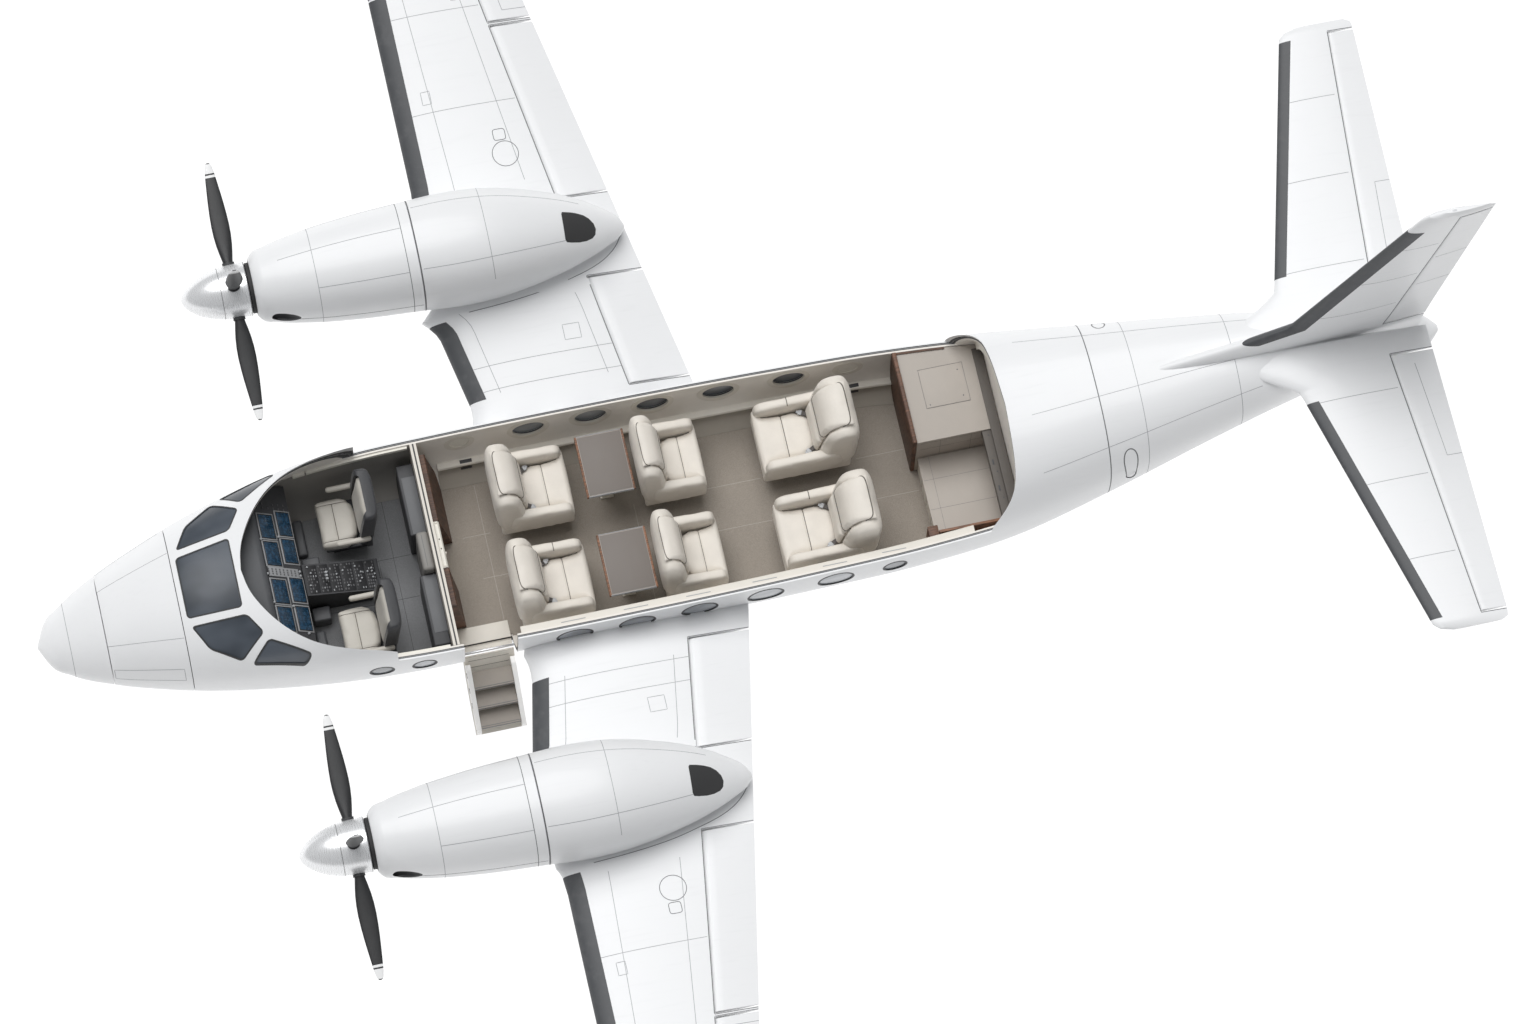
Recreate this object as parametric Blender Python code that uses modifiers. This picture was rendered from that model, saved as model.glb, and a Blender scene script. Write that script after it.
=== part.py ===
"""Twin turboprop aircraft with its roof cut away, parked on its gear with the airstair down.

Metres, +Z up. The nose points to -Y, the port side is +X and the ground is Z = 0.
Places along the body are stations: metres aft of the nose tip.
"""

import math
from collections import namedtuple

import bmesh
import bpy
import numpy as np
from mathutils import Matrix, Vector

# Whole aircraft
LENGTH = 12.92
NOSE_Y = -LENGTH / 2
SEAT_GAP = 0.0003
PORT, STARBOARD = 1, -1
SIDES = {"port": PORT, "starboard": STARBOARD}

# Fuselage: station, half width, middle height, height above it, depth below it, squareness
FUSELAGE = (
    (0.00, 0.015, 1.08, 0.015, 0.015, 2.0),
    (0.08, 0.18, 1.09, 0.15, 0.15, 2.05),
    (0.25, 0.315, 1.115, 0.26, 0.26, 2.1),
    (0.60, 0.49, 1.19, 0.41, 0.40, 2.2),
    (1.00, 0.635, 1.27, 0.52, 0.50, 2.35),
    (1.28, 0.722, 1.33, 0.565, 0.56, 2.45),
    (1.86, 0.86, 1.46, 0.615, 0.69, 2.6),
    (2.50, 0.955, 1.56, 0.74, 0.80, 2.75),
    (3.10, 1.00, 1.605, 0.82, 0.85, 2.8),
    (3.80, 1.015, 1.63, 0.86, 0.87, 2.8),
    (5.20, 1.02, 1.64, 0.88, 0.88, 2.8),
    (6.80, 1.00, 1.60, 0.87, 0.85, 2.8),
    (7.80, 0.97, 1.57, 0.85, 0.81, 2.75),
    (8.70, 0.895, 1.60, 0.78, 0.74, 2.65),
    (9.60, 0.735, 1.78, 0.66, 0.64, 2.5),
    (10.50, 0.555, 2.02, 0.50, 0.50, 2.35),
    (11.00, 0.455, 2.13, 0.41, 0.42, 2.25),
    (11.80, 0.29, 2.19, 0.27, 0.29, 2.1),
    (12.40, 0.165, 2.12, 0.16, 0.17, 2.0),
    (12.62, 0.12, 2.09, 0.11, 0.12, 2.0),
    (12.71, 0.03, 2.08, 0.03, 0.03, 2.0),
)
RING_POINTS = 36
RADOME_SEAM = 0.60
NOSE_SEAM = 1.28
TAIL_SEAM = 9.56
TAIL_END = 12.71
CABIN_WALL = 0.05
CABIN_FRONT = 1.31
CABIN_AFT = 8.75
BULKHEAD = 0.05
TAIL_WALL = 0.03

# Roof cut: height of the cut and half of its outline in plan, from the windshield aft
CUT_HEIGHT = 1.72
CUT_OUTLINE = (
    (0.00, 1.87), (0.20, 1.90), (0.38, 1.985), (0.55, 2.10), (0.70, 2.25), (0.82, 2.44),
    (0.91, 2.72), (0.975, 3.069), (1.30, 3.071), (1.30, 8.36), (0.93, 8.42), (0.86, 8.56),
    (0.76, 8.66), (0.60, 8.715), (0.00, 8.745),
)

# Windows and windshield
WINDOW_HEIGHT = 1.50
WINDOW_HALF_LENGTH = 0.165
WINDOW_HALF_HEIGHT = 0.15
WINDOW_STATIONS = (4.65, 5.215, 5.78, 6.38, 7.02)
SMALL_WINDOW_HALF = 0.11
SMALL_WINDOW_STATIONS = (2.92, 3.30, 7.56)
STARBOARD_WINDOW_STATION = 4.02
CENTRE_PANE = ((-0.285, 1.33), (-0.325, 1.82), (0.325, 1.82), (0.285, 1.33))
QUARTER_PANE = ((0.36, 1.35), (0.395, 1.84), (0.585, 1.96), (0.74, 1.73), (0.58, 1.47))
SIDE_PANE = ((0.645, 1.99), (0.85, 2.34), (0.90, 2.27), (0.785, 1.81))

# Floors and partition
FLOOR_TOP = 0.98
FLOOR_THICKNESS = 0.04
PARTITION_FRONT = 3.57
PARTITION_AFT = 3.63

# Airstair, hinged at the sill of the door opening
DOOR_FRONT = 3.66
DOOR_AFT = 4.14
DOOR_SILL = 0.95
DOOR_CLEARANCE = 0.008
DOOR_THINNER = 0.006
SILL_NOTCH_X = 0.708
SILL_NOTCH_Z = 0.958
SILL_NOTCH_REACH = 0.006
HINGE_X = 0.805
HINGE_Z = 0.935
HINGE_ROD = 0.012
HINGE_LUG = 0.025
STAIR_OPEN_DEG = 118.0

# Wings
WING_THICKNESS = 0.14
DIHEDRAL = math.tan(math.radians(6))
WING_SPAN_HALF = 7.2
NACELLE_SPANS = (2.14, 2.27, 3.03, 3.15)
SURFACE_CLEARANCE = 0.007
SURFACE_END_GAP = 0.015
PIN_RADIUS = 0.006
PIN_DEPTH = 0.010
PIN_GAP = 0.0005
JACK_PAD_X = 3.30
JACK_PAD_STATION = 4.55
JACK_PAD_Z = 1.425
JACK_PAD_RADIUS = 0.03
NOSE_PAD_STATION = 2.30
NOSE_PAD_Z = 0.750
STEP_WALL = 0.0005
FLAP_INBOARD = (1.22, 2.27)
FLAP_OUTBOARD = (3.03, 4.73)
AILERON = (4.76, 6.88)
ELEVATOR = (0.30, 2.80)
RUDDER = (2.56, 4.93)

# Engines and propellers
ENGINE_X = 2.64
ENGINE_Z = 1.90
SPINNER_TIP = 1.853
HUB_STATION = 2.33
SPINNER_BACK = 2.46
COWL_FRONT = 2.50
COWL_BACK = 3.975
PROPELLER_RADIUS = 1.18
BLADE_TURN_DEG = -12.0
COWL = (
    # station, half width, middle height, height above it, depth below it, squareness
    (2.50, 0.255, 1.90, 0.255, 0.255, 2.0),
    (2.53, 0.295, 1.90, 0.295, 0.295, 2.0),
    (2.65, 0.335, 1.90, 0.34, 0.35, 2.1),
    (2.95, 0.395, 1.90, 0.40, 0.42, 2.2),
    (3.40, 0.445, 1.90, 0.45, 0.48, 2.3),
    (3.975, 0.48, 1.90, 0.48, 0.53, 2.3),
)
NACELLE = (
    (3.975, 0.48, 1.90, 0.48, 0.53, 2.3),
    (4.30, 0.495, 1.89, 0.485, 0.58, 2.3),
    (4.70, 0.475, 1.87, 0.46, 0.60, 2.2),
    (5.10, 0.40, 1.82, 0.38, 0.50, 2.1),
    (5.45, 0.295, 1.76, 0.27, 0.36, 2.0),
    (5.70, 0.175, 1.69, 0.155, 0.22, 2.0),
    (5.85, 0.07, 1.63, 0.06, 0.09, 2.0),
    (5.884, 0.02, 1.61, 0.015, 0.02, 2.0),
)

# Landing gear
WHEEL_STEPS = 24
MAIN_STATION = 4.95
MAIN_TYRE_RADIUS = 0.33
MAIN_TYRE_HALF_WIDTH = 0.10
MAIN_RIM_RADIUS = 0.18
MAIN_STRUT_OFFSET = 0.16
MAIN_STRUT_TOP = 1.36
NOSE_GEAR_STATION = 1.55
NOSE_TYRE_RADIUS = 0.24
NOSE_TYRE_HALF_WIDTH = 0.075
NOSE_RIM_RADIUS = 0.12
NOSE_TRAIL = 0.03

Foil = namedtuple("Foil", "span leading hinge trailing thickness lift")


def wing_row(span, leading, trailing, ratio=WING_THICKNESS):
    """One row of the wing's plan: the hinge line is straight and the wing rises with its dihedral."""
    hinge = min(5.87 - 0.157 * span, trailing - 0.1)
    return Foil(span, leading, hinge, trailing, ratio * (trailing - leading), 1.32 + DIHEDRAL * (span - 1.1))


WING = (
    wing_row(0.80, 4.25, 6.267),
    wing_row(1.335, 4.196, 6.160),
    wing_row(2.14, 4.03, 5.999),
    wing_row(3.15, 4.085, 5.797),
    wing_row(7.00, 4.06, 5.027),
    wing_row(7.10, 4.12, 4.99),
    wing_row(7.17, 4.25, 4.90, 0.11),
    wing_row(WING_SPAN_HALF, 4.42, 4.78, 0.08),
)
STABILIZER = (
    Foil(0.08, 10.86, 12.17, 12.545, 0.130, 2.465),
    Foil(0.30, 11.10, 12.1869, 12.5486, 0.1256, 2.4678),
    Foil(0.48, 11.30, 12.2007, 12.5516, 0.1220, 2.4701),
    Foil(2.82, 11.915, 12.38, 12.59, 0.075, 2.50),
    Foil(2.87, 11.97, 12.38, 12.58, 0.065, 2.50),
    Foil(2.90, 12.08, 12.38, 12.52, 0.030, 2.50),
)
FIN = (
    Foil(2.16, 9.60, 12.105, 12.515, 0.150, 0),
    Foil(2.44, 9.95, 12.16, 12.525, 0.145, 0),
    Foil(2.60, 10.52, 12.19, 12.55, 0.140, 0),
    Foil(2.75, 11.05, 12.22, 12.57, 0.135, 0),
    Foil(2.86, 11.27, 12.24, 12.585, 0.130, 0),
    Foil(4.94, 12.26, 12.635, 12.905, 0.085, 0),
    Foil(5.00, 12.33, 12.645, 12.92, 0.075, 0),
    Foil(5.03, 12.46, 12.65, 12.86, 0.035, 0),
)
NOSE_FRACTIONS = (1.0, 0.80, 0.56, 0.34, 0.16, 0.05)


# Scene and materials

def clear_scene():
    for obj in list(bpy.data.objects):
        bpy.data.objects.remove(obj, do_unlink=True)


def new_collection(name, hidden=False):
    collection = bpy.data.collections.new(name)
    bpy.context.scene.collection.children.link(collection)
    collection.hide_render = hidden
    return collection


clear_scene()
PARTS = new_collection("twin_turboprop_aircraft")
CUTTERS = new_collection("cutters", hidden=True)


def finish(name, colour, roughness, metallic=0.0):
    """A Principled material with one colour, roughness and metallic value."""
    material = bpy.data.materials.new(name)
    material.use_nodes = True
    shader = material.node_tree.nodes["Principled BSDF"]
    shader.inputs["Base Color"].default_value = (*colour, 1)
    shader.inputs["Roughness"].default_value = roughness
    shader.inputs["Metallic"].default_value = metallic
    return material


WHITE_PAINT = finish("white_paint", (0.86, 0.87, 0.88), 0.3)
RADOME_PAINT = finish("radome_paint", (0.86, 0.87, 0.88), 0.35)
POLISHED = finish("polished_metal", (0.78, 0.79, 0.80), 0.2, 1.0)
BLADE_BLACK = finish("blade_black", (0.03, 0.03, 0.033), 0.4)
TINTED_GLASS = finish("tinted_glass", (0.12, 0.14, 0.17), 0.1)
CREAM_LEATHER = finish("cream_leather", (0.72, 0.67, 0.59), 0.5)
CHARCOAL = finish("charcoal_trim", (0.07, 0.072, 0.078), 0.6)
CARPET = finish("carpet", (0.27, 0.24, 0.21), 0.95)
COCKPIT_MAT = finish("cockpit_mat", (0.13, 0.13, 0.14), 0.8)
WALNUT = finish("walnut", (0.19, 0.08, 0.04), 0.35)
TAUPE = finish("taupe_laminate", (0.33, 0.30, 0.27), 0.45)
CREAM_PANEL = finish("cream_panel", (0.78, 0.74, 0.67), 0.5)
TYRE_RUBBER = finish("tyre_rubber", (0.02, 0.02, 0.02), 0.85)
RIM_METAL = finish("rim_metal", (0.62, 0.63, 0.65), 0.35, 1.0)
STRUT_METAL = finish("strut_metal", (0.55, 0.56, 0.58), 0.3, 1.0)
ENGINE_METAL = finish("engine_metal", (0.30, 0.30, 0.31), 0.45, 1.0)


# Shape helpers

def at_station(station):
    return NOSE_Y + station


def link(name, mesh, material, collection):
    obj = bpy.data.objects.new(name, mesh)
    collection.objects.link(obj)
    if material:
        mesh.materials.append(material)
    if collection is CUTTERS:
        obj.hide_render = True
        obj.display_type = "WIRE"
    return obj


def from_bmesh(name, bm, material=None, origin=(0, 0, 0), smooth=None, collection=None):
    """Makes an object of a bmesh in world coordinates, with the object's origin at the point given."""
    bmesh.ops.recalc_face_normals(bm, faces=bm.faces)
    bmesh.ops.translate(bm, vec=-Vector(origin), verts=bm.verts)
    mesh = bpy.data.meshes.new(name)
    bm.to_mesh(mesh)
    bm.free()
    obj = link(name, mesh, material, collection or PARTS)
    obj.location = origin
    if smooth is not None:
        mesh.shade_smooth()
        mesh.set_sharp_from_angle(angle=math.radians(smooth))
    return obj


def loft_bmesh(rings, symmetric):
    """A closed body of triangles through rings with the same number of points, with flat ends.

    A symmetric body has its left half split the other way, so that both sides are mirror images.
    """
    bm = bmesh.new()
    loops = [[bm.verts.new(point) for point in ring] for ring in rings]
    count = len(loops[0])
    left_half = range(count // 4, 3 * count // 4) if symmetric else ()
    for lower, upper in zip(loops, loops[1:]):
        for i in range(count):
            j = (i + 1) % count
            if i in left_half:
                bm.faces.new((lower[i], lower[j], upper[i]))
                bm.faces.new((lower[j], upper[j], upper[i]))
            else:
                bm.faces.new((lower[i], lower[j], upper[j]))
                bm.faces.new((lower[i], upper[j], upper[i]))
    bm.faces.new(loops[0])
    bm.faces.new(loops[-1])
    return bm


def loft(name, rings, material=None, origin=(0, 0, 0), smooth=40, collection=None, symmetric=False):
    return from_bmesh(name, loft_bmesh(rings, symmetric), material, origin, smooth, collection)


def box(name, low, high, material=None, bevel=0.0, origin=None, collection=None):
    """A box between two corners, in world coordinates, with rounded edges if a bevel is given."""
    bm = bmesh.new()
    bmesh.ops.create_cube(bm, size=1)
    low, high = Vector(low), Vector(high)
    middle = (low + high) / 2
    size = high - low
    bmesh.ops.transform(bm, matrix=Matrix.Translation(middle) @ Matrix.Diagonal((*size, 1)), verts=bm.verts)
    obj = from_bmesh(name, bm, material, middle if origin is None else origin, None, collection)
    if bevel:
        round_edges(obj, bevel)
    return obj


def round_edges(obj, width, segments=2):
    modifier = obj.modifiers.new("round edges", "BEVEL")
    modifier.width = width
    modifier.segments = segments
    modifier.limit_method = "ANGLE"


def outline_body(name, points, low, high, material=None, axis="Z", collection=None):
    """A flat outline given a thickness from low to high along an axis: a filled 2D curve made a mesh."""
    curve = bpy.data.curves.new(name, "CURVE")
    curve.dimensions = "2D"
    curve.fill_mode = "BOTH"
    curve.extrude = (high - low) / 2
    spline = curve.splines.new("POLY")
    spline.points.add(len(points) - 1)
    for target, point in zip(spline.points, points):
        target.co = (*point, 0, 1)
    spline.use_cyclic_u = True
    guide = bpy.data.objects.new(name + "_outline", curve)
    bpy.context.scene.collection.objects.link(guide)
    middle = (low + high) / 2
    turn = {
        "Z": Matrix.Translation((0, 0, middle)),
        "X": Matrix(((0, 0, 1, middle), (1, 0, 0, 0), (0, 1, 0, 0), (0, 0, 0, 1))),
        "Y": Matrix(((1, 0, 0, 0), (0, 0, -1, middle), (0, 1, 0, 0), (0, 0, 0, 1))),
    }[axis]
    mesh = evaluated_mesh(guide, name)
    mesh.transform(turn)
    bpy.data.objects.remove(guide, do_unlink=True)
    bm = bmesh.new()
    bm.from_mesh(mesh)
    bpy.data.meshes.remove(mesh)
    return from_bmesh(name, bm, material, (0, 0, 0), None, collection)


def evaluated_mesh(obj, name):
    """The object's mesh with its modifiers, its doubled points welded, in its own coordinates."""
    bpy.context.view_layer.update()
    graph = bpy.context.evaluated_depsgraph_get()
    mesh = bpy.data.meshes.new_from_object(obj.evaluated_get(graph))
    mesh.name = name
    bm = bmesh.new()
    bm.from_mesh(mesh)
    bmesh.ops.remove_doubles(bm, verts=bm.verts, dist=0.00005)
    bm.to_mesh(mesh)
    bm.free()
    return mesh


def combine(target, other, operation):
    modifier = target.modifiers.new(f"{operation.lower()} {other.name}", "BOOLEAN")
    modifier.operation = operation
    modifier.object = other
    modifier.solver = "EXACT"


def cut(target, *cutters):
    for cutter in cutters:
        combine(target, cutter, "DIFFERENCE")


def join(target, *others):
    for other in others:
        combine(target, other, "UNION")


def turned(name, profile, material=None, centre=(0, 0, 0), rotation=(0, 0, 0), steps=32, collection=None):
    """A profile of (radius, height) points, top to bottom, turned about its own Z by a Screw."""
    mesh = bpy.data.meshes.new(name)
    closed = profile[0] == profile[-1]
    points = profile[:-1] if closed else profile
    edges = [(i, i + 1) for i in range(len(points) - 1)]
    if closed:
        edges.append((len(points) - 1, 0))
    mesh.from_pydata([(r, 0, h) for r, h in points], edges, [])
    obj = link(name, mesh, material, collection or PARTS)
    obj.location = centre
    obj.rotation_euler = rotation
    screw = obj.modifiers.new("turn", "SCREW")
    screw.steps = steps
    screw.render_steps = steps
    screw.use_merge_vertices = True
    screw.merge_threshold = 0.0001
    screw.use_smooth_shade = True
    return obj


def rod(name, start, end, radius, sides=16, material=None, collection=None):
    """A round rod between two points."""
    start, end = Vector(start), Vector(end)
    bm = bmesh.new()
    bmesh.ops.create_cone(
        bm, cap_ends=True, segments=sides, radius1=radius, radius2=radius, depth=(end - start).length
    )
    turn = Vector((0, 0, 1)).rotation_difference(end - start).to_matrix().to_4x4()
    bmesh.ops.transform(bm, matrix=Matrix.Translation((start + end) / 2) @ turn, verts=bm.verts)
    return from_bmesh(name, bm, material, (0, 0, 0), 40, collection)


# Fuselage sections

def smooth_row(table, station):
    """Reads a table at a station on a smooth curve through its rows."""
    rows = np.array(table, float)
    at = rows[:, 0]
    i = int(np.clip(np.searchsorted(at, station, side="right") - 1, 0, len(at) - 2))
    span = at[i + 1] - at[i]
    t = (station - at[i]) / span
    slopes = np.gradient(rows, at, axis=0)
    low, high = rows[i], rows[i + 1]
    h00 = 2 * t**3 - 3 * t**2 + 1
    h10 = t**3 - 2 * t**2 + t
    h01 = -2 * t**3 + 3 * t**2
    h11 = t**3 - t**2
    return h00 * low + h10 * span * slopes[i] + h01 * high + h11 * span * slopes[i + 1]


def section(table, station, inset=0.0, count=RING_POINTS, side=1, centre_x=0.0):
    """The superellipse section of a table at a station, drawn in by the inset."""
    _, half_width, middle, above, below, power = smooth_row(table, station)
    points = []
    for i in range(count):
        angle = 2 * math.pi * (i + 0.5) / count
        c, s = math.cos(angle), math.sin(angle)
        x = (half_width - inset) * math.copysign(abs(c) ** (2 / power), c)
        tall = (above if s > 0 else below) - inset
        z = middle + tall * math.copysign(abs(s) ** (2 / power), s)
        points.append((centre_x + side * x, at_station(station), z))
    return points


def body_between(name, table, stations, inset=0.0, material=None, centre_x=0.0, collection=None, count=RING_POINTS):
    rings = [section(table, s, inset, count=count, centre_x=centre_x) for s in stations]
    return loft(name, rings, material, collection=collection, symmetric=True)


def stations_between(start, end, table, spacing):
    """Stations from start to end: the table's own rows and evenly placed ones, none closer than half a spacing."""
    inner = [row[0] for row in table if start < row[0] < end]
    picked = [start]
    for station in sorted(inner) + [end]:
        steps = max(1, round((station - picked[-1]) / spacing))
        picked += [picked[-1] + (station - picked[-1]) * k / steps for k in range(1, steps + 1)]
    return picked


def half_width_at(station, height, inset=0.0):
    """Half the width of the fuselage at a height."""
    _, half_width, middle, above, below, power = smooth_row(FUSELAGE, station)
    tall = (above if height > middle else below) - inset
    part = min(1.0, abs(height - middle) / tall)
    return (half_width - inset) * (1 - part**power) ** (1 / power)


def fuselage_solid(name, grow=SEAT_GAP):
    """The whole outer form, a little larger, which trims what is seated on the skin."""
    return body_between(
        name, FUSELAGE, stations_between(0.0, TAIL_END, FUSELAGE, 0.42), -grow, collection=CUTTERS
    )


def cabin_stations(end=CABIN_AFT):
    return [s for s in stations_between(CABIN_FRONT, CABIN_AFT, FUSELAGE, 0.42) if s <= end]


def cabin_inside(name, inset=CABIN_WALL + 0.0005):
    """The space inside the cabin wall, which trims the furniture and floors to the curve of the wall."""
    stations = cabin_stations()
    stations[0] += SEAT_GAP
    stations[-1] -= SEAT_GAP
    return body_between(name, FUSELAGE, stations, inset, collection=CUTTERS)


# Fuselage pieces

def build_nose():
    stations = [0.0, 0.025, 0.08, 0.16, 0.25, 0.40, RADOME_SEAM - SEAT_GAP]
    body_between("radome", FUSELAGE, stations, 0, RADOME_PAINT)
    body_between("nose_bay", FUSELAGE, [RADOME_SEAM, 0.8, 1.0, NOSE_SEAM - SEAT_GAP], 0, WHITE_PAINT)


def roof_cutter(name, grow=0.0):
    outline = [(x + math.copysign(grow, x) if x else 0, y - grow) for x, y in CUT_OUTLINE[:8]]
    outline += list(CUT_OUTLINE[8:])
    port = [(x, at_station(y)) for x, y in outline]
    starboard = [(-x, y) for x, y in reversed(port[1:-1])]
    return outline_body(name, port + starboard, CUT_HEIGHT, 3.4, collection=CUTTERS)


def window_cutters():
    """One cutter for the oval windows of both sides and one for the panes of the windshield."""
    bm = bmesh.new()
    ovals = [(s, WINDOW_HALF_LENGTH, WINDOW_HALF_HEIGHT, -1.3, 1.3) for s in WINDOW_STATIONS]
    ovals += [(s, SMALL_WINDOW_HALF, SMALL_WINDOW_HALF, -1.3, 1.3) for s in SMALL_WINDOW_STATIONS]
    ovals += [(STARBOARD_WINDOW_STATION, SMALL_WINDOW_HALF, SMALL_WINDOW_HALF, -1.3, -0.5)]
    for station, half_length, half_height, low, high in ovals:
        made = bmesh.ops.create_cone(bm, cap_ends=True, segments=16, radius1=1, radius2=1, depth=high - low)
        matrix = (
            Matrix.Translation(((low + high) / 2, at_station(station), WINDOW_HEIGHT))
            @ Matrix.Diagonal((1, half_length, half_height, 1))
            @ Matrix.Rotation(math.radians(90), 4, "Y")
        )
        bmesh.ops.transform(bm, matrix=matrix, verts=made["verts"])
    from_bmesh("oval_window_cutter", bm, collection=CUTTERS)
    panes = [("centre", CENTRE_PANE)]
    for side_name, side in SIDES.items():
        panes += [(f"quarter_{side_name}", [(side * x, y) for x, y in QUARTER_PANE])]
        panes += [(f"side_{side_name}", [(side * x, y) for x, y in SIDE_PANE])]
    names = []
    for pane_name, corners in panes:
        points = [(x, at_station(y)) for x, y in corners]
        outline_body(f"pane_cutter_{pane_name}", points, 1.62, 2.6, collection=CUTTERS)
        names.append(f"pane_cutter_{pane_name}")
    return [bpy.data.objects["oval_window_cutter"]] + [bpy.data.objects[n] for n in names]


def build_fuselage():
    shell_stations = stations_between(NOSE_SEAM, TAIL_SEAM - SEAT_GAP, FUSELAGE, 0.42)
    shell = body_between("fuselage_shell", FUSELAGE, shell_stations, 0, WHITE_PAINT)
    cavity = body_between("cabin_cavity", FUSELAGE, cabin_stations(), CABIN_WALL, collection=CUTTERS)
    rear_stations = stations_between(CABIN_AFT + BULKHEAD, TAIL_SEAM + 0.05, FUSELAGE, 0.42)
    rear = body_between("rear_cavity", FUSELAGE, rear_stations, TAIL_WALL, collection=CUTTERS)
    door = box(
        "door_cutter",
        (0.55, at_station(DOOR_FRONT), DOOR_SILL),
        (1.3, at_station(DOOR_AFT), CUT_HEIGHT + 0.1),
        collection=CUTTERS,
    )
    join(shell, *hinge_lugs())
    pad = rod(
        "nose_jack_pad", (0, at_station(NOSE_PAD_STATION), NOSE_PAD_Z), (0, at_station(NOSE_PAD_STATION), NOSE_PAD_Z + 0.05),
        JACK_PAD_RADIUS, 16, collection=CUTTERS,
    )
    join(shell, pad)
    bores = rod(
        "hinge_bore", (HINGE_X, at_station(DOOR_FRONT - HINGE_LUG + 0.002), HINGE_Z),
        (HINGE_X, at_station(DOOR_AFT + HINGE_LUG - 0.002), HINGE_Z), HINGE_ROD + PIN_GAP, 16, collection=CUTTERS,
    )
    cut(shell, cavity, rear, roof_cutter("roof_cutter"), door, bores, *window_cutters())


def hinge_lugs():
    """Two blocks on the skin at the ends of the door's sill, which carry the hinge rod of the airstair."""
    lugs = []
    for name, start in (("front", DOOR_FRONT - HINGE_LUG), ("aft", DOOR_AFT)):
        low = (0.745, at_station(start), HINGE_Z - 0.022)
        high = (HINGE_X + 0.020, at_station(start + HINGE_LUG), HINGE_Z + 0.022)
        lugs.append(box(f"hinge_lug_{name}", low, high, collection=CUTTERS))
    return lugs


def build_tail_cone():
    stations = stations_between(TAIL_SEAM, TAIL_END, FUSELAGE, 0.42)
    cone = body_between("tail_cone", FUSELAGE, stations, 0, WHITE_PAINT)
    hollow = stations_between(TAIL_SEAM - 0.05, 11.9, FUSELAGE, 0.42)
    cut(cone, body_between("tail_cavity", FUSELAGE, hollow, TAIL_WALL, collection=CUTTERS))


def build_windshield():
    """One sheet of tinted glass that lies against the inside of the window posts."""
    stations = cabin_stations(2.6)
    stations[0] += SEAT_GAP
    glass = body_between("windshield", FUSELAGE, stations, CABIN_WALL + 0.0005, TINTED_GLASS)
    stations = [CABIN_FRONT - 0.02] + stations[1:-1] + [stations[-1] + 0.05]
    inner = body_between("windshield_cavity", FUSELAGE, stations, CABIN_WALL + 0.014, collection=CUTTERS)
    lower = box("windshield_lower", (-1.2, at_station(1.2), 0.5), (1.2, at_station(2.6), 1.60), collection=CUTTERS)
    cut(glass, inner, lower, roof_cutter("windshield_roof_cutter", 0.012))


def floor_slab(name, front, aft, material):
    slab = box(
        name,
        (-1.1, at_station(front), FLOOR_TOP - FLOOR_THICKNESS),
        (1.1, at_station(aft), FLOOR_TOP),
        material,
    )
    combine(slab, bpy.data.objects["cabin_inside"], "INTERSECT")


def build_floors():
    floor_slab("cockpit_floor", 1.75, PARTITION_FRONT - SEAT_GAP, COCKPIT_MAT)
    floor_slab("cabin_floor", PARTITION_AFT + SEAT_GAP, CABIN_AFT - SEAT_GAP, CARPET)
    notch = box(
        "sill_notch",
        (SILL_NOTCH_X, at_station(DOOR_FRONT - SILL_NOTCH_REACH), SILL_NOTCH_Z),
        (1.0, at_station(DOOR_AFT + SILL_NOTCH_REACH), FLOOR_TOP + 0.02),
        collection=CUTTERS,
    )
    cut(bpy.data.objects["cabin_floor"], notch)


def build_partition():
    """The bulkhead between cockpit and cabin, with its cabinets towards the cockpit and walnut towards the cabin."""
    low = FLOOR_TOP - FLOOR_THICKNESS
    plate = box("partition", (-1.1, at_station(PARTITION_FRONT), low), (1.1, at_station(PARTITION_AFT), CUT_HEIGHT), WALNUT)
    seated = FLOOR_TOP + 0.0003
    for name, x_low, x_high, front, aft, top in (
        ("cabinet_starboard", -0.80, -0.19, 3.42, 3.60, 1.50),
        ("cabinet_port", 0.19, 0.80, 3.42, 3.60, 1.50),
        ("cabinet_middle", -0.185, 0.185, 3.46, 3.60, 1.60),
    ):
        join(plate, box(name, (x_low, at_station(front), seated), (x_high, at_station(aft), top), collection=CUTTERS))
    for name, x_low, x_high, foot in (("walnut_starboard", -0.80, -0.22, 3.80), ("walnut_port", 0.22, 0.57, 3.76)):
        raked = [(at_station(3.60), seated), (at_station(foot), seated), (at_station(3.68), 1.66), (at_station(3.60), 1.66)]
        join(plate, outline_body(name, raked, x_low, x_high, axis="X", collection=CUTTERS))
    combine(plate, bpy.data.objects["cabin_inside"], "INTERSECT")


# Cabin furniture

SeatPlan = namedtuple("SeatPlan", "name x front aft back_aft")
CABIN_SEATS = (
    SeatPlan("seat_row1_starboard", -0.45, 4.19, 4.93, False),
    SeatPlan("seat_row1_port", 0.45, 4.19, 4.93, False),
    SeatPlan("seat_row2_starboard", -0.45, 5.50, 6.13, False),
    SeatPlan("seat_row2_port", 0.45, 5.50, 6.13, False),
    SeatPlan("seat_row3_starboard", -0.45, 6.60, 7.50, True),
    SeatPlan("seat_row3_port", 0.45, 6.60, 7.50, True),
)
SEAT_HALF_WIDTH = 0.33
ARM_WIDTH = 0.10
CUSHION_TOP = 1.40
ARM_TOP = 1.56
BACK_TOP = 1.96
PEDESTAL_TOP = 1.12


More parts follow.
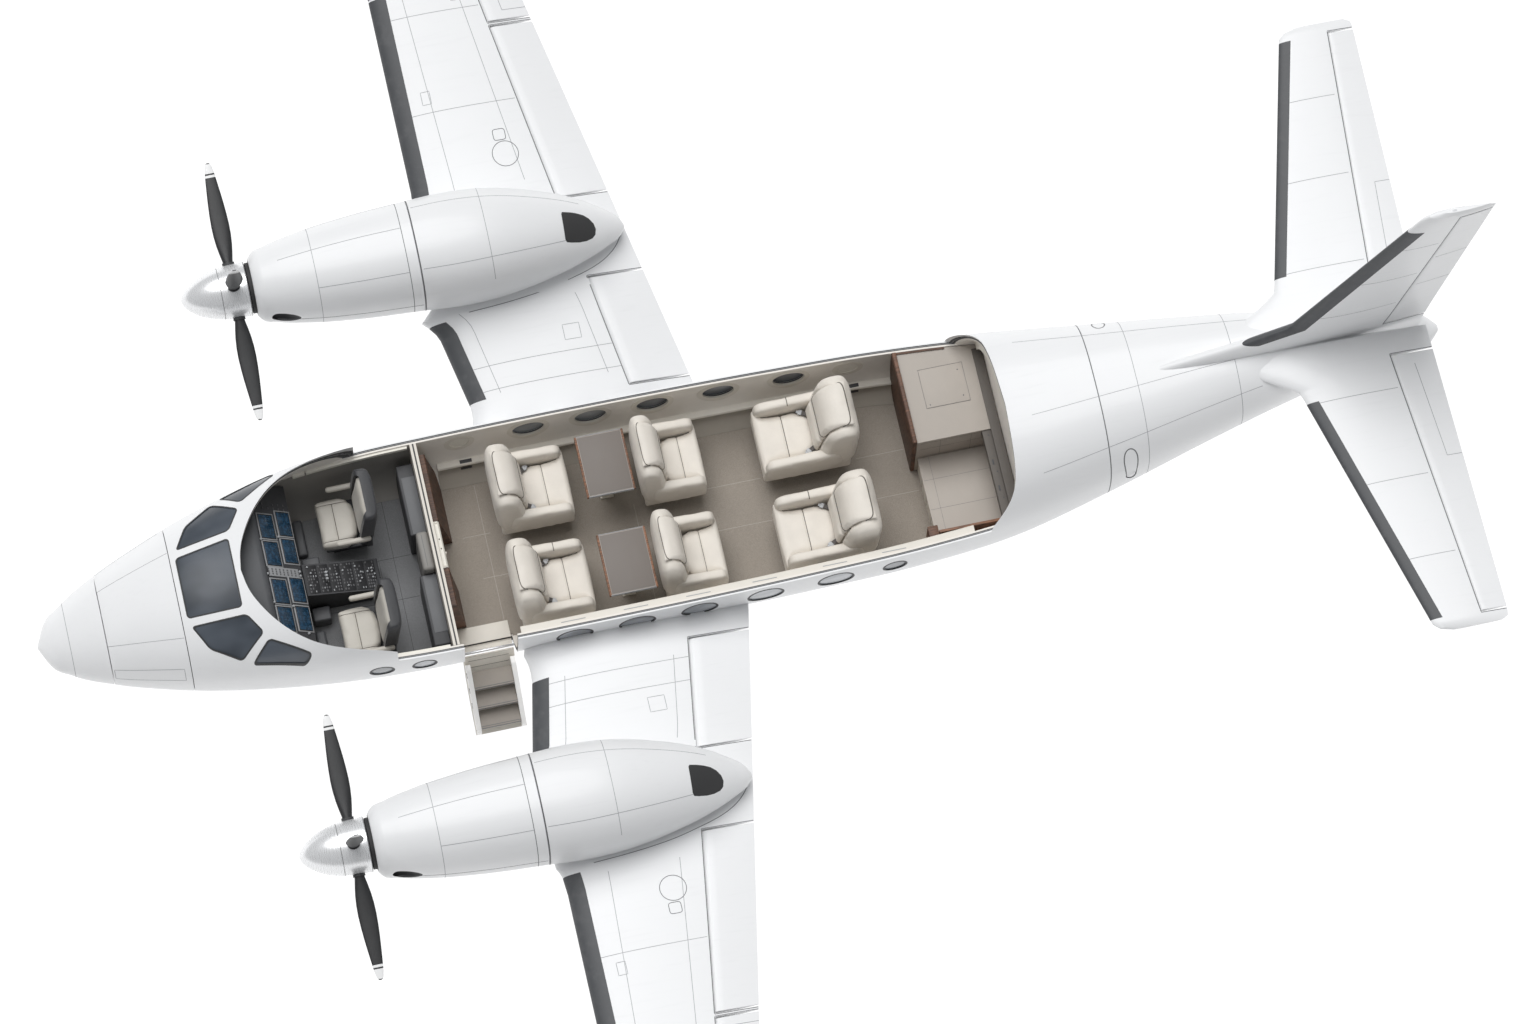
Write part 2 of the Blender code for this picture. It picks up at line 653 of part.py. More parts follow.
def build_cabin_seat(plan):
    """A club seat: cushion and back in one side outline, joined by two arms and a pedestal."""
    if plan.back_aft:
        at = lambda depth: at_station(plan.aft - depth)
    else:
        at = lambda depth: at_station(plan.front + depth)
    length = plan.aft - plan.front
    side_view = [
        (at(0.08), PEDESTAL_TOP), (at(length - 0.03), PEDESTAL_TOP), (at(length), 1.20), (at(length - 0.01), CUSHION_TOP - 0.03),
        (at(length - 0.06), CUSHION_TOP), (at(0.26), CUSHION_TOP - 0.02), (at(0.19), BACK_TOP - 0.04),
        (at(0.14), BACK_TOP), (at(0.03), BACK_TOP - 0.02), (at(0.0), BACK_TOP - 0.1), (at(0.03), 1.30),
    ]
    low_x, high_x = plan.x - SEAT_HALF_WIDTH + 0.02, plan.x + SEAT_HALF_WIDTH - 0.02
    seat = outline_body(plan.name, side_view, low_x, high_x, CREAM_LEATHER, axis="X")
    near, far = sorted((at(0.06), at(length - 0.04)))
    for index, x in enumerate((plan.x - SEAT_HALF_WIDTH, plan.x + SEAT_HALF_WIDTH - ARM_WIDTH)):
        arm = box(
            f"{plan.name}_arm_{index}", (x, near, PEDESTAL_TOP + 0.02), (x + ARM_WIDTH, far, ARM_TOP),
            bevel=0.03, collection=CUTTERS,
        )
        join(seat, arm)
    middle = (at_station(plan.front) + at_station(plan.aft)) / 2
    pedestal = box(
        f"{plan.name}_pedestal",
        (plan.x - 0.2, middle - 0.2, FLOOR_TOP + SEAT_GAP),
        (plan.x + 0.2, middle + 0.2, PEDESTAL_TOP + 0.02),
        collection=CUTTERS,
    )
    join(seat, pedestal)


def build_pilot_seat(name, x):
    """A cockpit seat with its cushion, dark shell, two slim arms and a pedestal."""
    side_view = [
        (at_station(2.66), 1.20), (at_station(2.64), 1.27), (at_station(2.68), 1.33), (at_station(3.00), 1.31),
        (at_station(3.06), 1.90), (at_station(3.09), 1.93), (at_station(3.15), 1.92), (at_station(3.17), 1.88),
        (at_station(3.12), 1.20),
    ]
    seat = outline_body(name, side_view, x - 0.25, x + 0.25, CREAM_LEATHER, axis="X")
    for index, arm_x in enumerate((x - 0.285, x + 0.235)):
        arm = box(
            f"{name}_arm_{index}", (arm_x, at_station(2.76), 1.44), (arm_x + 0.05, at_station(3.12), 1.50),
            collection=CUTTERS,
        )
        join(seat, arm)
    pedestal = box(
        f"{name}_pedestal", (x - 0.17, at_station(2.74), FLOOR_TOP + SEAT_GAP), (x + 0.17, at_station(3.06), 1.22),
        collection=CUTTERS,
    )
    join(seat, pedestal)


def build_table(name, low_x, high_x):
    """A fold-out table: its top on one leg that stands on the floor."""
    top = box(name, (low_x, at_station(5.02), 1.56), (high_x, at_station(5.46), 1.60), TAUPE)
    middle = (low_x + high_x) / 2
    leg = box(
        f"{name}_leg", (middle - 0.12, at_station(5.18), FLOOR_TOP + SEAT_GAP), (middle + 0.12, at_station(5.30), 1.57),
        collection=CUTTERS,
    )
    join(top, leg)


def build_galley():
    low = FLOOR_TOP + SEAT_GAP
    aft = CABIN_AFT - SEAT_GAP
    galley = box("galley_cabinet", (-0.95, at_station(7.95), low), (-0.03, at_station(aft), 1.74), WALNUT)
    combine(galley, bpy.data.objects["cabin_inside"], "INTERSECT")
    bench = box("aft_bench", (-0.0295, at_station(8.00), low), (0.95, at_station(aft), 1.30), TAUPE)
    combine(bench, bpy.data.objects["cabin_inside"], "INTERSECT")


def build_cockpit():
    dash = [
        (at_station(1.87), 1.60), (at_station(2.38), 1.48), (at_station(2.41), 1.53), (at_station(2.08), 1.84),
        (at_station(2.04), 1.87), (at_station(1.87), 1.87),
    ]
    panel = outline_body("instrument_panel", dash, -1.0, 1.0, CHARCOAL, axis="X")
    combine(panel, cabin_inside("panel_limit", CABIN_WALL + 0.016), "INTERSECT")
    pedestal_view = [
        (at_station(2.42), FLOOR_TOP + SEAT_GAP), (at_station(3.06), FLOOR_TOP + SEAT_GAP), (at_station(3.10), 1.22),
        (at_station(2.42), 1.45), (at_station(2.40), 1.40),
    ]
    outline_body("center_pedestal", pedestal_view, -0.15, 0.15, CHARCOAL, axis="X")


def build_panel_stand():
    """The box under the instrument panel that carries it on the cockpit floor."""
    stand = box(
        "panel_stand", (-0.14, at_station(1.90), FLOOR_TOP + SEAT_GAP), (0.14, at_station(2.30), 1.62), collection=CUTTERS
    )
    join(bpy.data.objects["instrument_panel"], stand)


# Airstair

def wall_curve(height, inset, station=3.9):
    return half_width_at(station, height, inset)


def swing(x, z, degrees=STAIR_OPEN_DEG):
    """Turns a point of the closed door about its hinge to where it is when the stair is down."""
    angle = math.radians(degrees)
    dx, dz = x - HINGE_X, z - HINGE_Z
    return HINGE_X + dx * math.cos(angle) + dz * math.sin(angle), HINGE_Z - dx * math.sin(angle) + dz * math.cos(angle)


def build_airstair():
    """The door is a piece of the cabin wall, swung out and down about its sill, and the steps lie on it."""
    heights = np.linspace(DOOR_SILL + DOOR_CLEARANCE, CUT_HEIGHT - 0.01, 9)
    outer = [swing(wall_curve(h, 0.0), h) for h in heights]
    inner = [swing(wall_curve(h, CABIN_WALL - DOOR_THINNER), h) for h in heights]
    front, aft = at_station(DOOR_FRONT + DOOR_CLEARANCE), at_station(DOOR_AFT - DOOR_CLEARANCE)
    hinge = (HINGE_X, (front + aft) / 2, HINGE_Z)
    rings = [[(x, y, z) for x, z in outer + inner[::-1]] for y in (front, aft)]
    door = loft("airstair_door", rings, WHITE_PAINT, hinge, 30)
    reach = HINGE_LUG - 0.004
    hinge_rod = rod(
        "airstair_hinge", (HINGE_X, at_station(DOOR_FRONT) - reach, HINGE_Z),
        (HINGE_X, at_station(DOOR_AFT) + reach, HINGE_Z), HINGE_ROD, 16, collection=CUTTERS,
    )
    strap = ((-0.004, 0.035), (0.012, 0.030), (HINGE_ROD - 0.001, -0.002), (-0.006, 0.004))
    lug_corners = [swing(HINGE_X + dx, HINGE_Z + dz) for dx, dz in strap]
    lugs = outline_body("airstair_lug", lug_corners, front, aft, axis="Y", collection=CUTTERS)
    join(door, lugs, hinge_rod)
    build_steps(inner, front, aft, hinge)


def build_steps(inner, front, aft, hinge):
    """Two side frames with three treads between them, all above the floor when the door is shut."""
    lift = [(x + 0.0004, z + 0.0006) for x, z in inner[1:]]
    foot, top = lift[-1], lift[0]
    side_view = lift[::-1] + [(top[0] + 0.015, top[1] + 0.095), (top[0] + 0.08, top[1] + 0.09), (foot[0] + 0.01, foot[1] + 0.12)]
    near, far = front + 0.012, aft - 0.032
    steps = outline_body("airstair_steps", side_view, near, near + 0.02, CREAM_PANEL, axis="Y")
    other = outline_body("airstair_frame_aft", side_view, far, far + 0.02, axis="Y", collection=CUTTERS)
    join(steps, other)
    for index, part in enumerate((0.22, 0.50, 0.78)):
        x = top[0] + (foot[0] - top[0]) * part
        z = top[1] + (foot[1] - top[1]) * part
        tread = box(
            f"airstair_tread_{index}", (x - 0.06, near + 0.01, z + 0.045), (x + 0.11, far + 0.01, z + 0.075),
            collection=CUTTERS,
        )
        join(steps, tread)


# Wings and tail surfaces

def foil_at(rows, span):
    spans = [row.span for row in rows]
    return Foil(*(float(np.interp(span, spans, [row[k] for row in rows])) for k in range(6)))


def half_thickness(foil, place):
    """Half the thickness of the symmetrical section at a distance aft of its leading edge."""
    f = min(max(place / (foil.trailing - foil.leading), 0.0), 1.0)
    shape = 0.2969 * math.sqrt(f) - 0.1260 * f - 0.3516 * f**2 + 0.2843 * f**3 - 0.1036 * f**4
    return 5 * foil.thickness * shape + 0.002 * f


def fixed_ring(rows, span, is_cut, grow=0.0):
    """(distance aft, height) points of the fixed surface, with its aft part cut round to the hinge or whole."""
    foil = foil_at(rows, span)
    chord = foil.trailing - foil.leading
    hinge = foil.hinge - foil.leading
    radius = half_thickness(foil, hinge) + SURFACE_CLEARANCE
    corner = hinge - radius * math.cos(math.radians(55))
    upper = [(corner * f, half_thickness(foil, corner * f) + grow) for f in NOSE_FRACTIONS]
    lower = [(a, -h) for a, h in reversed(upper)]
    if is_cut:
        angles = [math.radians(a) for a in (-55, -20, 20, 55)]
        aft = [(hinge - radius * math.cos(a), radius * math.sin(a)) for a in angles]
    else:
        middle = (corner + chord) / 2
        thick = half_thickness(foil, middle) + grow
        edge = half_thickness(foil, chord) + grow
        aft = [(middle, -thick), (chord + grow, -edge), (chord + grow, edge), (middle, thick)]
    return foil, upper + [(-grow, 0.0)] + lower + aft


def moving_ring(rows, span):
    """Points of the moving surface: a round nose about the hinge, then back to the trailing edge."""
    foil = foil_at(rows, span)
    chord = foil.trailing - foil.leading
    hinge = foil.hinge - foil.leading
    radius = half_thickness(foil, hinge)
    angles = [math.radians(a) for a in (90, 50, 16, -16, -50, -90)]
    nose = [(hinge - radius * math.cos(a), radius * math.sin(a)) for a in angles]
    middle = (hinge + chord) / 2
    thick = half_thickness(foil, middle)
    edge = half_thickness(foil, chord)
    return foil, nose + [(middle, -thick), (chord, -edge), (chord, edge), (middle, thick)]


def lay_flat(side):
    return lambda foil, aft, height: (side * foil.span, at_station(foil.leading + aft), foil.lift + height)


def stand_up(foil, aft, height):
    return (height, at_station(foil.leading + aft), foil.span)


def placed(ring, place):
    foil, points = ring
    return [place(foil, aft, height) for aft, height in points]


def cut_spans(rows, openings):
    """Spans of a fixed surface's sections, each with whether its aft part is cut away there."""
    spans = [(row.span, any(start < row.span < end for start, end in openings)) for row in rows]
    for start, end in openings:
        spans += [(start, False), (start + STEP_WALL, True), (end - STEP_WALL, True), (end, False)]
    return sorted(spans)


def hinge_point(rows, span, place):
    foil = foil_at(rows, span)
    return place(foil, foil.hinge - foil.leading, 0)


def pins(name, rows, opening, place, inside, depth, radius):
    """A round pin at each end of an opening, along the hinge line, from inside the opening into the fixed surface."""
    made = []
    for index, (edge, inward) in enumerate(zip(opening, (1, -1))):
        start = hinge_point(rows, edge + inward * inside, place)
        end = hinge_point(rows, edge - inward * depth, place)
        made.append(rod(f"{name}_{index}", start, end, radius, 12, collection=CUTTERS))
    return made


def fixed_surface(name, rows, openings, place, material):
    rings = [placed(fixed_ring(rows, span, is_cut), place) for span, is_cut in cut_spans(rows, openings)]
    surface = loft(name, rings, material, smooth=30)
    for index, opening in enumerate(openings):
        sockets = pins(
            f"{name}_socket_{index}", rows, opening, place, SURFACE_END_GAP / 2, PIN_DEPTH + PIN_GAP, PIN_RADIUS + PIN_GAP
        )
        cut(surface, *sockets)
    return surface


def moving_surface(name, rows, opening, place, material):
    start, end = opening[0] + SURFACE_END_GAP, opening[1] - SURFACE_END_GAP
    rings = [placed(moving_ring(rows, span), place) for span in (start, end)]
    surface = loft(name, rings, material, hinge_point(rows, (start + end) / 2, place), 30)
    join(surface, *pins(f"{name}_pin", rows, opening, place, SURFACE_END_GAP * 3, PIN_DEPTH, PIN_RADIUS))
    return surface


def grown_surface(name, rows, spans, place, grow):
    """A helper a little thicker than the fixed surface, which notches what the surface passes through."""
    rings = [placed(fixed_ring(rows, span, False, grow), place) for span in spans]
    return loft(name, rings, None, smooth=None, collection=CUTTERS)


def build_wing(side_name, side, trim):
    place = lay_flat(side)
    openings = (FLAP_INBOARD, FLAP_OUTBOARD, AILERON)
    wing = fixed_surface(f"wing_{side_name}", WING, openings, place, WHITE_PAINT)
    cut(wing, trim)
    pad_foot = (side * JACK_PAD_X, at_station(JACK_PAD_STATION), JACK_PAD_Z)
    pad_top = (side * JACK_PAD_X, at_station(JACK_PAD_STATION), JACK_PAD_Z + 0.08)
    join(wing, rod(f"wing_jack_pad_{side_name}", pad_foot, pad_top, JACK_PAD_RADIUS, 16, collection=CUTTERS))
    moving_surface(f"flap_inboard_{side_name}", WING, FLAP_INBOARD, place, WHITE_PAINT)
    moving_surface(f"flap_outboard_{side_name}", WING, FLAP_OUTBOARD, place, WHITE_PAINT)
    moving_surface(f"aileron_{side_name}", WING, AILERON, place, WHITE_PAINT)


def build_tail_surfaces(trim):
    for side_name, side in SIDES.items():
        place = lay_flat(side)
        half = fixed_surface(f"stabilizer_{side_name}", STABILIZER, (ELEVATOR,), place, WHITE_PAINT)
        cut(half, trim)
        moving_surface(f"elevator_{side_name}", STABILIZER, ELEVATOR, place, WHITE_PAINT)
    fin = fixed_surface("fin", FIN, (RUDDER,), stand_up, WHITE_PAINT)
    cut(fin, trim)
    moving_surface("rudder", FIN, RUDDER, stand_up, WHITE_PAINT)


# Engines and propellers

def build_nacelle(side_name, side):
    x = side * ENGINE_X
    nacelle = body_between(
        f"nacelle_{side_name}", NACELLE, stations_between(COWL_BACK, NACELLE[-1][0], NACELLE, 0.25),
        0, WHITE_PAINT, x, count=32,
    )
    notch = grown_surface(f"nacelle_notch_{side_name}", WING, NACELLE_SPANS, lay_flat(side), 0.0006)
    cut(nacelle, notch)
    build_cowl(side_name, x)
    build_engine(side_name, x)
    build_propeller(side_name, x)


def build_cowl(side_name, x):
    stations = stations_between(COWL_FRONT, COWL_BACK - SEAT_GAP, COWL, 0.25)
    cowl = body_between(f"cowl_{side_name}", COWL, stations, 0, WHITE_PAINT, x, count=32)
    hollow = stations_between(2.56, COWL_BACK + 0.05, COWL, 0.25)
    cavity = body_between(f"cowl_cavity_{side_name}", COWL, hollow, 0.03, None, x, CUTTERS, 32)
    mouth = rod(
        f"cowl_mouth_{side_name}", (x, at_station(2.4), ENGINE_Z), (x, at_station(2.7), ENGINE_Z), 0.13, 24,
        collection=CUTTERS,
    )
    cut(cowl, cavity, mouth)
    for index, sign in enumerate((1, -1)):
        scoop = scoop_body(f"cowl_scoop_{side_name}_{index}", x + sign * 0.33)
        join(cowl, scoop)


def scoop_body(name, x):
    """A small inlet fairing on the side of the cowl, its mouth facing forward."""
    rings = []
    for station, radius, shift in ((2.70, 0.055, 0.0), (2.86, 0.062, 0.01), (3.05, 0.03, 0.02)):
        ring = []
        for i in range(12):
            angle = 2 * math.pi * i / 12
            ring.append((x + math.copysign(shift, x) + radius * math.cos(angle), at_station(station), ENGINE_Z - 0.02 + radius * 1.6 * math.sin(angle)))
        rings.append(ring)
    return loft(name, rings, None, collection=CUTTERS)


def build_engine(side_name, x):
    """The engine as one plain block at its real place, with its shaft up to the propeller."""
    front, back = at_station(2.80), at_station(COWL_BACK - SEAT_GAP)
    engine = rod(f"engine_{side_name}", (x, front, ENGINE_Z), (x, back, ENGINE_Z), 0.24, 20, ENGINE_METAL)
    shaft = rod(
        f"engine_shaft_{side_name}", (x, at_station(SPINNER_BACK + SEAT_GAP), ENGINE_Z), (x, front + 0.02, ENGINE_Z), 0.06, 16,
        collection=CUTTERS,
    )
    join(engine, shaft)


def blade_rings(turn_deg):
    """Sections of one feathered blade along its length: (radius, chord, thickness)."""
    rings = []
    turn = Matrix.Rotation(math.radians(turn_deg), 3, "Y")
    plan = (
        (0.15, 0.075, 0.07), (0.28, 0.085, 0.06), (0.42, 0.135, 0.045), (0.60, 0.18, 0.032), (0.80, 0.185, 0.024),
        (1.00, 0.155, 0.017), (1.10, 0.125, 0.012), (1.16, 0.08, 0.009), (PROPELLER_RADIUS, 0.03, 0.006),
    )
    for radius, chord, thickness in plan:
        ring = []
        for i in range(8):
            angle = 2 * math.pi * i / 8
            point = Vector((thickness / 2 * math.sin(angle), chord / 2 * math.cos(angle), radius))
            ring.append(turn @ point)
        rings.append(ring)
    return rings


def build_propeller(side_name, x):
    """The spinner and its four feathered blades, on the hub's axis."""
    hub = Vector((x, at_station(HUB_STATION), ENGINE_Z))
    length = HUB_STATION - SPINNER_TIP
    back = SPINNER_BACK - HUB_STATION
    profile = [(0.0, length)]
    profile += [(0.235 * math.sin(math.acos(1 - t)) ** 1.25, length * (1 - t)) for t in (0.03, 0.1, 0.2, 0.35, 0.55, 0.8)]
    profile += [(0.24, 0.0), (0.245, -back + 0.01), (0.24, -back), (0.0, -back)]
    propeller = turned(f"propeller_{side_name}", profile, POLISHED, hub, (math.radians(90), 0, 0), 28)
    for index in range(4):
        rings = [[hub + point for point in ring] for ring in blade_rings(BLADE_TURN_DEG * -1 + 90 * index)]
        blade = loft(f"blade_{side_name}_{index}", rings, BLADE_BLACK, collection=CUTTERS)
        join(propeller, blade)


# Landing gear

def tyre_profile(radius, rim, half_width):
    outer = [(rim, half_width * 0.78), (radius - 0.05, half_width), (radius - 0.012, half_width * 0.75)]
    crown = [(radius, half_width * 0.35), (radius, -half_width * 0.35)]
    mirrored = [(r, -h) for r, h in reversed(outer)]
    return outer + crown + mirrored + [outer[0]]


def build_wheel(prefix, centre, radius, rim, half_width, axle):
    """A tyre and its rim, turned about the axle, which lies along X."""
    along_x = (0, math.radians(90), 0)
    turned(f"{prefix}_tyre", tyre_profile(radius, rim, half_width), TYRE_RUBBER, centre, along_x, WHEEL_STEPS)
    edge = rim - SEAT_GAP
    bore = axle + SEAT_GAP * 2
    profile = [
        (bore, half_width * 0.5), (edge - 0.03, half_width * 0.3), (edge - 0.02, half_width * 0.75), (edge, half_width * 0.75),
        (edge, -half_width * 0.75), (edge - 0.02, -half_width * 0.75), (edge - 0.03, -half_width * 0.3), (bore, -half_width * 0.5),
        (bore, half_width * 0.5),
    ]
    turned(f"{prefix}_rim", profile, RIM_METAL, centre, along_x, WHEEL_STEPS)


def build_main_gear(side_name, side):
    x = side * ENGINE_X
    y = at_station(MAIN_STATION)
    wheel_x = x + side * 0.10
    strut_x = wheel_x - side * (MAIN_TYRE_HALF_WIDTH + 0.075)
    z = MAIN_TYRE_RADIUS
    axle = 0.032
    leg = rod(f"main_leg_{side_name}", (strut_x, y, z - 0.05), (strut_x, y, MAIN_STRUT_TOP), 0.05, 16, STRUT_METAL)
    stub = rod(
        f"main_axle_{side_name}", (strut_x, y, z), (wheel_x + side * 0.07, y, z), axle, 16, collection=CUTTERS
    )
    collar = rod(f"main_collar_{side_name}", (strut_x, y, 0.75), (strut_x, y, 1.2), 0.068, 16, collection=CUTTERS)
    brace = rod(
        f"main_brace_{side_name}", (strut_x, y + 0.02, 0.80), (strut_x, y + 0.36, 1.46), 0.025, 12, collection=CUTTERS
    )
    join(leg, stub, collar, brace)
    cut(leg, nacelle_trim(side_name, x))
    build_wheel(f"main_{side_name}", (wheel_x, y, z), MAIN_TYRE_RADIUS, MAIN_RIM_RADIUS, MAIN_TYRE_HALF_WIDTH, axle)


def nacelle_trim(side_name, x):
    return body_between(
        f"leg_trim_{side_name}", NACELLE, stations_between(COWL_BACK, NACELLE[-1][0], NACELLE, 0.25),
        -SEAT_GAP * 2, None, x, CUTTERS, 32,
    )


def build_nose_gear(trim):
    y = at_station(NOSE_GEAR_STATION)
    wheel_y = y + NOSE_TRAIL
    z = NOSE_TYRE_RADIUS
    leg = rod("nose_leg", (0, y, 0.60), (0, y, 0.90), 0.045, 16, STRUT_METAL)
    collar = rod("nose_collar", (0, y, 0.66), (0, y, 0.86), 0.06, 16, collection=CUTTERS)
    join(leg, collar)
    cut(leg, trim)
    axle = 0.022
    arm_x = NOSE_TYRE_HALF_WIDTH + 0.03
    fork = box("nose_fork", (-arm_x - 0.02, y - 0.05, 0.53), (arm_x + 0.02, y + 0.07, 0.57), STRUT_METAL, origin=(0, y, 0.55))
    neck = rod("nose_neck", (0, y, 0.56), (0, y, 0.60 - SEAT_GAP), 0.045, 16, collection=CUTTERS)
    join(fork, neck)
    for index, sign in enumerate((1, -1)):
        arm = box(
            f"nose_arm_{index}", (sign * arm_x - 0.012, wheel_y - 0.035, z - 0.04), (sign * arm_x + 0.012, wheel_y + 0.035, 0.54),
            collection=CUTTERS,
        )
        join(fork, arm)
    pin = rod("nose_axle", (-arm_x, wheel_y, z), (arm_x, wheel_y, z), axle, 16, collection=CUTTERS)
    join(fork, pin)
    build_wheel("nose", (0, wheel_y, z), NOSE_TYRE_RADIUS, NOSE_RIM_RADIUS, NOSE_TYRE_HALF_WIDTH, axle)


# Whole aircraft

def build_aircraft():
    trim = fuselage_solid("fuselage_trim")
    cabin_inside("cabin_inside")
    build_nose()
    build_fuselage()
    build_windshield()
    build_floors()
    build_partition()
    build_galley()
    build_cockpit()
    build_panel_stand()
    for plan in CABIN_SEATS:
        build_cabin_seat(plan)
    build_pilot_seat("seat_pilot", 0.52)
    build_pilot_seat("seat_copilot", -0.52)
    build_table("table_port", 0.18, 0.76)
    build_table("table_starboard", -0.76, -0.18)
    build_airstair()
    build_tail_cone()
    build_tail_surfaces(trim)
    for side_name, side in SIDES.items():
        build_wing(side_name, side, trim)
        build_nacelle(side_name, side)
        build_main_gear(side_name, side)
    build_nose_gear(trim)


build_aircraft()
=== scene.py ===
"""Looks of a twin turboprop aircraft with its cabin roof cut away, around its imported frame.

Metres, +Z up, nose towards -Y, port side towards +X, ground at Z = 0. Places along the body are
stations: metres aft of the nose tip.
"""

import logging
import math
import random
from dataclasses import dataclass
from enum import Enum
from typing import Callable, Iterable, Sequence

import bmesh
import bpy
import numpy as np
from bmesh.types import BMEdge, BMesh, BMVert
from bpy.types import Object
from mathutils import Matrix, Vector
from mathutils.bvhtree import BVHTree


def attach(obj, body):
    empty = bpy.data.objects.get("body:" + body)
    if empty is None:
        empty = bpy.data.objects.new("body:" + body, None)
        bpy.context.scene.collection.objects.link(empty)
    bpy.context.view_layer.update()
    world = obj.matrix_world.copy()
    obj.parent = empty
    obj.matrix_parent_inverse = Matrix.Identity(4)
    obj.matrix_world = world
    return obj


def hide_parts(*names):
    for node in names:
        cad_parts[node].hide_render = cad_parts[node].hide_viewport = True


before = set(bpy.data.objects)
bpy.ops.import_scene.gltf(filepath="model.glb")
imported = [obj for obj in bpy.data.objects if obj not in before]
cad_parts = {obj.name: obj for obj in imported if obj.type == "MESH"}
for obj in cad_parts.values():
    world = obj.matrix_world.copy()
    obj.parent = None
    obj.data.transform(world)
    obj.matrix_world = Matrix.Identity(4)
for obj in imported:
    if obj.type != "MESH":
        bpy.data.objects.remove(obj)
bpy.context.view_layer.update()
LOG = logging.getLogger("aircraft")

NOSE_Y = -6.46
AIRFRAME = "airframe"
Point = tuple[float, float, float]
Pair = tuple[float, float]
Outline = Sequence[Pair]
TINY = 1e-6
CARPET_LINE: Pair = (0.9795, 0.9812)
Place = Callable[[float, float], Point]


class Side(Enum):
    """The two sides of the aircraft, each with its direction along X."""

    PORT = 1
    STARBOARD = -1

    @property
    def label(self) -> str:
        """The side's name as the frame's bodies and nodes spell it."""
        return self.name.lower()


def at_station(station: float) -> float:
    """Y of a station."""
    return NOSE_Y + station


# Shaders


class Value:
    """A number inside a shader, for use in Python expressions."""

    def __init__(self, shader: "Shader", socket: bpy.types.NodeSocket) -> None:
        """Keeps the socket and the shader it belongs to."""
        self.shader = shader
        self.socket = socket

    def _with(self, operation: str, other: object, swapped: bool = False) -> "Value":
        """Joins this value and another by a Math node, swapped for the reflected operators."""
        pair = (other, self) if swapped else (self, other)
        return self.shader.math(operation, *pair)

    def __add__(self, other: object) -> "Value":
        """Sum."""
        return self._with("ADD", other)

    __radd__ = __add__

    def __mul__(self, other: object) -> "Value":
        """Product."""
        return self._with("MULTIPLY", other)

    __rmul__ = __mul__

    def __sub__(self, other: object) -> "Value":
        """Difference."""
        return self._with("SUBTRACT", other)

    def __rsub__(self, other: object) -> "Value":
        """Difference the other way round."""
        return self._with("SUBTRACT", other, True)

    def __truediv__(self, other: object) -> "Value":
        """Quotient."""
        return self._with("DIVIDE", other)

    def __pow__(self, other: object) -> "Value":
        """Power."""
        return self._with("POWER", other)

    def above(self, level: object) -> "Value":
        """1 where this is greater than the level, else 0."""
        return self._with("GREATER_THAN", level)

    def below(self, level: object) -> "Value":
        """1 where this is less than the level, else 0."""
        return self._with("LESS_THAN", level)

    def distance(self, level: object) -> "Value":
        """How far this is from the level, as a positive number."""
        return self.shader.math("ABSOLUTE", self - level)

    def repeat(self, length: float) -> "Value":
        """The remainder of this after whole lengths, from 0 to the length."""
        return self.shader.math("FLOORED_MODULO", self, length)

    def most(self, other: object) -> "Value":
        """The greater of the two."""
        return self._with("MAXIMUM", other)

    def fade(self, low: float, high: float) -> "Value":
        """0 at low and 1 at high, smooth between.

        Args:
            low: value that gives 0.
            high: value that gives 1.

        Returns:
            The faded value.
        """
        settings = {"interpolation_type": "SMOOTHSTEP"}
        made = self.shader.node(
            "ShaderNodeMapRange", settings, {"Value": self, "From Min": low, "From Max": high}
        )
        return Value(self.shader, made.outputs["Result"])


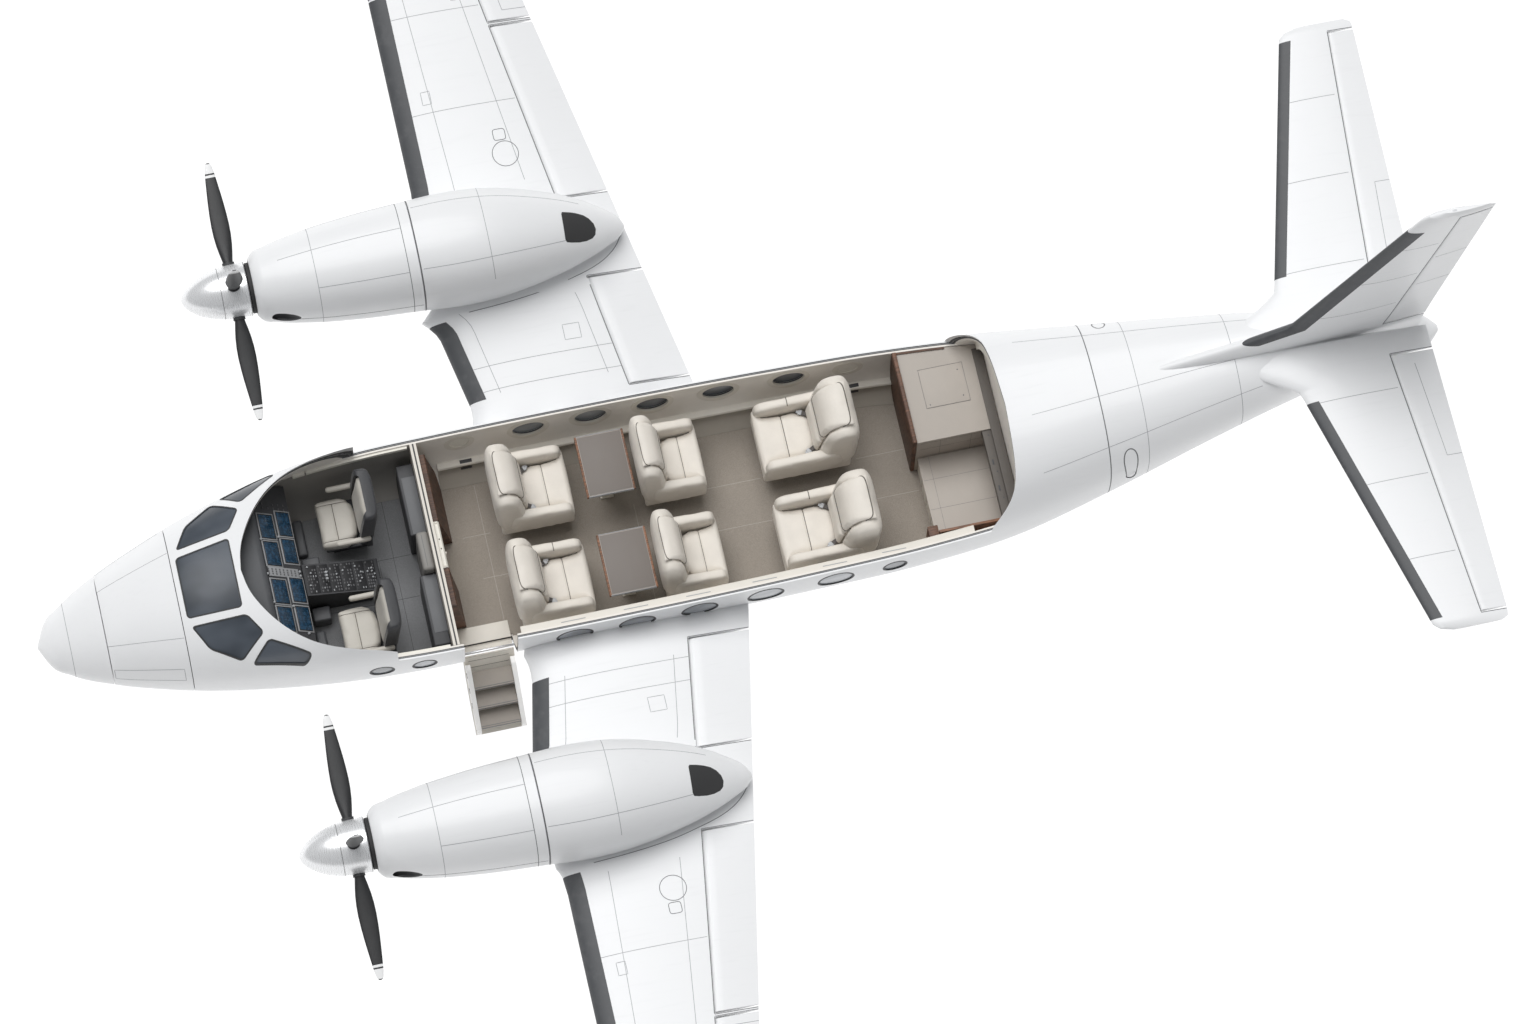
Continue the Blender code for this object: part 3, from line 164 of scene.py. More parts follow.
class Shader:
    """A material under construction, with one Principled surface."""

    def __init__(self, name: str) -> None:
        """Makes the material, its surface and its output."""
        self.material = bpy.data.materials.new(name)
        self.material.use_nodes = True
        self.tree = self.material.node_tree
        self.tree.nodes.clear()
        self.surface = self.node("ShaderNodeBsdfPrincipled")
        output = self.node("ShaderNodeOutputMaterial")
        self.tree.links.new(self.surface.outputs["BSDF"], output.inputs["Surface"])

    def node(self, kind: str, settings: dict | None = None, inputs: dict | None = None) -> bpy.types.Node:
        """Adds a node.

        Args:
            kind: the node's type.
            settings: its properties, set first; a ramp's stops are under "stops".
            inputs: values or links of its sockets, by name or index.

        Returns:
            The node.
        """
        made = self.tree.nodes.new(kind)
        for name, value in (settings or {}).items():
            if name == "stops":
                ramp = made.color_ramp
                for index, (position, colour) in enumerate(value):
                    stop = ramp.elements[index] if index < 2 else ramp.elements.new(position)
                    stop.position = position
                    stop.color = (*colour, 1)
            else:
                setattr(made, name, value)
        for name, value in (inputs or {}).items():
            self.feed(made.inputs[name], value)
        return made

    def feed(self, socket: bpy.types.NodeSocket, value: object) -> None:
        """Sets a socket to a number or colour, or links it to a value or another socket."""
        if isinstance(value, Value):
            value = value.socket
        if isinstance(value, bpy.types.NodeSocket):
            self.tree.links.new(value, socket)
        elif socket.type == "RGBA":
            socket.default_value = (*value[:3], 1)
        else:
            socket.default_value = value

    def math(self, operation: str, *values: object) -> Value:
        """A Math node on up to three values."""
        return Value(
            self, self.node("ShaderNodeMath", {"operation": operation}, dict(enumerate(values))).outputs[0]
        )

    def coordinates(self, stretch: Point = (1, 1, 1), kind: str = "Object") -> bpy.types.NodeSocket:
        """Coordinates of the surface, stretched along each axis."""
        source = self.node("ShaderNodeTexCoord").outputs[kind]
        if stretch == (1, 1, 1):
            return source
        return self.node("ShaderNodeMapping", None, {"Vector": source, "Scale": stretch}).outputs["Vector"]

    def axes(self, kind: str = "Object") -> tuple[Value, Value, Value]:
        """The coordinates as three values."""
        parts = self.node("ShaderNodeSeparateXYZ", None, {"Vector": self.coordinates(kind=kind)})
        return tuple(Value(self, out) for out in parts.outputs)

    def noise(self, scale: float, detail: float = 2.0, stretch: Point = (1, 1, 1)) -> Value:
        """Smooth noise, about 0.5 on average."""
        inputs = {"Vector": self.coordinates(stretch), "Scale": scale, "Detail": detail}
        return Value(self, self.node("ShaderNodeTexNoise", None, inputs).outputs["Fac"])

    def cells(self, scale: float, stretch: Point = (1, 1, 1)) -> Value:
        """Distance to the nearest of scattered points, as in leather grain."""
        inputs = {"Vector": self.coordinates(stretch), "Scale": scale}
        return Value(self, self.node("ShaderNodeTexVoronoi", None, inputs).outputs["Distance"])

    def blend(self, factor: object, first: object, second: object) -> bpy.types.NodeSocket:
        """A colour between two colours."""
        made = self.node("ShaderNodeMix", {"data_type": "RGBA"})
        self.feed(made.inputs[0], factor)
        self.feed(made.inputs[6], first)
        self.feed(made.inputs[7], second)
        return made.outputs[2]

    def bump(self, height: object, strength: float, depth: float) -> None:
        """Gives the surface a bump of the height, in metres of depth."""
        made = self.node("ShaderNodeBump", None, {"Height": height, "Strength": strength, "Distance": depth})
        self.feed(self.surface.inputs["Normal"], made.outputs["Normal"])

    def set(self, **inputs: object) -> None:
        """Sets sockets of the surface, with underscores for the spaces in their names."""
        for name, value in inputs.items():
            self.feed(self.surface.inputs[name.replace("_", " ").title().replace("Ior", "IOR")], value)


def shade(colour: Sequence[float], factor: float) -> Point:
    """The colour made lighter or darker by a factor."""
    return tuple(min(1.0, c * factor) for c in colour)


# Finishes

MADE: dict[str, bpy.types.Material] = {}


@dataclass(frozen=True)
class Finish:
    """A surface finish: its colour, how rough it is and the record's slot that it belongs to."""

    name: str
    colour: Point
    roughness: float
    slot: str
    metallic: float = 0.0

    def paint(self, shader: Shader) -> None:
        """Builds the nodes of the finish; a plain finish has a slight mottle."""
        mottle = shader.noise(9, 3)
        shader.set(base_color=shader.blend(mottle, shade(self.colour, 0.94), shade(self.colour, 1.05)))
        shader.set(roughness=mottle * 0.14 + (self.roughness - 0.07), metallic=self.metallic)

    def material(self) -> bpy.types.Material:
        """The finish's material, made once."""
        if self.name not in MADE:
            shader = Shader(self.name)
            self.paint(shader)
            MADE[self.name] = shader.material
        return MADE[self.name]


@dataclass(frozen=True)
class GlossPaint(Finish):
    """Sprayed gloss paint under clear coat, with faint orange peel and a little grime."""

    grime: float = 0.05

    def paint(self, shader: Shader) -> None:
        """Colour that drifts slightly, streaks along the airflow and a fine peel."""
        drift = shader.noise(1.3, 3)
        streaks = shader.noise(5, 4, (6, 0.35, 6)).fade(0.52, 0.85)
        clean = shader.blend(drift, shade(self.colour, 0.975), shade(self.colour, 1.02))
        shader.set(base_color=shader.blend(streaks * self.grime, clean, (0.35, 0.35, 0.36)))
        shader.set(
            roughness=drift * 0.1 + (self.roughness - 0.05) + streaks * 0.08, coat_weight=0.2,
            coat_roughness=0.15
        )
        shader.bump(shader.noise(160, 2), 0.03, 0.001)


@dataclass(frozen=True)
class SpunMetal(Finish):
    """Polished metal with fine turning marks about the propeller's axis or along its length."""

    stretch: Point = (1, 60, 1)

    def paint(self, shader: Shader) -> None:
        """Fine marks, and slight changes of tone."""
        marks = shader.noise(14, 3, self.stretch)
        shader.set(base_color=shader.blend(marks, shade(self.colour, 0.86), shade(self.colour, 1.1)))
        shader.set(metallic=self.metallic, roughness=marks * 0.16 + (self.roughness - 0.08))
        shader.bump(marks, 0.05, 0.001)


@dataclass(frozen=True)
class Leather(Finish):
    """Soft hide with grain, gentle creases and slightly darker hollows."""

    grain: float = 330.0

    def paint(self, shader: Shader) -> None:
        """Grain cells under broad creases."""
        cells = shader.cells(self.grain)
        broad = shader.noise(7, 3)
        creases = shader.noise(26, 4, (1, 1.6, 1)).fade(0.42, 0.62)
        tone = shader.blend(broad, shade(self.colour, 0.9), shade(self.colour, 1.07))
        shader.set(base_color=shader.blend(cells.fade(0.55, 0.1) * 0.14, tone, shade(self.colour, 0.6)))
        shader.set(roughness=self.roughness + cells * 0.12 - broad * 0.08, sheen_weight=0.12)
        shader.bump(cells * 0.55 + creases * 0.8, 0.22, 0.0016)


@dataclass(frozen=True)
class Carpet(Finish):
    """Cut pile carpet with a fleck and seams between its widths."""

    seams: tuple[float, ...] = ()

    def paint(self, shader: Shader) -> None:
        """Two sizes of fleck, with dark seams across at the stations given."""
        fleck = shader.noise(420, 2)
        tufts = shader.cells(240)
        wide = shader.noise(5, 3)
        pile = shader.blend(fleck.fade(0.35, 0.65), shade(self.colour, 0.72), shade(self.colour, 1.28))
        colour = shader.blend(wide * 0.35, pile, shade(self.colour, 0.8))
        along = shader.axes()[1]
        for seam in self.seams:
            colour = shader.blend(
                along.distance(at_station(seam)).below(0.004) * 0.7, colour, shade(self.colour, 0.45)
            )
        shader.set(base_color=colour, roughness=fleck * 0.1 + (self.roughness - 0.05), sheen_weight=0.2)
        shader.bump(tufts + fleck * 0.6, 0.5, 0.003)


@dataclass(frozen=True)
class Wood(Finish):
    """Figured walnut under lacquer."""

    stretch: Point = (30, 3, 3)

    def paint(self, shader: Shader) -> None:
        """Long grain bent by a slow wander, and pores."""
        wander = shader.noise(2.2, 3)
        grain = shader.noise(3.4, 6, self.stretch)
        pores = shader.noise(60, 2, self.stretch).fade(0.62, 0.75)
        rings = (grain + wander * 0.35).fade(0.42, 0.86)
        tone = shader.blend(rings, shade(self.colour, 1.5), shade(self.colour, 0.55))
        shader.set(base_color=shader.blend(pores * 0.5, tone, shade(self.colour, 0.3)))
        shader.set(roughness=grain * 0.12 + (self.roughness - 0.06), coat_weight=0.12, coat_roughness=0.25)
        shader.bump(grain - pores * 0.4, 0.08, 0.001)


@dataclass(frozen=True)
class DarkGlass(Finish):
    """Tinted aircraft glazing: dark and glossy, with a painted reflection in soft patches of a paler colour,
    and faint waviness.
    """

    # pale: the colour of the painted reflection on the glass.
    pale: Point = (0.16, 0.19, 0.23)

    def paint(self, shader: Shader) -> None:
        """A broad painted reflection in soft patches, and a very slight ripple."""
        reflection_patches = shader.noise(2.4, 2, (1, 0.6, 1)).fade(0.36, 0.66)
        # Painted reflection: the glass turns paler where the patches lie.
        shader.set(base_color=shader.blend(reflection_patches, self.colour, self.pale))
        shader.set(roughness=reflection_patches * 0.05 + self.roughness, coat_weight=0.25, coat_roughness=0.2)
        shader.bump(shader.noise(5, 2), 0.02, 0.002)


@dataclass(frozen=True)
class Rubber(Finish):
    """Black rubber, slightly dusty and finely pitted."""

    dust: float = 0.25

    def paint(self, shader: Shader) -> None:
        """Dusty patches over black."""
        dust = shader.noise(11, 5).fade(0.45, 0.8) * self.dust
        shader.set(base_color=shader.blend(dust, self.colour, (0.16, 0.16, 0.165)))
        shader.set(roughness=dust * 0.3 + self.roughness)
        shader.bump(shader.noise(190, 3), 0.12, 0.001)


@dataclass(frozen=True)
class Display(Finish):
    """A lit cockpit display: a dim blue page with lighter lines and a glow."""

    def paint(self, shader: Shader) -> None:
        """Fine lines and blocks of lighter blue on dark blue."""
        along, across, _ = shader.axes()
        rows = along.repeat(0.022).distance(0.011).below(0.0022)
        lines = across.repeat(0.03).distance(0.015).below(0.0016)
        patches = shader.noise(38, 1).fade(0.5, 0.58)
        page = shader.blend(patches, self.colour, shade(self.colour, 1.9))
        shader.set(base_color=page, roughness=patches * 0.05 + self.roughness, coat_weight=0.5)
        glow = shader.blend((rows.most(lines)) * 0.3, page, (0.12, 0.26, 0.34))
        shader.set(emission_color=glow, emission_strength=0.16)


WHITE = GlossPaint("white paint", (0.80, 0.804, 0.812), 0.45, "white_paint")
WHITE_LIGHT = GlossPaint("white paint on light alloy", (0.80, 0.804, 0.812), 0.45, "white_light_alloy")
SEAM = Finish("panel seam", (0.13, 0.133, 0.14), 0.6, "white_paint")
SEAM_SOFT = Finish("faint panel seam", (0.34, 0.345, 0.36), 0.55, "white_paint")
CUT_CORE = Finish("wall core", (0.10, 0.10, 0.105), 0.7, "charcoal_trim")
LINING = Finish("cabin lining", (0.84, 0.80, 0.745), 0.6, "cream_panel")
COCKPIT_LINING = Finish("cockpit lining", (0.31, 0.295, 0.275), 0.65, "charcoal_trim")
GASKET = Rubber("window gasket", (0.035, 0.036, 0.038), 0.55, "charcoal_trim", dust=0.1)
BOOT = Rubber("de-icing boot", (0.062, 0.065, 0.07), 0.5, "tyre_rubber")
# Near-black lining of the side scoops: painted shade for their deep insides, with some real dust.
SCOOP_SHADE = Rubber("scoop lining", (0.04, 0.041, 0.044), 0.5, "engine_metal")
TYRE = Rubber("tyre rubber", (0.022, 0.022, 0.023), 0.75, "tyre_rubber", dust=0.4)
# The pale colour of each glazing is its painted reflection.
GLASS = DarkGlass("tinted glazing", (0.028, 0.036, 0.048), 0.28, "tinted_glass", pale=(0.075, 0.088, 0.108))
WINDOW_GLASS = DarkGlass(
    "cabin window glazing", (0.17, 0.18, 0.195), 0.2, "tinted_glass", pale=(0.46, 0.48, 0.51)
)
SPINNER = SpunMetal("polished spinner", (0.88, 0.885, 0.895), 0.28, "polished_metal", 0.55)
BLADE = Rubber("blade black", (0.018, 0.0185, 0.02), 0.42, "polished_metal", dust=0.04)
BLADE_TIP = GlossPaint("blade tip white", (0.85, 0.85, 0.85), 0.4, "white_paint")
# Soot black. On the cowl mouths and nacelle outlets it is also painted shade for the insides of the openings.
SOOT_AND_SHADE_BLACK = Finish("sooted outlet", (0.03, 0.03, 0.031), 0.7, "engine_metal")
STRUT = SpunMetal("strut metal", (0.60, 0.61, 0.63), 0.3, "strut_metal", 1.0, (6, 6, 40))
RIM = SpunMetal("wheel alloy", (0.66, 0.67, 0.69), 0.35, "rim_metal", 1.0, (50, 2, 2))
CREAM = Leather("cream leather", (0.745, 0.695, 0.625), 0.48, "cream_leather")
PIPING = Leather("seat piping", (0.12, 0.105, 0.088), 0.55, "cream_leather", grain=600)
DARK_SHELL = Leather("charcoal seat shell", (0.038, 0.039, 0.043), 0.5, "charcoal_trim")
CARPET = Carpet("cabin carpet", (0.325, 0.288, 0.247), 0.92, "carpet")
MAT = Carpet("cockpit mat", (0.215, 0.218, 0.224), 0.85, "cockpit_mat")
WALNUT = Wood("walnut veneer", (0.118, 0.05, 0.024), 0.62, "walnut")
WALNUT_DARK = Wood("walnut face", (0.085, 0.036, 0.017), 0.65, "walnut")
WALNUT_EDGE = Wood("walnut edge", (0.20, 0.088, 0.042), 0.6, "walnut")
TAUPE = Finish("taupe laminate body", (0.30, 0.268, 0.24), 0.45, "taupe_laminate")
TABLE_TOP = Finish("taupe table top", (0.175, 0.152, 0.135), 0.55, "taupe_laminate")
TAUPE_PALE = Finish("pale taupe laminate", (0.42, 0.378, 0.335), 0.55, "taupe_laminate")
CARPET_SEAM = Finish("carpet seam", (0.47, 0.43, 0.39), 0.9, "carpet")
LEDGE = Finish("ledge cream", (0.74, 0.70, 0.63), 0.5, "cream_panel")
RAIL = Finish("stair rail", (0.88, 0.87, 0.85), 0.5, "cream_panel")
LOWER_PANEL = Finish("lower wall panel", (0.42, 0.385, 0.335), 0.65, "cream_panel")
DOOR_CREAM = Finish("door cream", (0.80, 0.77, 0.69), 0.45, "cream_panel")
CABINET_GREY = Finish("cabinet grey", (0.25, 0.24, 0.225), 0.55, "charcoal_trim")
COCKPIT_TOP = Finish("cabinet top", (0.10, 0.103, 0.11), 0.5, "charcoal_trim")
# Dark brown on the aft band and shelf: painted shade of the cabin's aft end.
AFT_PAINTED_SHADE = Finish("aft ledge brown", (0.105, 0.092, 0.08), 0.6, "charcoal_trim")
GLARE = Rubber("glareshield", (0.075, 0.078, 0.084), 0.6, "charcoal_trim", dust=0.15)
BEZEL = Finish("display bezel", (0.34, 0.345, 0.355), 0.45, "charcoal_trim")
KEYS = Finish("panel keys", (0.12, 0.12, 0.125), 0.5, "charcoal_trim")
CONSOLE = Finish("console plates", (0.018, 0.018, 0.02), 0.45, "charcoal_trim")
PILOT_CREAM = Leather("pilot seat leather", (0.56, 0.53, 0.475), 0.5, "cream_leather")
CREAM_PANEL = Finish("cream panel", (0.70, 0.66, 0.59), 0.5, "cream_panel")
CHARCOAL = Finish("charcoal trim", (0.055, 0.056, 0.06), 0.6, "charcoal_trim")
GREY_TRIM = Finish("grey trim", (0.38, 0.385, 0.39), 0.55, "charcoal_trim")
KNOB = Finish("knob grey", (0.42, 0.43, 0.445), 0.4, "charcoal_trim")
TREAD = Rubber("tread taupe", (0.30, 0.27, 0.238), 0.7, "carpet", dust=0.1)
STRAP = Rubber("belt webbing", (0.11, 0.10, 0.095), 0.8, "charcoal_trim", dust=0.2)
SCREEN = Display("cockpit display", (0.008, 0.028, 0.055), 0.2, "charcoal_trim")
# The lens's pale colour is a painted reflection.
LAMP = DarkGlass("lamp lens", (0.55, 0.56, 0.58), 0.1, "tinted_glass", pale=(0.8, 0.8, 0.8))


# Mesh helpers


def new_piece(
    name: str,
    bm: BMesh,
    finish: Finish,
    body: str = AIRFRAME,
    smooth: float = 35,
    extra: Sequence[Finish] = (),
) -> Object:
    """Makes a finished piece of a bmesh that is already in place.

    Args:
        name: the piece's name.
        bm: its mesh, in the row frame; it is used up.
        finish: what its faces are made of.
        body: the frame's body that carries it.
        smooth: angle in degrees up to which edges are shaded smooth.
        extra: finishes of the higher material indices.

    Returns:
        The object, riding on its body.
    """
    mesh = bpy.data.meshes.new(name)
    bm.to_mesh(mesh)
    bm.free()
    for each in (finish, *extra):
        mesh.materials.append(each.material())
    obj = bpy.data.objects.new(name, mesh)
    bpy.context.scene.collection.objects.link(obj)
    mesh.shade_smooth()
    mesh.set_sharp_from_angle(angle=math.radians(smooth))
    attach(obj, body)
    return obj


def mapped_grid(columns: int, rows: int, place: Place, weld: bool = True, fill: bool = False) -> BMesh:
    """A grid laid over a surface.

    Args:
        columns: cells along the first direction.
        rows: cells along the second direction.
        place: gives the point for two numbers from 0 to 1.
        weld: merges the points that meet, where the surface closes on itself.
        fill: closes the open ends with flat faces.

    Returns:
        The mesh, its faces outward if it is closed.
    """
    bm = bmesh.new()
    bmesh.ops.create_grid(bm, x_segments=columns, y_segments=rows, size=0.5)
    for vertex in bm.verts:
        vertex.co = place(min(1.0, max(0.0, vertex.co.x + 0.5)), min(1.0, max(0.0, vertex.co.y + 0.5)))
    if weld:
        bmesh.ops.remove_doubles(bm, verts=bm.verts, dist=1e-5)
    if fill:
        bmesh.ops.holes_fill(bm, edges=[e for e in bm.edges if e.is_boundary], sides=0)
        bmesh.ops.recalc_face_normals(bm, faces=bm.faces)
    return bm


def turns(count: int, shift: float = 0.0, closed: bool = False) -> list[float]:
    """Even angles round a full turn, moved by a part of a step, or closed with the first one again."""
    return [2 * math.pi * (k + shift) / count for k in range(count + closed)]


def transform(bm: BMesh, *matrices: Matrix) -> None:
    """Moves a whole mesh by the product of matrices."""
    whole = matrices[0]
    for matrix in matrices[1:]:
        whole = whole @ matrix
    bmesh.ops.transform(bm, matrix=whole, verts=bm.verts)


def is_level(edge: BMEdge) -> bool:
    """Whether an edge's ends lie at one height."""
    return abs(edge.verts[0].co.z - edge.verts[1].co.z) < TINY


def edges_of(verts: Iterable[BMVert]) -> list[BMEdge]:
    """The edges that meet in points, each once."""
    return list(dict.fromkeys(edge for vertex in verts for edge in vertex.link_edges))


def bevel(
    bm: BMesh, edges: Sequence[BMEdge], offset: float, segments: int = 3, clamp: bool = False
) -> list[BMVert]:
    """Rounds edges, and gives the new points."""
    return bmesh.ops.bevel(
        bm, geom=edges, offset=offset, segments=segments, profile=0.5, affect="EDGES", material=-1,
        clamp_overlap=clamp
    )["verts"]


def add_box(bm: BMesh, low: Point, high: Point, radius: float = 0.0, segments: int = 3) -> None:
    """Adds a box between two corners, its edges rounded by a radius."""
    made = bmesh.ops.create_cube(bm, size=1)["verts"]
    low_v, high_v = Vector(low), Vector(high)
    fit = Matrix.Translation((low_v + high_v) / 2) @ Matrix.Diagonal((*(high_v - low_v), 1))
    bmesh.ops.transform(bm, matrix=fit, verts=made)
    if radius:
        bevel(bm, edges_of(made), radius, segments)


def slabs(boxes: Iterable[Sequence[Pair]], radius: float = 0.0) -> BMesh:
    """Rounded boxes in one mesh, each between two stations, across X and between two heights."""
    bm = bmesh.new()
    for (front, aft), (left, right), (low, high) in boxes:
        add_box(bm, (left, at_station(front), low), (right, at_station(aft), high), radius)
    return bm


def slab(station: Pair, across: Pair, height: Pair, radius: float = 0.0) -> BMesh:
    """A rounded box between stations, across X and between heights."""
    return slabs([(station, across, height)], radius)


def add_rod(
    bm: BMesh, start: Point, end: Point, radius: float, sides: int = 24, rim: float = 0.0,
    far: float | None = None
) -> None:
    """Adds a round rod or cone between two points, its rims bevelled.

    Args:
        bm: the mesh.
        start: middle of the first end.
        end: middle of the other end.
        radius: radius at the first end.
        sides: faces around it.
        rim: bevel at both ends.
        far: radius at the other end, if it differs.
    """
    first, last = Vector(start), Vector(end)
    made = bmesh.ops.create_cone(
        bm, cap_ends=True, segments=sides, radius1=radius, radius2=radius if far is None else far,
        depth=(last - first).length,
    )["verts"]
    if rim:
        made = list(made)
        rounded = bevel(bm, [edge for edge in edges_of(made) if is_level(edge)], rim, 2)
        made = [vertex for vertex in made if vertex.is_valid] + list(rounded)
    turn = Vector((0, 0, 1)).rotation_difference(last - first).to_matrix().to_4x4()
    bmesh.ops.transform(bm, matrix=Matrix.Translation((first + last) / 2) @ turn, verts=list(set(made)))


def ellipsoid(centre: Point, radii: Point) -> BMesh:
    """A ball stretched to three radii."""
    bm = bmesh.new()
    bmesh.ops.create_uvsphere(bm, u_segments=24, v_segments=12, radius=1)
    transform(bm, Matrix.Translation(centre), Matrix.Diagonal((*radii, 1)))
    return bm


def tube_mesh(points: Sequence[Point], radius: float, closed: bool = False, sides: int = 3) -> BMesh:
    """A tube along a path, from a bevelled curve with filled ends."""
    curve = bpy.data.curves.new("path", "CURVE")
    curve.dimensions = "3D"
    curve.bevel_depth = radius
    curve.bevel_resolution = sides
    curve.use_fill_caps = True
    spline = curve.splines.new("POLY")
    spline.points.add(len(points) - 1)
    for target, point in zip(spline.points, points):
        target.co = (*point, 1)
    spline.use_cyclic_u = closed
    guide = bpy.data.objects.new("path", curve)
    bm = bmesh.new()
    mesh = guide.to_mesh()
    bm.from_mesh(mesh)
    guide.to_mesh_clear()
    bmesh.ops.remove_doubles(bm, verts=bm.verts, dist=1e-6)
    bpy.data.objects.remove(guide)
    bpy.data.curves.remove(curve)
    return bm


def merged(meshes: Iterable[BMesh]) -> BMesh:
    """One mesh of several, which are used up."""
    whole = bmesh.new()
    for part in meshes:
        mesh = bpy.data.meshes.new("part")
        part.to_mesh(mesh)
        part.free()
        whole.from_mesh(mesh)
        bpy.data.meshes.remove(mesh)
    return whole


def prism(outline: Outline, low: float, high: float, rounding: float = 0.0, segments: int = 5) -> BMesh:
    """An upright prism over a plan outline of (x, y) points, its upright edges rounded."""
    bm = bmesh.new()
    face = bm.faces.new([bm.verts.new((x, y, low)) for x, y in outline])
    bm.normal_update()
    if face.normal.z > 0:
        bmesh.ops.reverse_faces(bm, faces=[face])
    raised = bmesh.ops.extrude_face_region(bm, geom=[face], use_keep_orig=True)["geom"]
    top = [item for item in raised if isinstance(item, BMVert)]
    bmesh.ops.translate(bm, vec=(0, 0, high - low), verts=top)
    bmesh.ops.recalc_face_normals(bm, faces=bm.faces)
    if rounding:
        bevel(bm, [edge for edge in bm.edges if not is_level(edge)], rounding, segments, True)
    return bm


def turned_prism(
    outline: Outline, low: float, high: float, rounding: float, order: tuple[int, int, int]
) -> BMesh:
    """A prism laid on its side: the order says which of its coordinates become X, Y and Z."""
    bm = prism(outline, low, high, rounding)
    for vertex in bm.verts:
        vertex.co = [vertex.co[axis] for axis in order]
    bmesh.ops.recalc_face_normals(bm, faces=bm.faces)
    return bm


def upright(outline: Outline, front: float, aft: float, rounding: float = 0.0) -> BMesh:
    """A plate with an (x, z) outline between two stations."""
    return turned_prism(outline, at_station(front), at_station(aft), rounding, (0, 2, 1))


def side_view(outline: Outline, across: Pair, rounding: float = 0.0) -> BMesh:
    """A body with a (station, height) outline that reaches from one X to another."""
    return turned_prism([(at_station(s), z) for s, z in outline], *across, rounding, (2, 0, 1))


def helper(name: str, bm: BMesh) -> Object:
    """A hidden object for a Boolean, removed once it is used."""
    mesh = bpy.data.meshes.new(name)
    bm.to_mesh(mesh)
    bm.free()
    obj = bpy.data.objects.new(name, mesh)
    bpy.context.scene.collection.objects.link(obj)
    return obj


def carved(bm: BMesh, cut: Sequence[BMesh | Object] = (), keep: Sequence[BMesh | Object] = ()) -> BMesh:
    """What Booleans leave of a mesh.

    Args:
        bm: the mesh, which is used up.
        cut: bodies taken away from it in order: meshes, which are used up, or helpers, which stay.
        keep: bodies that it is then kept within, given likewise.

    Returns:
        The result.
    """
    base = helper("carving", bm)
    spent = [base]
    for operation, bodies in (("DIFFERENCE", cut), ("INTERSECT", keep)):
        for body in bodies:
            if isinstance(body, BMesh):
                body = helper("cutter", body)
                spent.append(body)
            modifier = base.modifiers.new("carve", "BOOLEAN")
            modifier.operation = operation
            modifier.object = body
            modifier.solver = "EXACT"
    bpy.context.view_layer.update()
    mesh = bpy.data.meshes.new_from_object(base.evaluated_get(bpy.context.evaluated_depsgraph_get()))
    result = bmesh.new()
    result.from_mesh(mesh)
    discard(spent)
    bpy.data.meshes.remove(mesh)
    bmesh.ops.dissolve_degenerate(result, dist=TINY, edges=result.edges)
    return result


def discard(helpers: Iterable[Object]) -> None:
    """Removes helpers."""
    for each in helpers:
        bpy.data.objects.remove(each)


def lofted(rings: Sequence[Sequence[Point]], fill: bool = True) -> BMesh:
    """A body through closed rings with the same number of points.

    Args:
        rings: the rings, each a closed loop of points.
        fill: closes both ends.

    Returns:
        The mesh, its faces outward.
    """
    count = len(rings[0])

    def place(u: float, v: float) -> Point:
        """The point of a ring for a cell of the grid."""
        return rings[round(u * (len(rings) - 1))][round(v * count) % count]

    bm = mapped_grid(len(rings) - 1, count, place, True, fill)
    if not fill:
        bmesh.ops.recalc_face_normals(bm, faces=bm.faces)
    return bm


def ribbon(surface: Place, path: Outline, width: float = 0.007, half: float = 0.0008) -> BMesh:
    """A thin strip that lies in a surface along a path.

    Args:
        surface: gives a point for two numbers.
        path: pairs of such numbers, close enough together to follow the surface.
        width: the strip's width.
        half: how far it stands above and reaches below the surface.

    Returns:
        The closed mesh.
    """
    step = 1e-3
    points = [Vector(surface(*pair)) for pair in path]
    closed = (points[0] - points[-1]).length < 1e-5
    rings = []
    for i, (u, v) in enumerate(path):
        before = points[i - 1] if i or not closed else points[-2]
        after = points[i + 1] if i + 1 < len(points) else (points[1] if closed else points[-1])
        if not i and not closed:
            before = points[0]
        along_u = Vector(surface(u + step, v)) - Vector(surface(u - step, v))
        along_v = Vector(surface(u, v + step)) - Vector(surface(u, v - step))
        normal = along_u.cross(along_v).normalized()
        across = normal.cross(after - before).normalized() * (width / 2)
        ring = [points[i] + across * a + normal * half * b for a, b in ((-1, -1), (-1, 1), (1, 1), (1, -1))]
        rings.append([tuple(p) for p in ring])
    return lofted(rings)


def dense(corners: Outline, spacing: float, closed: bool = False) -> list[Pair]:
    """Points along straight runs between corners, no further apart than the spacing."""
    whole = list(corners) + ([corners[0]] if closed else [])
    path = [whole[0]]
    for (u0, v0), (u1, v1) in zip(whole, whole[1:]):
        steps = max(1, math.ceil(math.hypot(u1 - u0, v1 - v0) / spacing))
        path += [(u0 + (u1 - u0) * k / steps, v0 + (v1 - v0) * k / steps) for k in range(1, steps + 1)]
    return path


def oval(u: float, v: float, half_u: float, half_v: float, power: float = 2.0, count: int = 48) -> list[Pair]:
    """A closed oval path, squarer with a higher power."""
    path = []
    for k in range(count + 1):
        angle = 2 * math.pi * k / count
        c, s = math.cos(angle), math.sin(angle)
        path.append((
            u + half_u * math.copysign(abs(c) ** (2 / power), c),
            v + half_v * math.copysign(abs(s) ** (2 / power), s),
        ))
    return path


def softened(points: Outline, rounds: int = 2, closed: bool = False) -> list[Pair]:
    """An outline with its corners cut again and again, so that it looks curved."""
    points = list(points)
    for _ in range(rounds):
        eased = []
        for (x0, y0), (x1, y1) in zip(points, points[1:] + points[:closed]):
            eased.append((0.75 * x0 + 0.25 * x1, 0.75 * y0 + 0.25 * y1))
            eased.append((0.25 * x0 + 0.75 * x1, 0.25 * y0 + 0.75 * y1))
        points = eased if closed else [points[0], *eased, points[-1]]
    return points


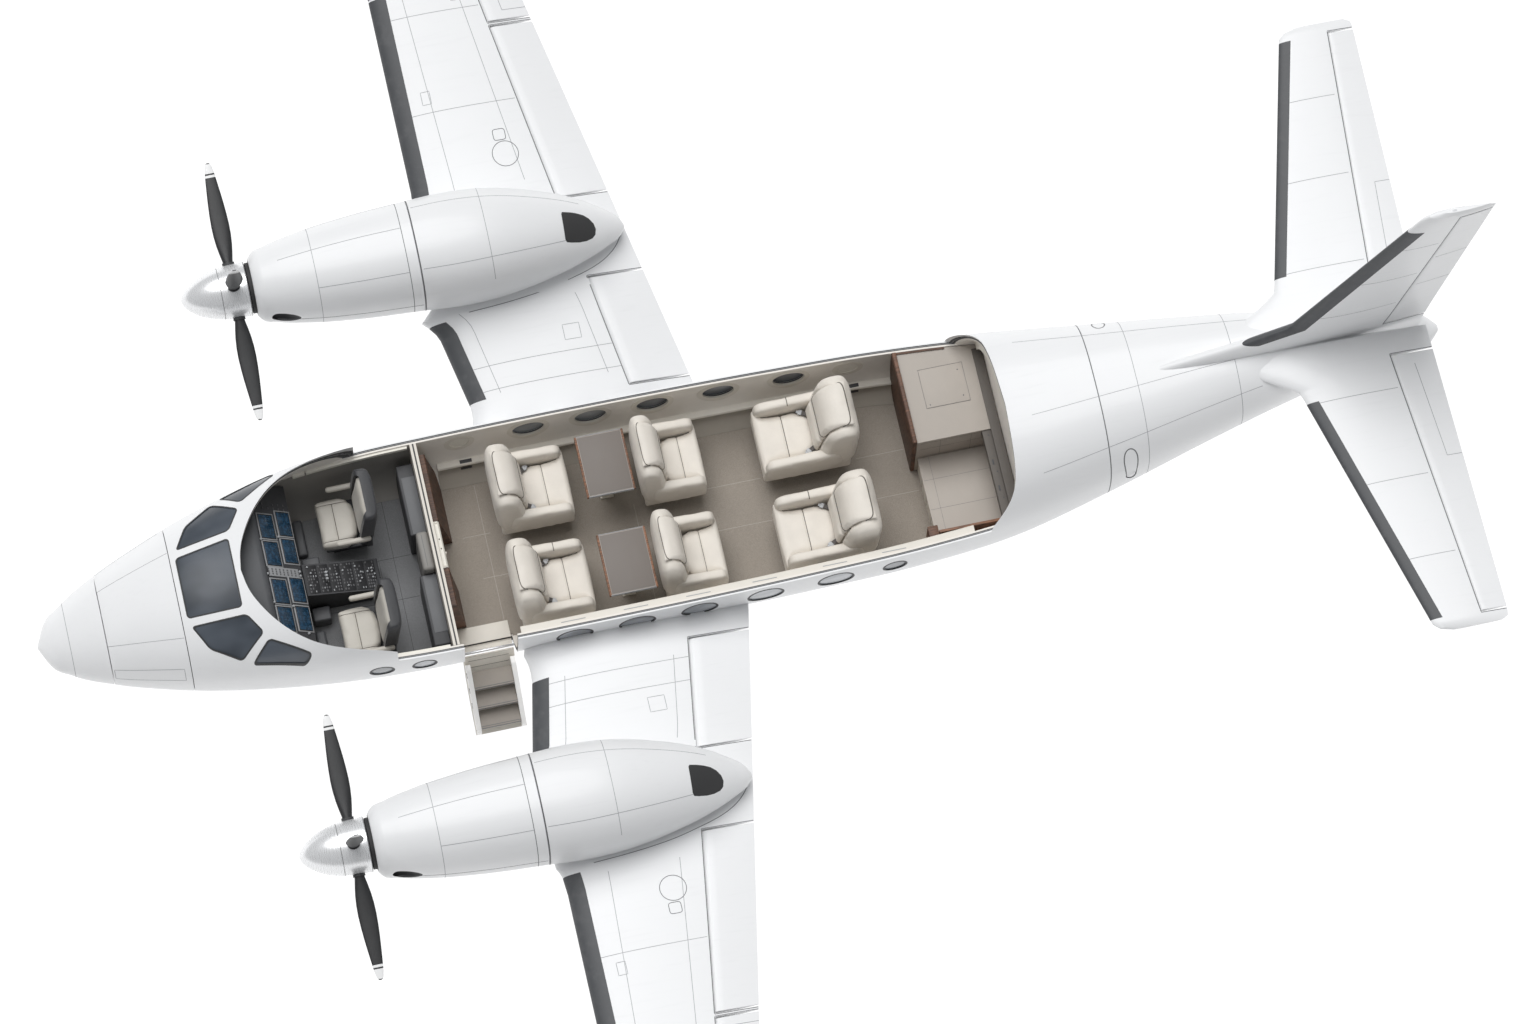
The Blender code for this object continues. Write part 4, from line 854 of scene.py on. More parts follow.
def grown(outline: Outline, distance: float) -> list[Pair]:
    """A convex outline moved outward by a distance, or inward if that is negative."""
    area = sum(x0 * y1 - x1 * y0 for (x0, y0), (x1, y1) in zip(outline, [*outline[1:], outline[0]]))
    turn = math.copysign(1, area)
    moved = []
    for i, (x, y) in enumerate(outline):
        before, after = outline[i - 1], outline[(i + 1) % len(outline)]
        first = Vector((x - before[0], y - before[1])).normalized()
        second = Vector((after[0] - x, after[1] - y)).normalized()
        normal = Vector((first.y + second.y, -first.x - second.x)) * turn
        normal *= 2 / normal.length_squared
        moved.append((x + normal.x * distance, y + normal.y * distance))
    return moved


# Bodies drawn by sections

Row = tuple[float, float, float, float, float, float]


@dataclass(frozen=True)
class Form:
    """A body drawn by superellipse sections: station, half width, middle height, above, below, squareness."""

    rows: tuple[Row, ...]
    centre_x: float = 0.0

    def row_at(self, station: float) -> np.ndarray:
        """The row of the table at a station, on a smooth curve through the rows."""
        rows = np.array(self.rows, float)
        at = rows[:, 0]
        i = int(np.clip(np.searchsorted(at, station, side="right") - 1, 0, len(at) - 2))
        span = at[i + 1] - at[i]
        t = (station - at[i]) / span
        slopes = np.gradient(rows, at, axis=0)
        return (
            (2 * t**3 - 3 * t**2 + 1) * rows[i]
            + (t**3 - 2 * t**2 + t) * span * slopes[i]
            + (-2 * t**3 + 3 * t**2) * rows[i + 1]
            + (t**3 - t**2) * span * slopes[i + 1]
        )

    def on(self, row: np.ndarray, angle: float, inset: float) -> Pair:
        """X and Z of a section's point at an angle, counted from port over the top."""
        _, half, middle, above, below, power = row
        c, s = math.cos(angle), math.sin(angle)
        x = (half - inset) * math.copysign(abs(c) ** (2 / power), c)
        tall = (above if s > 0 else below) - inset
        return self.centre_x + x, middle + tall * math.copysign(abs(s) ** (2 / power), s)

    def point(self, station: float, angle: float, inset: float = 0.0) -> Point:
        """The point of the skin at a station and an angle."""
        x, z = self.on(self.row_at(station), angle, inset)
        return x, at_station(station), z

    def top(self, x: float, station: float, inset: float = 0.0) -> Point:
        """The point of the upper skin above a place in plan."""
        _, half, middle, above, _, power = self.row_at(station)
        part = min(0.9995, abs(x - self.centre_x) / (half - inset))
        return x, at_station(station), middle + (above - inset) * (1 - part**power) ** (1 / power)

    def side(self, station: float, height: float, sign: int = 1, inset: float = 0.0) -> Point:
        """The point of the skin on one side at a height."""
        _, half, middle, above, below, power = self.row_at(station)
        part = min(0.9995, abs(height - middle) / ((above if height > middle else below) - inset))
        x = self.centre_x + sign * (half - inset) * (1 - part**power) ** (1 / power)
        return x, at_station(station), height

    def ring(self, station: float, inset: float = 0.0, around: int = 96) -> list[Point]:
        """A whole section as a closed loop."""
        row = self.row_at(station)
        y = at_station(station)
        return [
            (x, y, z)
            for x, z in (self.on(row, 2 * math.pi * (k + 0.5) / around, inset) for k in range(around))
        ]

    def solid(
        self, stations: Sequence[float], inset: float = 0.0, around: int = 96, lip: float = 0.0
    ) -> BMesh:
        """A closed body through stations, its end rims drawn in by a lip to show the joint."""
        rings = [self.ring(s, inset, around) for s in stations]
        if lip:
            near, far = stations[0], stations[-1]
            rings = (
                [self.ring(near, inset + lip, around)] + [self.ring(near + lip, inset, around)] + rings[1:-1]
            )
            rings += [self.ring(far - lip, inset, around), self.ring(far, inset + lip, around)]
        return lofted(rings)

    def shell(self, stations: Sequence[float], outset: float, inset: float, around: int = 96) -> BMesh:
        """A closed wall between two depths under the skin, open at both ends like a pipe."""
        rings = [self.ring(s, outset, around) for s in stations]
        rings += [self.ring(s, inset, around) for s in reversed(stations)]
        return lofted([*rings, rings[0]], fill=False)

    def ring_seam(self, station: float, width: float) -> BMesh:
        """A joint right round the skin."""
        return ribbon(self.point, [(station, angle) for angle in turns(96, closed=True)], width)

    def long_seam(self, degrees: float, stations: Iterable[float], width: float) -> BMesh:
        """A joint along the skin at an angle."""
        return ribbon(self.point, [(station, math.radians(degrees)) for station in stations], width)


def spaced(start: float, end: float, spacing: float, power: float = 1.0) -> list[float]:
    """Evenly placed stations, or closer together at the start with a higher power."""
    steps = max(1, math.ceil((end - start) / spacing))
    return [start + (end - start) * (k / steps) ** power for k in range(steps + 1)]


FUSELAGE = Form((
    (0.00, 0.015, 1.08, 0.015, 0.015, 2.0), (0.08, 0.18, 1.09, 0.15, 0.15, 2.05),
    (0.25, 0.315, 1.115, 0.26, 0.26, 2.1), (0.60, 0.49, 1.19, 0.41, 0.40, 2.2),
    (1.00, 0.635, 1.27, 0.52, 0.50, 2.35), (1.28, 0.722, 1.33, 0.565, 0.56, 2.45),
    (1.86, 0.86, 1.46, 0.615, 0.69, 2.6), (2.50, 0.955, 1.56, 0.74, 0.80, 2.75),
    (3.10, 1.00, 1.605, 0.82, 0.85, 2.8), (3.80, 1.015, 1.63, 0.86, 0.87, 2.8),
    (5.20, 1.02, 1.64, 0.88, 0.88, 2.8), (6.80, 1.00, 1.60, 0.87, 0.85, 2.8),
    (7.80, 0.97, 1.57, 0.85, 0.81, 2.75), (8.70, 0.895, 1.60, 0.78, 0.74, 2.65),
    (9.60, 0.735, 1.78, 0.66, 0.64, 2.5), (10.50, 0.555, 2.02, 0.50, 0.50, 2.35),
    (11.00, 0.455, 2.13, 0.41, 0.42, 2.25), (11.80, 0.29, 2.19, 0.27, 0.29, 2.1),
    (12.40, 0.165, 2.12, 0.16, 0.17, 2.0), (12.62, 0.12, 2.09, 0.11, 0.12, 2.0),
    (12.71, 0.03, 2.08, 0.03, 0.03, 2.0),
))


# Fuselage


@dataclass(frozen=True)
class Window:
    """An oval cabin window: its station, half its length and height, and its sides."""

    station: float
    half_length: float
    half_height: float
    sides: tuple[Side, ...] = (Side.PORT, Side.STARBOARD)


@dataclass
class Fuselage:
    """The body: nose, tail and the cabin wall in three layers, with its roof cut away."""

    skin: float = 0.014
    core: float = 0.034
    wall: float = 0.050
    front: float = 1.283
    aft: float = 9.557
    cabin_front: float = 1.312
    cabin_aft: float = 8.748
    cut_height: float = 1.72
    window_height: float = 1.50
    door: tuple[float, float, float] = (3.66, 4.14, 0.95)
    cut_outline: tuple[Pair, ...] = (
        (0.00, 1.87), (0.20, 1.90), (0.38, 1.985), (0.55, 2.10), (0.70, 2.25), (0.82, 2.44),
        (0.91, 2.72), (0.975, 3.069), (1.30, 3.071),
    )
    cut_aft: tuple[Pair, ...] = (
        (1.30, 8.36), (0.93, 8.42), (0.86, 8.56), (0.76, 8.66), (0.60, 8.715), (0.00, 8.745),
    )
    windows: tuple[Window, ...] = tuple(
        [Window(s, 0.165, 0.15) for s in (4.65, 5.215, 5.78, 6.38, 7.02)]
        + [Window(s, 0.11, 0.11) for s in (2.92, 3.30, 7.56)]
        + [Window(4.02, 0.11, 0.11, (Side.STARBOARD,))]
    )
    shaded: tuple[float, ...] = (4.02, 7.56)
    panes: tuple[tuple[Pair, ...], ...] = (
        ((-0.285, 1.33), (-0.325, 1.82), (0.325, 1.82), (0.285, 1.33)),
        ((0.36, 1.35), (0.395, 1.84), (0.585, 1.96), (0.74, 1.73), (0.58, 1.47)),
        ((0.645, 1.99), (0.85, 2.34), (0.90, 2.27), (0.785, 1.81)),
    )

    def roof_cutter(self, drop: float = 0.0, grow: float = 0.0) -> Object:
        """The body that takes the roof away, lowered by a drop and grown in plan."""
        fore = softened(self.cut_outline[:8])
        aft = softened(self.cut_aft[1:])
        half = [(x + (grow if x else 0), y - grow) for x, y in fore] + [self.cut_outline[8], self.cut_aft[0]]
        half += [(x + (grow if x else 0), y + grow) for x, y in aft]
        port = [(x, at_station(y)) for x, y in half]
        outline = port + [(-x, y) for x, y in reversed(port[1:-1])]
        return helper("roof_cutter", prism(outline, self.cut_height - drop, 3.4))

    def window_sides(self) -> list[tuple[Window, Side]]:
        """Every window with each side that it is in."""
        return [(window, side) for window in self.windows for side in window.sides]

    def openings(self) -> list[Object]:
        """Cutters for the oval windows and for the door."""
        ovals = []
        for window, side in self.window_sides():
            bm = bmesh.new()
            bmesh.ops.create_cone(bm, cap_ends=True, segments=48, radius1=1, radius2=1, depth=0.7)
            place = Matrix.Translation((side.value, at_station(window.station), self.window_height))
            size = Matrix.Diagonal((1, window.half_length, window.half_height, 1))
            transform(bm, place, size, Matrix.Rotation(math.radians(90), 4, "Y"))
            ovals.append(bm)
        front, aft, sill = self.door
        door = slab((front, aft), (0.55, 1.3), (sill, 1.9))
        return [helper("window_cutter", merged(ovals)), helper("door_cutter", door)]

    def pane_outlines(self) -> list[list[Pair]]:
        """The five panes of the windshield in plan, port ones mirrored for starboard."""
        centre, quarter, side = [[(x, at_station(y)) for x, y in pane] for pane in self.panes]
        return [centre, quarter, side, *([(-x, y) for x, y in pane] for pane in (quarter, side))]

    def build_skins(self) -> list[Object]:
        """Nose, nose bay and tail, each drawn in at its ends so that the joints show."""
        tail_stations = [*spaced(9.563, 12.6, 0.08), 12.63, 12.66, 12.685, 12.70, 12.71]
        nose = new_piece("radome", FUSELAGE.solid(spaced(0, 0.597, 0.02, 1.5), lip=0.003), WHITE)
        bay = new_piece("nose_bay", FUSELAGE.solid(spaced(0.603, 1.277, 0.05), lip=0.003), WHITE)
        tail = new_piece("tail_cone", FUSELAGE.solid(tail_stations, lip=0.003), WHITE)
        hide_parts("radome")
        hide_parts("nose_bay")
        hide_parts("tail_cone")
        return [nose, bay, tail]

    def build_cabin(self) -> list[Object]:
        """The wall's layers: white skin, a dark core that lies a little lower, and the cream lining."""
        panes = helper("pane_cutter", merged(prism(p, 1.5, 2.6, 0.035, 6) for p in self.pane_outlines()))
        openings = (*self.openings(), panes)
        flush, sunk, low = self.roof_cutter(), self.roof_cutter(0.010), self.roof_cutter(0.003)
        stations = spaced(self.cabin_front, self.cabin_aft, 0.1)
        skin = carved(FUSELAGE.shell(spaced(self.front, self.aft, 0.1), 0, self.skin), (*openings, flush))
        core = carved(FUSELAGE.shell(stations, self.skin + 0.0005, self.core), (*openings, sunk))
        lining = carved(FUSELAGE.shell(stations, self.core + 0.0005, self.wall), (*openings, low))
        rib = carved(FUSELAGE.shell(stations, 0.0225, 0.0265), (*openings, low))
        under = slab((8.0, 9.0), (-1.3, 1.3), (0.0, 1.80))
        rim = carved(FUSELAGE.shell([8.690, 8.72, 8.7475], 0.0502, 0.13), (low, under))
        discard((*openings, flush, sunk, low))
        pieces = [
            new_piece("cabin_skin", skin, WHITE, smooth=30),
            new_piece("cabin_wall_core", core, CUT_CORE, smooth=30),
            new_piece("cabin_lining", lining, LINING, smooth=30),
            new_piece("cabin_wall_rib", rib, GREY_TRIM, smooth=30),
            new_piece("aft_rim", rim, DOOR_CREAM, smooth=30),
            new_piece("aft_bulkhead", FUSELAGE.solid([8.752, 8.80], self.skin + 0.0005), LINING),
            new_piece("front_bulkhead", FUSELAGE.solid([1.285, 1.309], self.skin + 0.0005), CUT_CORE),
        ]
        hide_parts("fuselage_shell")
        return pieces

    def build_windshield(self) -> list[Object]:
        """Five panes flush with the skin, each in a dark gasket."""
        stations = spaced(1.2, 2.6, 0.05)
        sheet = helper("glass_depth", FUSELAGE.shell(stations, 0.004, 0.016))
        seal = helper("gasket_depth", FUSELAGE.shell(stations, -0.0016, 0.020))
        glass, gaskets = [], []
        for outline in self.pane_outlines():
            glass.append(carved(prism(grown(outline, -0.001), 1.5, 2.6, 0.034, 6), keep=(sheet,)))
            hole = prism(grown(outline, -0.011), 1.4, 2.7, 0.026, 6)
            gaskets.append(carved(prism(grown(outline, 0.002), 1.5, 2.6, 0.037, 6), (hole,), (seal,)))
        discard((sheet, seal))
        panes = new_piece("windshield_panes", merged(glass), GLASS, smooth=25)
        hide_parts("windshield")
        return [panes, new_piece("windshield_gaskets", merged(gaskets), GASKET, smooth=25)]

    def window_ring(
        self, window: Window, side: Side, inner: float, outer: float, near: float, far: float
    ) -> BMesh:
        """A ring round an oval window between two depths under the skin.

        Args:
            window: the window.
            side: which wall.
            inner: how far inside the opening's edge the ring begins.
            outer: how far outside it the ring ends.
            near: depth of its outer face under the skin.
            far: depth of its inner face.

        Returns:
            The closed ring.
        """
        rings = []
        for angle in turns(48):
            ring = []
            for reach, depth in ((-inner, near), (outer, near), (outer, far), (-inner, far)):
                station = window.station + (window.half_length + reach) * math.cos(angle)
                height = self.window_height + (window.half_height + reach) * math.sin(angle)
                ring.append(FUSELAGE.side(station, height, side.value, depth))
            rings.append(ring)
        return lofted([*rings, rings[0]], fill=False)

    def window_pane(self, window: Window, side: Side) -> BMesh:
        """The oval sheet of glass of a window."""

        def place(u: float, v: float) -> Point:
            """A point of the oval by its angle and its part of the way out."""
            angle = 2 * math.pi * u
            station = window.station + (window.half_length - 0.001) * v * math.cos(angle)
            height = self.window_height + (window.half_height - 0.001) * v * math.sin(angle)
            return FUSELAGE.side(station, height, side.value, 0.008)

        pane = mapped_grid(20, 5, place)
        bmesh.ops.recalc_face_normals(pane, faces=pane.faces)
        bmesh.ops.solidify(pane, geom=pane.faces[:], thickness=0.005)
        return pane

    def build_windows(self) -> list[Object]:
        """Panes, outer gaskets and cream inner bezels of the oval windows."""
        glass, seals, bezels, shades = [], [], [], []
        for window, side in self.window_sides():
            seals.append(self.window_ring(window, side, 0.014, 0.004, -0.0012, 0.012))
            bezels.append(self.window_ring(window, side, 0.020, 0.012, 0.036, 0.0545))
            bezels.append(self.window_ring(window, side, -0.0125, 0.030, 0.048, 0.0535))
            if window.station in self.shaded:
                shades.append(
                    self.window_ring(window, side, window.half_height - 0.004, -0.008, 0.043, 0.048)
                )
            glass.append(self.window_pane(window, side))
        return [
            new_piece("cabin_window_panes", merged(glass), WINDOW_GLASS),
            new_piece("cabin_window_gaskets", merged(seals), GASKET, smooth=30),
            new_piece("cabin_window_bezels", merged(bezels), LEDGE, smooth=30),
            new_piece("cabin_window_shades", merged(shades), DOOR_CREAM, smooth=30),
        ]

    def build_seams(self) -> list[Object]:
        """Panel joints of the skin, strong ones and faint ones, with hatches and small ovals."""
        strong = [FUSELAGE.ring_seam(9.56, 0.008)]
        faint = [FUSELAGE.ring_seam(station, 0.005) for station in (0.28, 9.92, 10.80)]
        for angles, stations in (
            ((46, 84, 128, -35, 215), spaced(8.95, 11.0, 0.1)), ((58, 116), spaced(0.60, 1.27, 0.05)),
        ):
            faint += [FUSELAGE.long_seam(degrees, stations, 0.004) for degrees in angles]
        for x, station, radius in ((-0.615, 9.744, 0.075), (0.66, 9.748, 0.085)):
            strong.append(ribbon(FUSELAGE.top, oval(x, station, radius * 0.8, radius * 0.75), 0.010))
        hatch = [(0.62, 0.30), (1.22, 0.30), (1.22, 0.78), (0.62, 0.78)]
        for base, sign in ((0.0, 1), (math.pi, -1)):
            corners = [(station, base + sign * angle * 0.6) for station, angle in hatch]
            faint.append(ribbon(FUSELAGE.point, dense(corners, 0.04, True), 0.005))
        return [
            new_piece("fuselage_seams", merged(strong), SEAM, smooth=30),
            new_piece("fuselage_faint_seams", merged(faint), SEAM_SOFT, smooth=30),
        ]


# Wings and tail surfaces


@dataclass(frozen=True)
class Foil:
    """A section: its span, leading edge, hinge line, trailing edge, thickness and height."""

    span: float
    leading: float
    hinge: float
    trailing: float
    thickness: float
    lift: float = 0.0

    def half(self, aft: float) -> float:
        """Half the thickness at a distance behind the leading edge."""
        f = min(max(aft / (self.trailing - self.leading), 0.0), 1.0)
        shape = 0.2969 * math.sqrt(f) - 0.1260 * f - 0.3516 * f**2 + 0.2843 * f**3 - 0.1036 * f**4
        return 5 * self.thickness * shape + 0.002 * f


@dataclass(frozen=True)
class Opening:
    """Where a moving surface is let into a fixed one: its node and body, and the span it takes."""

    node: str
    start: float
    end: float
    gap: float = 0.015


@dataclass(frozen=True)
class Fillet:
    """A root fairing that draws the leading edge forward near a span."""

    span: float
    reach: float
    forward: float
    outward: int = 1


@dataclass
class LiftingSurface:
    """A wing half, a tailplane half or the fin, with its moving surfaces, boots and seams."""

    name: str
    rows: tuple[Foil, ...]
    side: int
    openings: tuple[Opening, ...]
    finish: Finish = WHITE
    fillets: tuple[Fillet, ...] = ()
    boots: tuple[tuple[float, float, float], ...] = ()
    clearance: float = 0.007
    step: float = 0.0005

    def at(self, span: float) -> Foil:
        """The section at a span, with its fillets."""
        spans = [row.span for row in self.rows]
        names = ("span", "leading", "hinge", "trailing", "thickness", "lift")
        values = {n: float(np.interp(span, spans, [getattr(row, n) for row in self.rows])) for n in names}
        for fillet in self.fillets:
            away = (span - fillet.span) * fillet.outward / fillet.reach
            if -0.5 < away < 1:
                values["leading"] -= fillet.forward * (1 - max(away, 0)) ** 2
        return Foil(**values)

    def place(self, foil: Foil, aft: float, height: float) -> Point:
        """A section's point in the frame; the fin stands up and the others lie flat."""
        if self.side == 0:
            return height, at_station(foil.leading + aft), foil.span
        return self.side * foil.span, at_station(foil.leading + aft), foil.lift + height

    def upper(self, span: float, station: float) -> Point:
        """The point of the upper skin, or the fin's port skin, at a span and a station."""
        foil = self.at(span)
        return self.place(foil, station - foil.leading, foil.half(station - foil.leading))

    def lower(self, span: float, station: float) -> Point:
        """The point of the lower skin, or the fin's starboard skin."""
        foil = self.at(span)
        return self.place(foil, station - foil.leading, -foil.half(station - foil.leading))

    def fixed_ring(self, span: float, is_cut: bool) -> list[Point]:
        """A section of the fixed surface, hollowed round the hinge where a moving surface lies."""
        foil = self.at(span)
        chord = foil.trailing - foil.leading
        hinge = foil.hinge - foil.leading
        radius = foil.half(hinge) + self.clearance
        corner = hinge - radius * math.cos(math.radians(55))
        parts = [1, 0.92, 0.83, 0.73, 0.62, 0.5, 0.39, 0.29, 0.2, 0.13, 0.078, 0.042, 0.018, 0.005]
        upper = [(corner * f, foil.half(corner * f)) for f in parts]
        lower = [(a, -h) for a, h in reversed(upper)]
        if is_cut:
            angles = [math.radians(-55 + 10 * k) for k in range(12)]
            aft = [(hinge - radius * math.cos(a), radius * math.sin(a)) for a in angles]
        else:
            run = [corner + (chord - corner) * k / 6 for k in range(1, 7)]
            aft = [(a, -foil.half(a)) for a in run] + [(a, foil.half(a)) for a in reversed(run)]
        return [self.place(foil, a, h) for a, h in [*upper, (0.0, 0.0), *lower, *aft]]

    def moving_ring(self, span: float, inset: float = 0.0) -> list[Point]:
        """A section of a moving surface: a round nose about the hinge, then back to the trailing edge."""
        foil = self.at(span)
        chord = foil.trailing - foil.leading
        hinge = foil.hinge - foil.leading
        radius = foil.half(hinge)
        angles = [math.radians(90 - 15 * k) for k in range(13)]
        nose = [(hinge - (radius - inset) * math.cos(a), (radius - inset) * math.sin(a)) for a in angles]
        run = [hinge + (chord - inset - hinge) * k / 7 for k in range(1, 8)]
        tail = [(a, -max(foil.half(a) - inset, 0.0006)) for a in run] + [
            (a, max(foil.half(a) - inset, 0.0006)) for a in reversed(run)
        ]
        return [self.place(foil, a, h) for a, h in nose + tail]

    def spans(self) -> list[tuple[float, bool]]:
        """Spans of the fixed surface's sections, each with whether its aft part is cut away there."""
        cuts = [(o.start, o.end) for o in self.openings]
        places = {row.span for row in self.rows}
        for fillet in self.fillets:
            places |= {fillet.span + fillet.outward * fillet.reach * k / 8 for k in range(9)}
        low, high = self.rows[0].span, self.rows[-1].span
        places |= {low + (high - low) * k / 24 for k in range(25)}
        marked = [
            (span, any(start < span < end for start, end in cuts))
            for span in places
            if low <= span <= high and all(min(abs(span - e) for e in edge) > 0.004 for edge in cuts)
        ]
        for start, end in cuts:
            marked += [(start, False), (start + self.step, True), (end - self.step, True), (end, False)]
        return sorted(marked)

    def chord_line(
        self, skin: Place, span: float, start: tuple[str, float], end: tuple[str, float], spacing: float
    ) -> BMesh:
        """A seam across the surface at a span.

        Args:
            skin: the upper or the lower skin.
            span: where the seam lies.
            start: where it starts, as the name of one of the section's stations and a distance behind it.
            end: where it ends, given likewise.
            spacing: distance between its points.

        Returns:
            The seam.
        """
        foil = self.at(span)
        ends = [(span, getattr(foil, name) + behind) for name, behind in (start, end)]
        return ribbon(skin, dense(ends, spacing), 0.005)

    def span_line(
        self, skin: Place, start: float, length: float, steps: int, station: Callable[[Foil], float]
    ) -> BMesh:
        """A seam along the span, at the station that a function gives for each section."""
        spans = [start + length * k / steps for k in range(steps + 1)]
        return ribbon(skin, [(span, station(self.at(span))) for span in spans], 0.005)

    def build_fixed(self) -> Object:
        """The fixed surface."""
        hull = FUSELAGE.solid(spaced(3.4, 12.705, 0.15), 0.006)
        bm = carved(lofted([self.fixed_ring(span, is_cut) for span, is_cut in self.spans()]), (hull,))
        piece = new_piece(f"{self.name}_skin", bm, self.finish, smooth=28)
        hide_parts(self.name)
        return piece

    def build_moving(self) -> list[Object]:
        """The moving surfaces, each with softened ends, on its own body."""
        pieces = []
        for opening in self.openings:
            start, end = opening.start + opening.gap, opening.end - opening.gap
            rings = [self.moving_ring(start, 0.003), self.moving_ring(start + 0.003)]
            rings += [self.moving_ring(start + (end - start) * k / 8) for k in range(1, 8)]
            rings += [self.moving_ring(end - 0.003), self.moving_ring(end, 0.003)]
            piece = new_piece(f"{opening.node}_skin", lofted(rings), self.finish, opening.node, smooth=28)
            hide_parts(opening.node)
            pieces.append(piece)
        return pieces

    def build_boots(self) -> list[Object]:
        """Black de-icing boots that wrap round the leading edge."""
        parts = []
        for start, end, reach in self.boots:
            rings = []
            for k in range(13):
                foil = self.at(start + (end - start) * k / 12)
                back = [reach * (1 - t) ** 2 for t in (0, 0.12, 0.25, 0.4, 0.55, 0.7, 0.84, 0.94)]
                outer = [(a - 0.0012, foil.half(a) + 0.0012) for a in back] + [(-0.0016, 0.0)]
                outer += [(a - 0.0012, -foil.half(a) - 0.0012) for a in reversed(back)]
                inner = [(a + 0.003, foil.half(a) - 0.003) for a in back] + [(0.004, 0.0)]
                inner += [(a + 0.003, -foil.half(a) + 0.003) for a in reversed(back)]
                rings.append([self.place(foil, a, h) for a, h in outer + inner[::-1]])
            parts.append(lofted(rings))
        return [new_piece(f"{self.name}_boots", merged(parts), BOOT, smooth=40)] if parts else []

    def build_hinge_lines(self) -> Object:
        """Dark joints along each moving surface and at its ends, on both skins."""
        parts = []
        for skin in (self.upper, self.lower):
            for opening in self.openings:
                joint = []
                for k in range(25):
                    span = opening.start + (opening.end - opening.start) * k / 24
                    foil = self.at(span)
                    radius = foil.half(foil.hinge - foil.leading) + self.clearance
                    joint.append((span, foil.hinge - radius * math.cos(math.radians(55)) - 0.007))
                parts.append(ribbon(skin, joint, 0.008))
                for (span, station), shift in ((joint[0], -0.006), (joint[-1], 0.006)):
                    end = self.at(span + shift).trailing - 0.006
                    parts.append(
                        ribbon(skin, dense([(span + shift, station), (span + shift, end)], 0.04), 0.006)
                    )
        return new_piece(f"{self.name}_hinge_lines", merged(parts), SEAM, smooth=30)

    def build(self) -> list[Object]:
        """Every piece of the surface."""
        return [self.build_fixed(), *self.build_moving(), *self.build_boots(), self.build_hinge_lines()]


def wing_foil(span: float, leading: float, trailing: float, ratio: float = 0.14) -> Foil:
    """A row of the wing's plan; the hinge line is straight and the wing rises with its dihedral."""
    hinge = min(5.87 - 0.157 * span, trailing - 0.1)
    lift = 1.32 + math.tan(math.radians(6)) * (span - 1.1)
    return Foil(span, leading, hinge, trailing, ratio * (trailing - leading), lift)


WING_ROWS = (
    wing_foil(0.80, 4.25, 6.267), wing_foil(1.335, 4.196, 6.160), wing_foil(2.14, 4.03, 5.999),
    wing_foil(3.15, 4.085, 5.797), wing_foil(7.00, 4.06, 5.027), wing_foil(7.10, 4.12, 4.99),
    wing_foil(7.17, 4.25, 4.90, 0.11), wing_foil(7.20, 4.42, 4.78, 0.08),
)
TAILPLANE_ROWS = (
    Foil(0.08, 10.86, 12.17, 12.545, 0.130, 2.465), Foil(0.30, 11.10, 12.1869, 12.5486, 0.1256, 2.4678),
    Foil(0.48, 11.30, 12.2007, 12.5516, 0.1220, 2.4701), Foil(2.82, 11.915, 12.38, 12.59, 0.075, 2.50),
    Foil(2.87, 11.97, 12.38, 12.58, 0.065, 2.50), Foil(2.90, 12.08, 12.38, 12.52, 0.030, 2.50),
)
FIN_ROWS = (
    Foil(2.16, 9.60, 12.105, 12.515, 0.150), Foil(2.44, 9.95, 12.16, 12.525, 0.145),
    Foil(2.60, 10.52, 12.19, 12.55, 0.140), Foil(2.75, 11.05, 12.22, 12.57, 0.135),
    Foil(2.86, 11.27, 12.24, 12.585, 0.130), Foil(4.94, 12.26, 12.635, 12.905, 0.085),
    Foil(5.00, 12.33, 12.645, 12.92, 0.075), Foil(5.03, 12.46, 12.65, 12.86, 0.035),
)


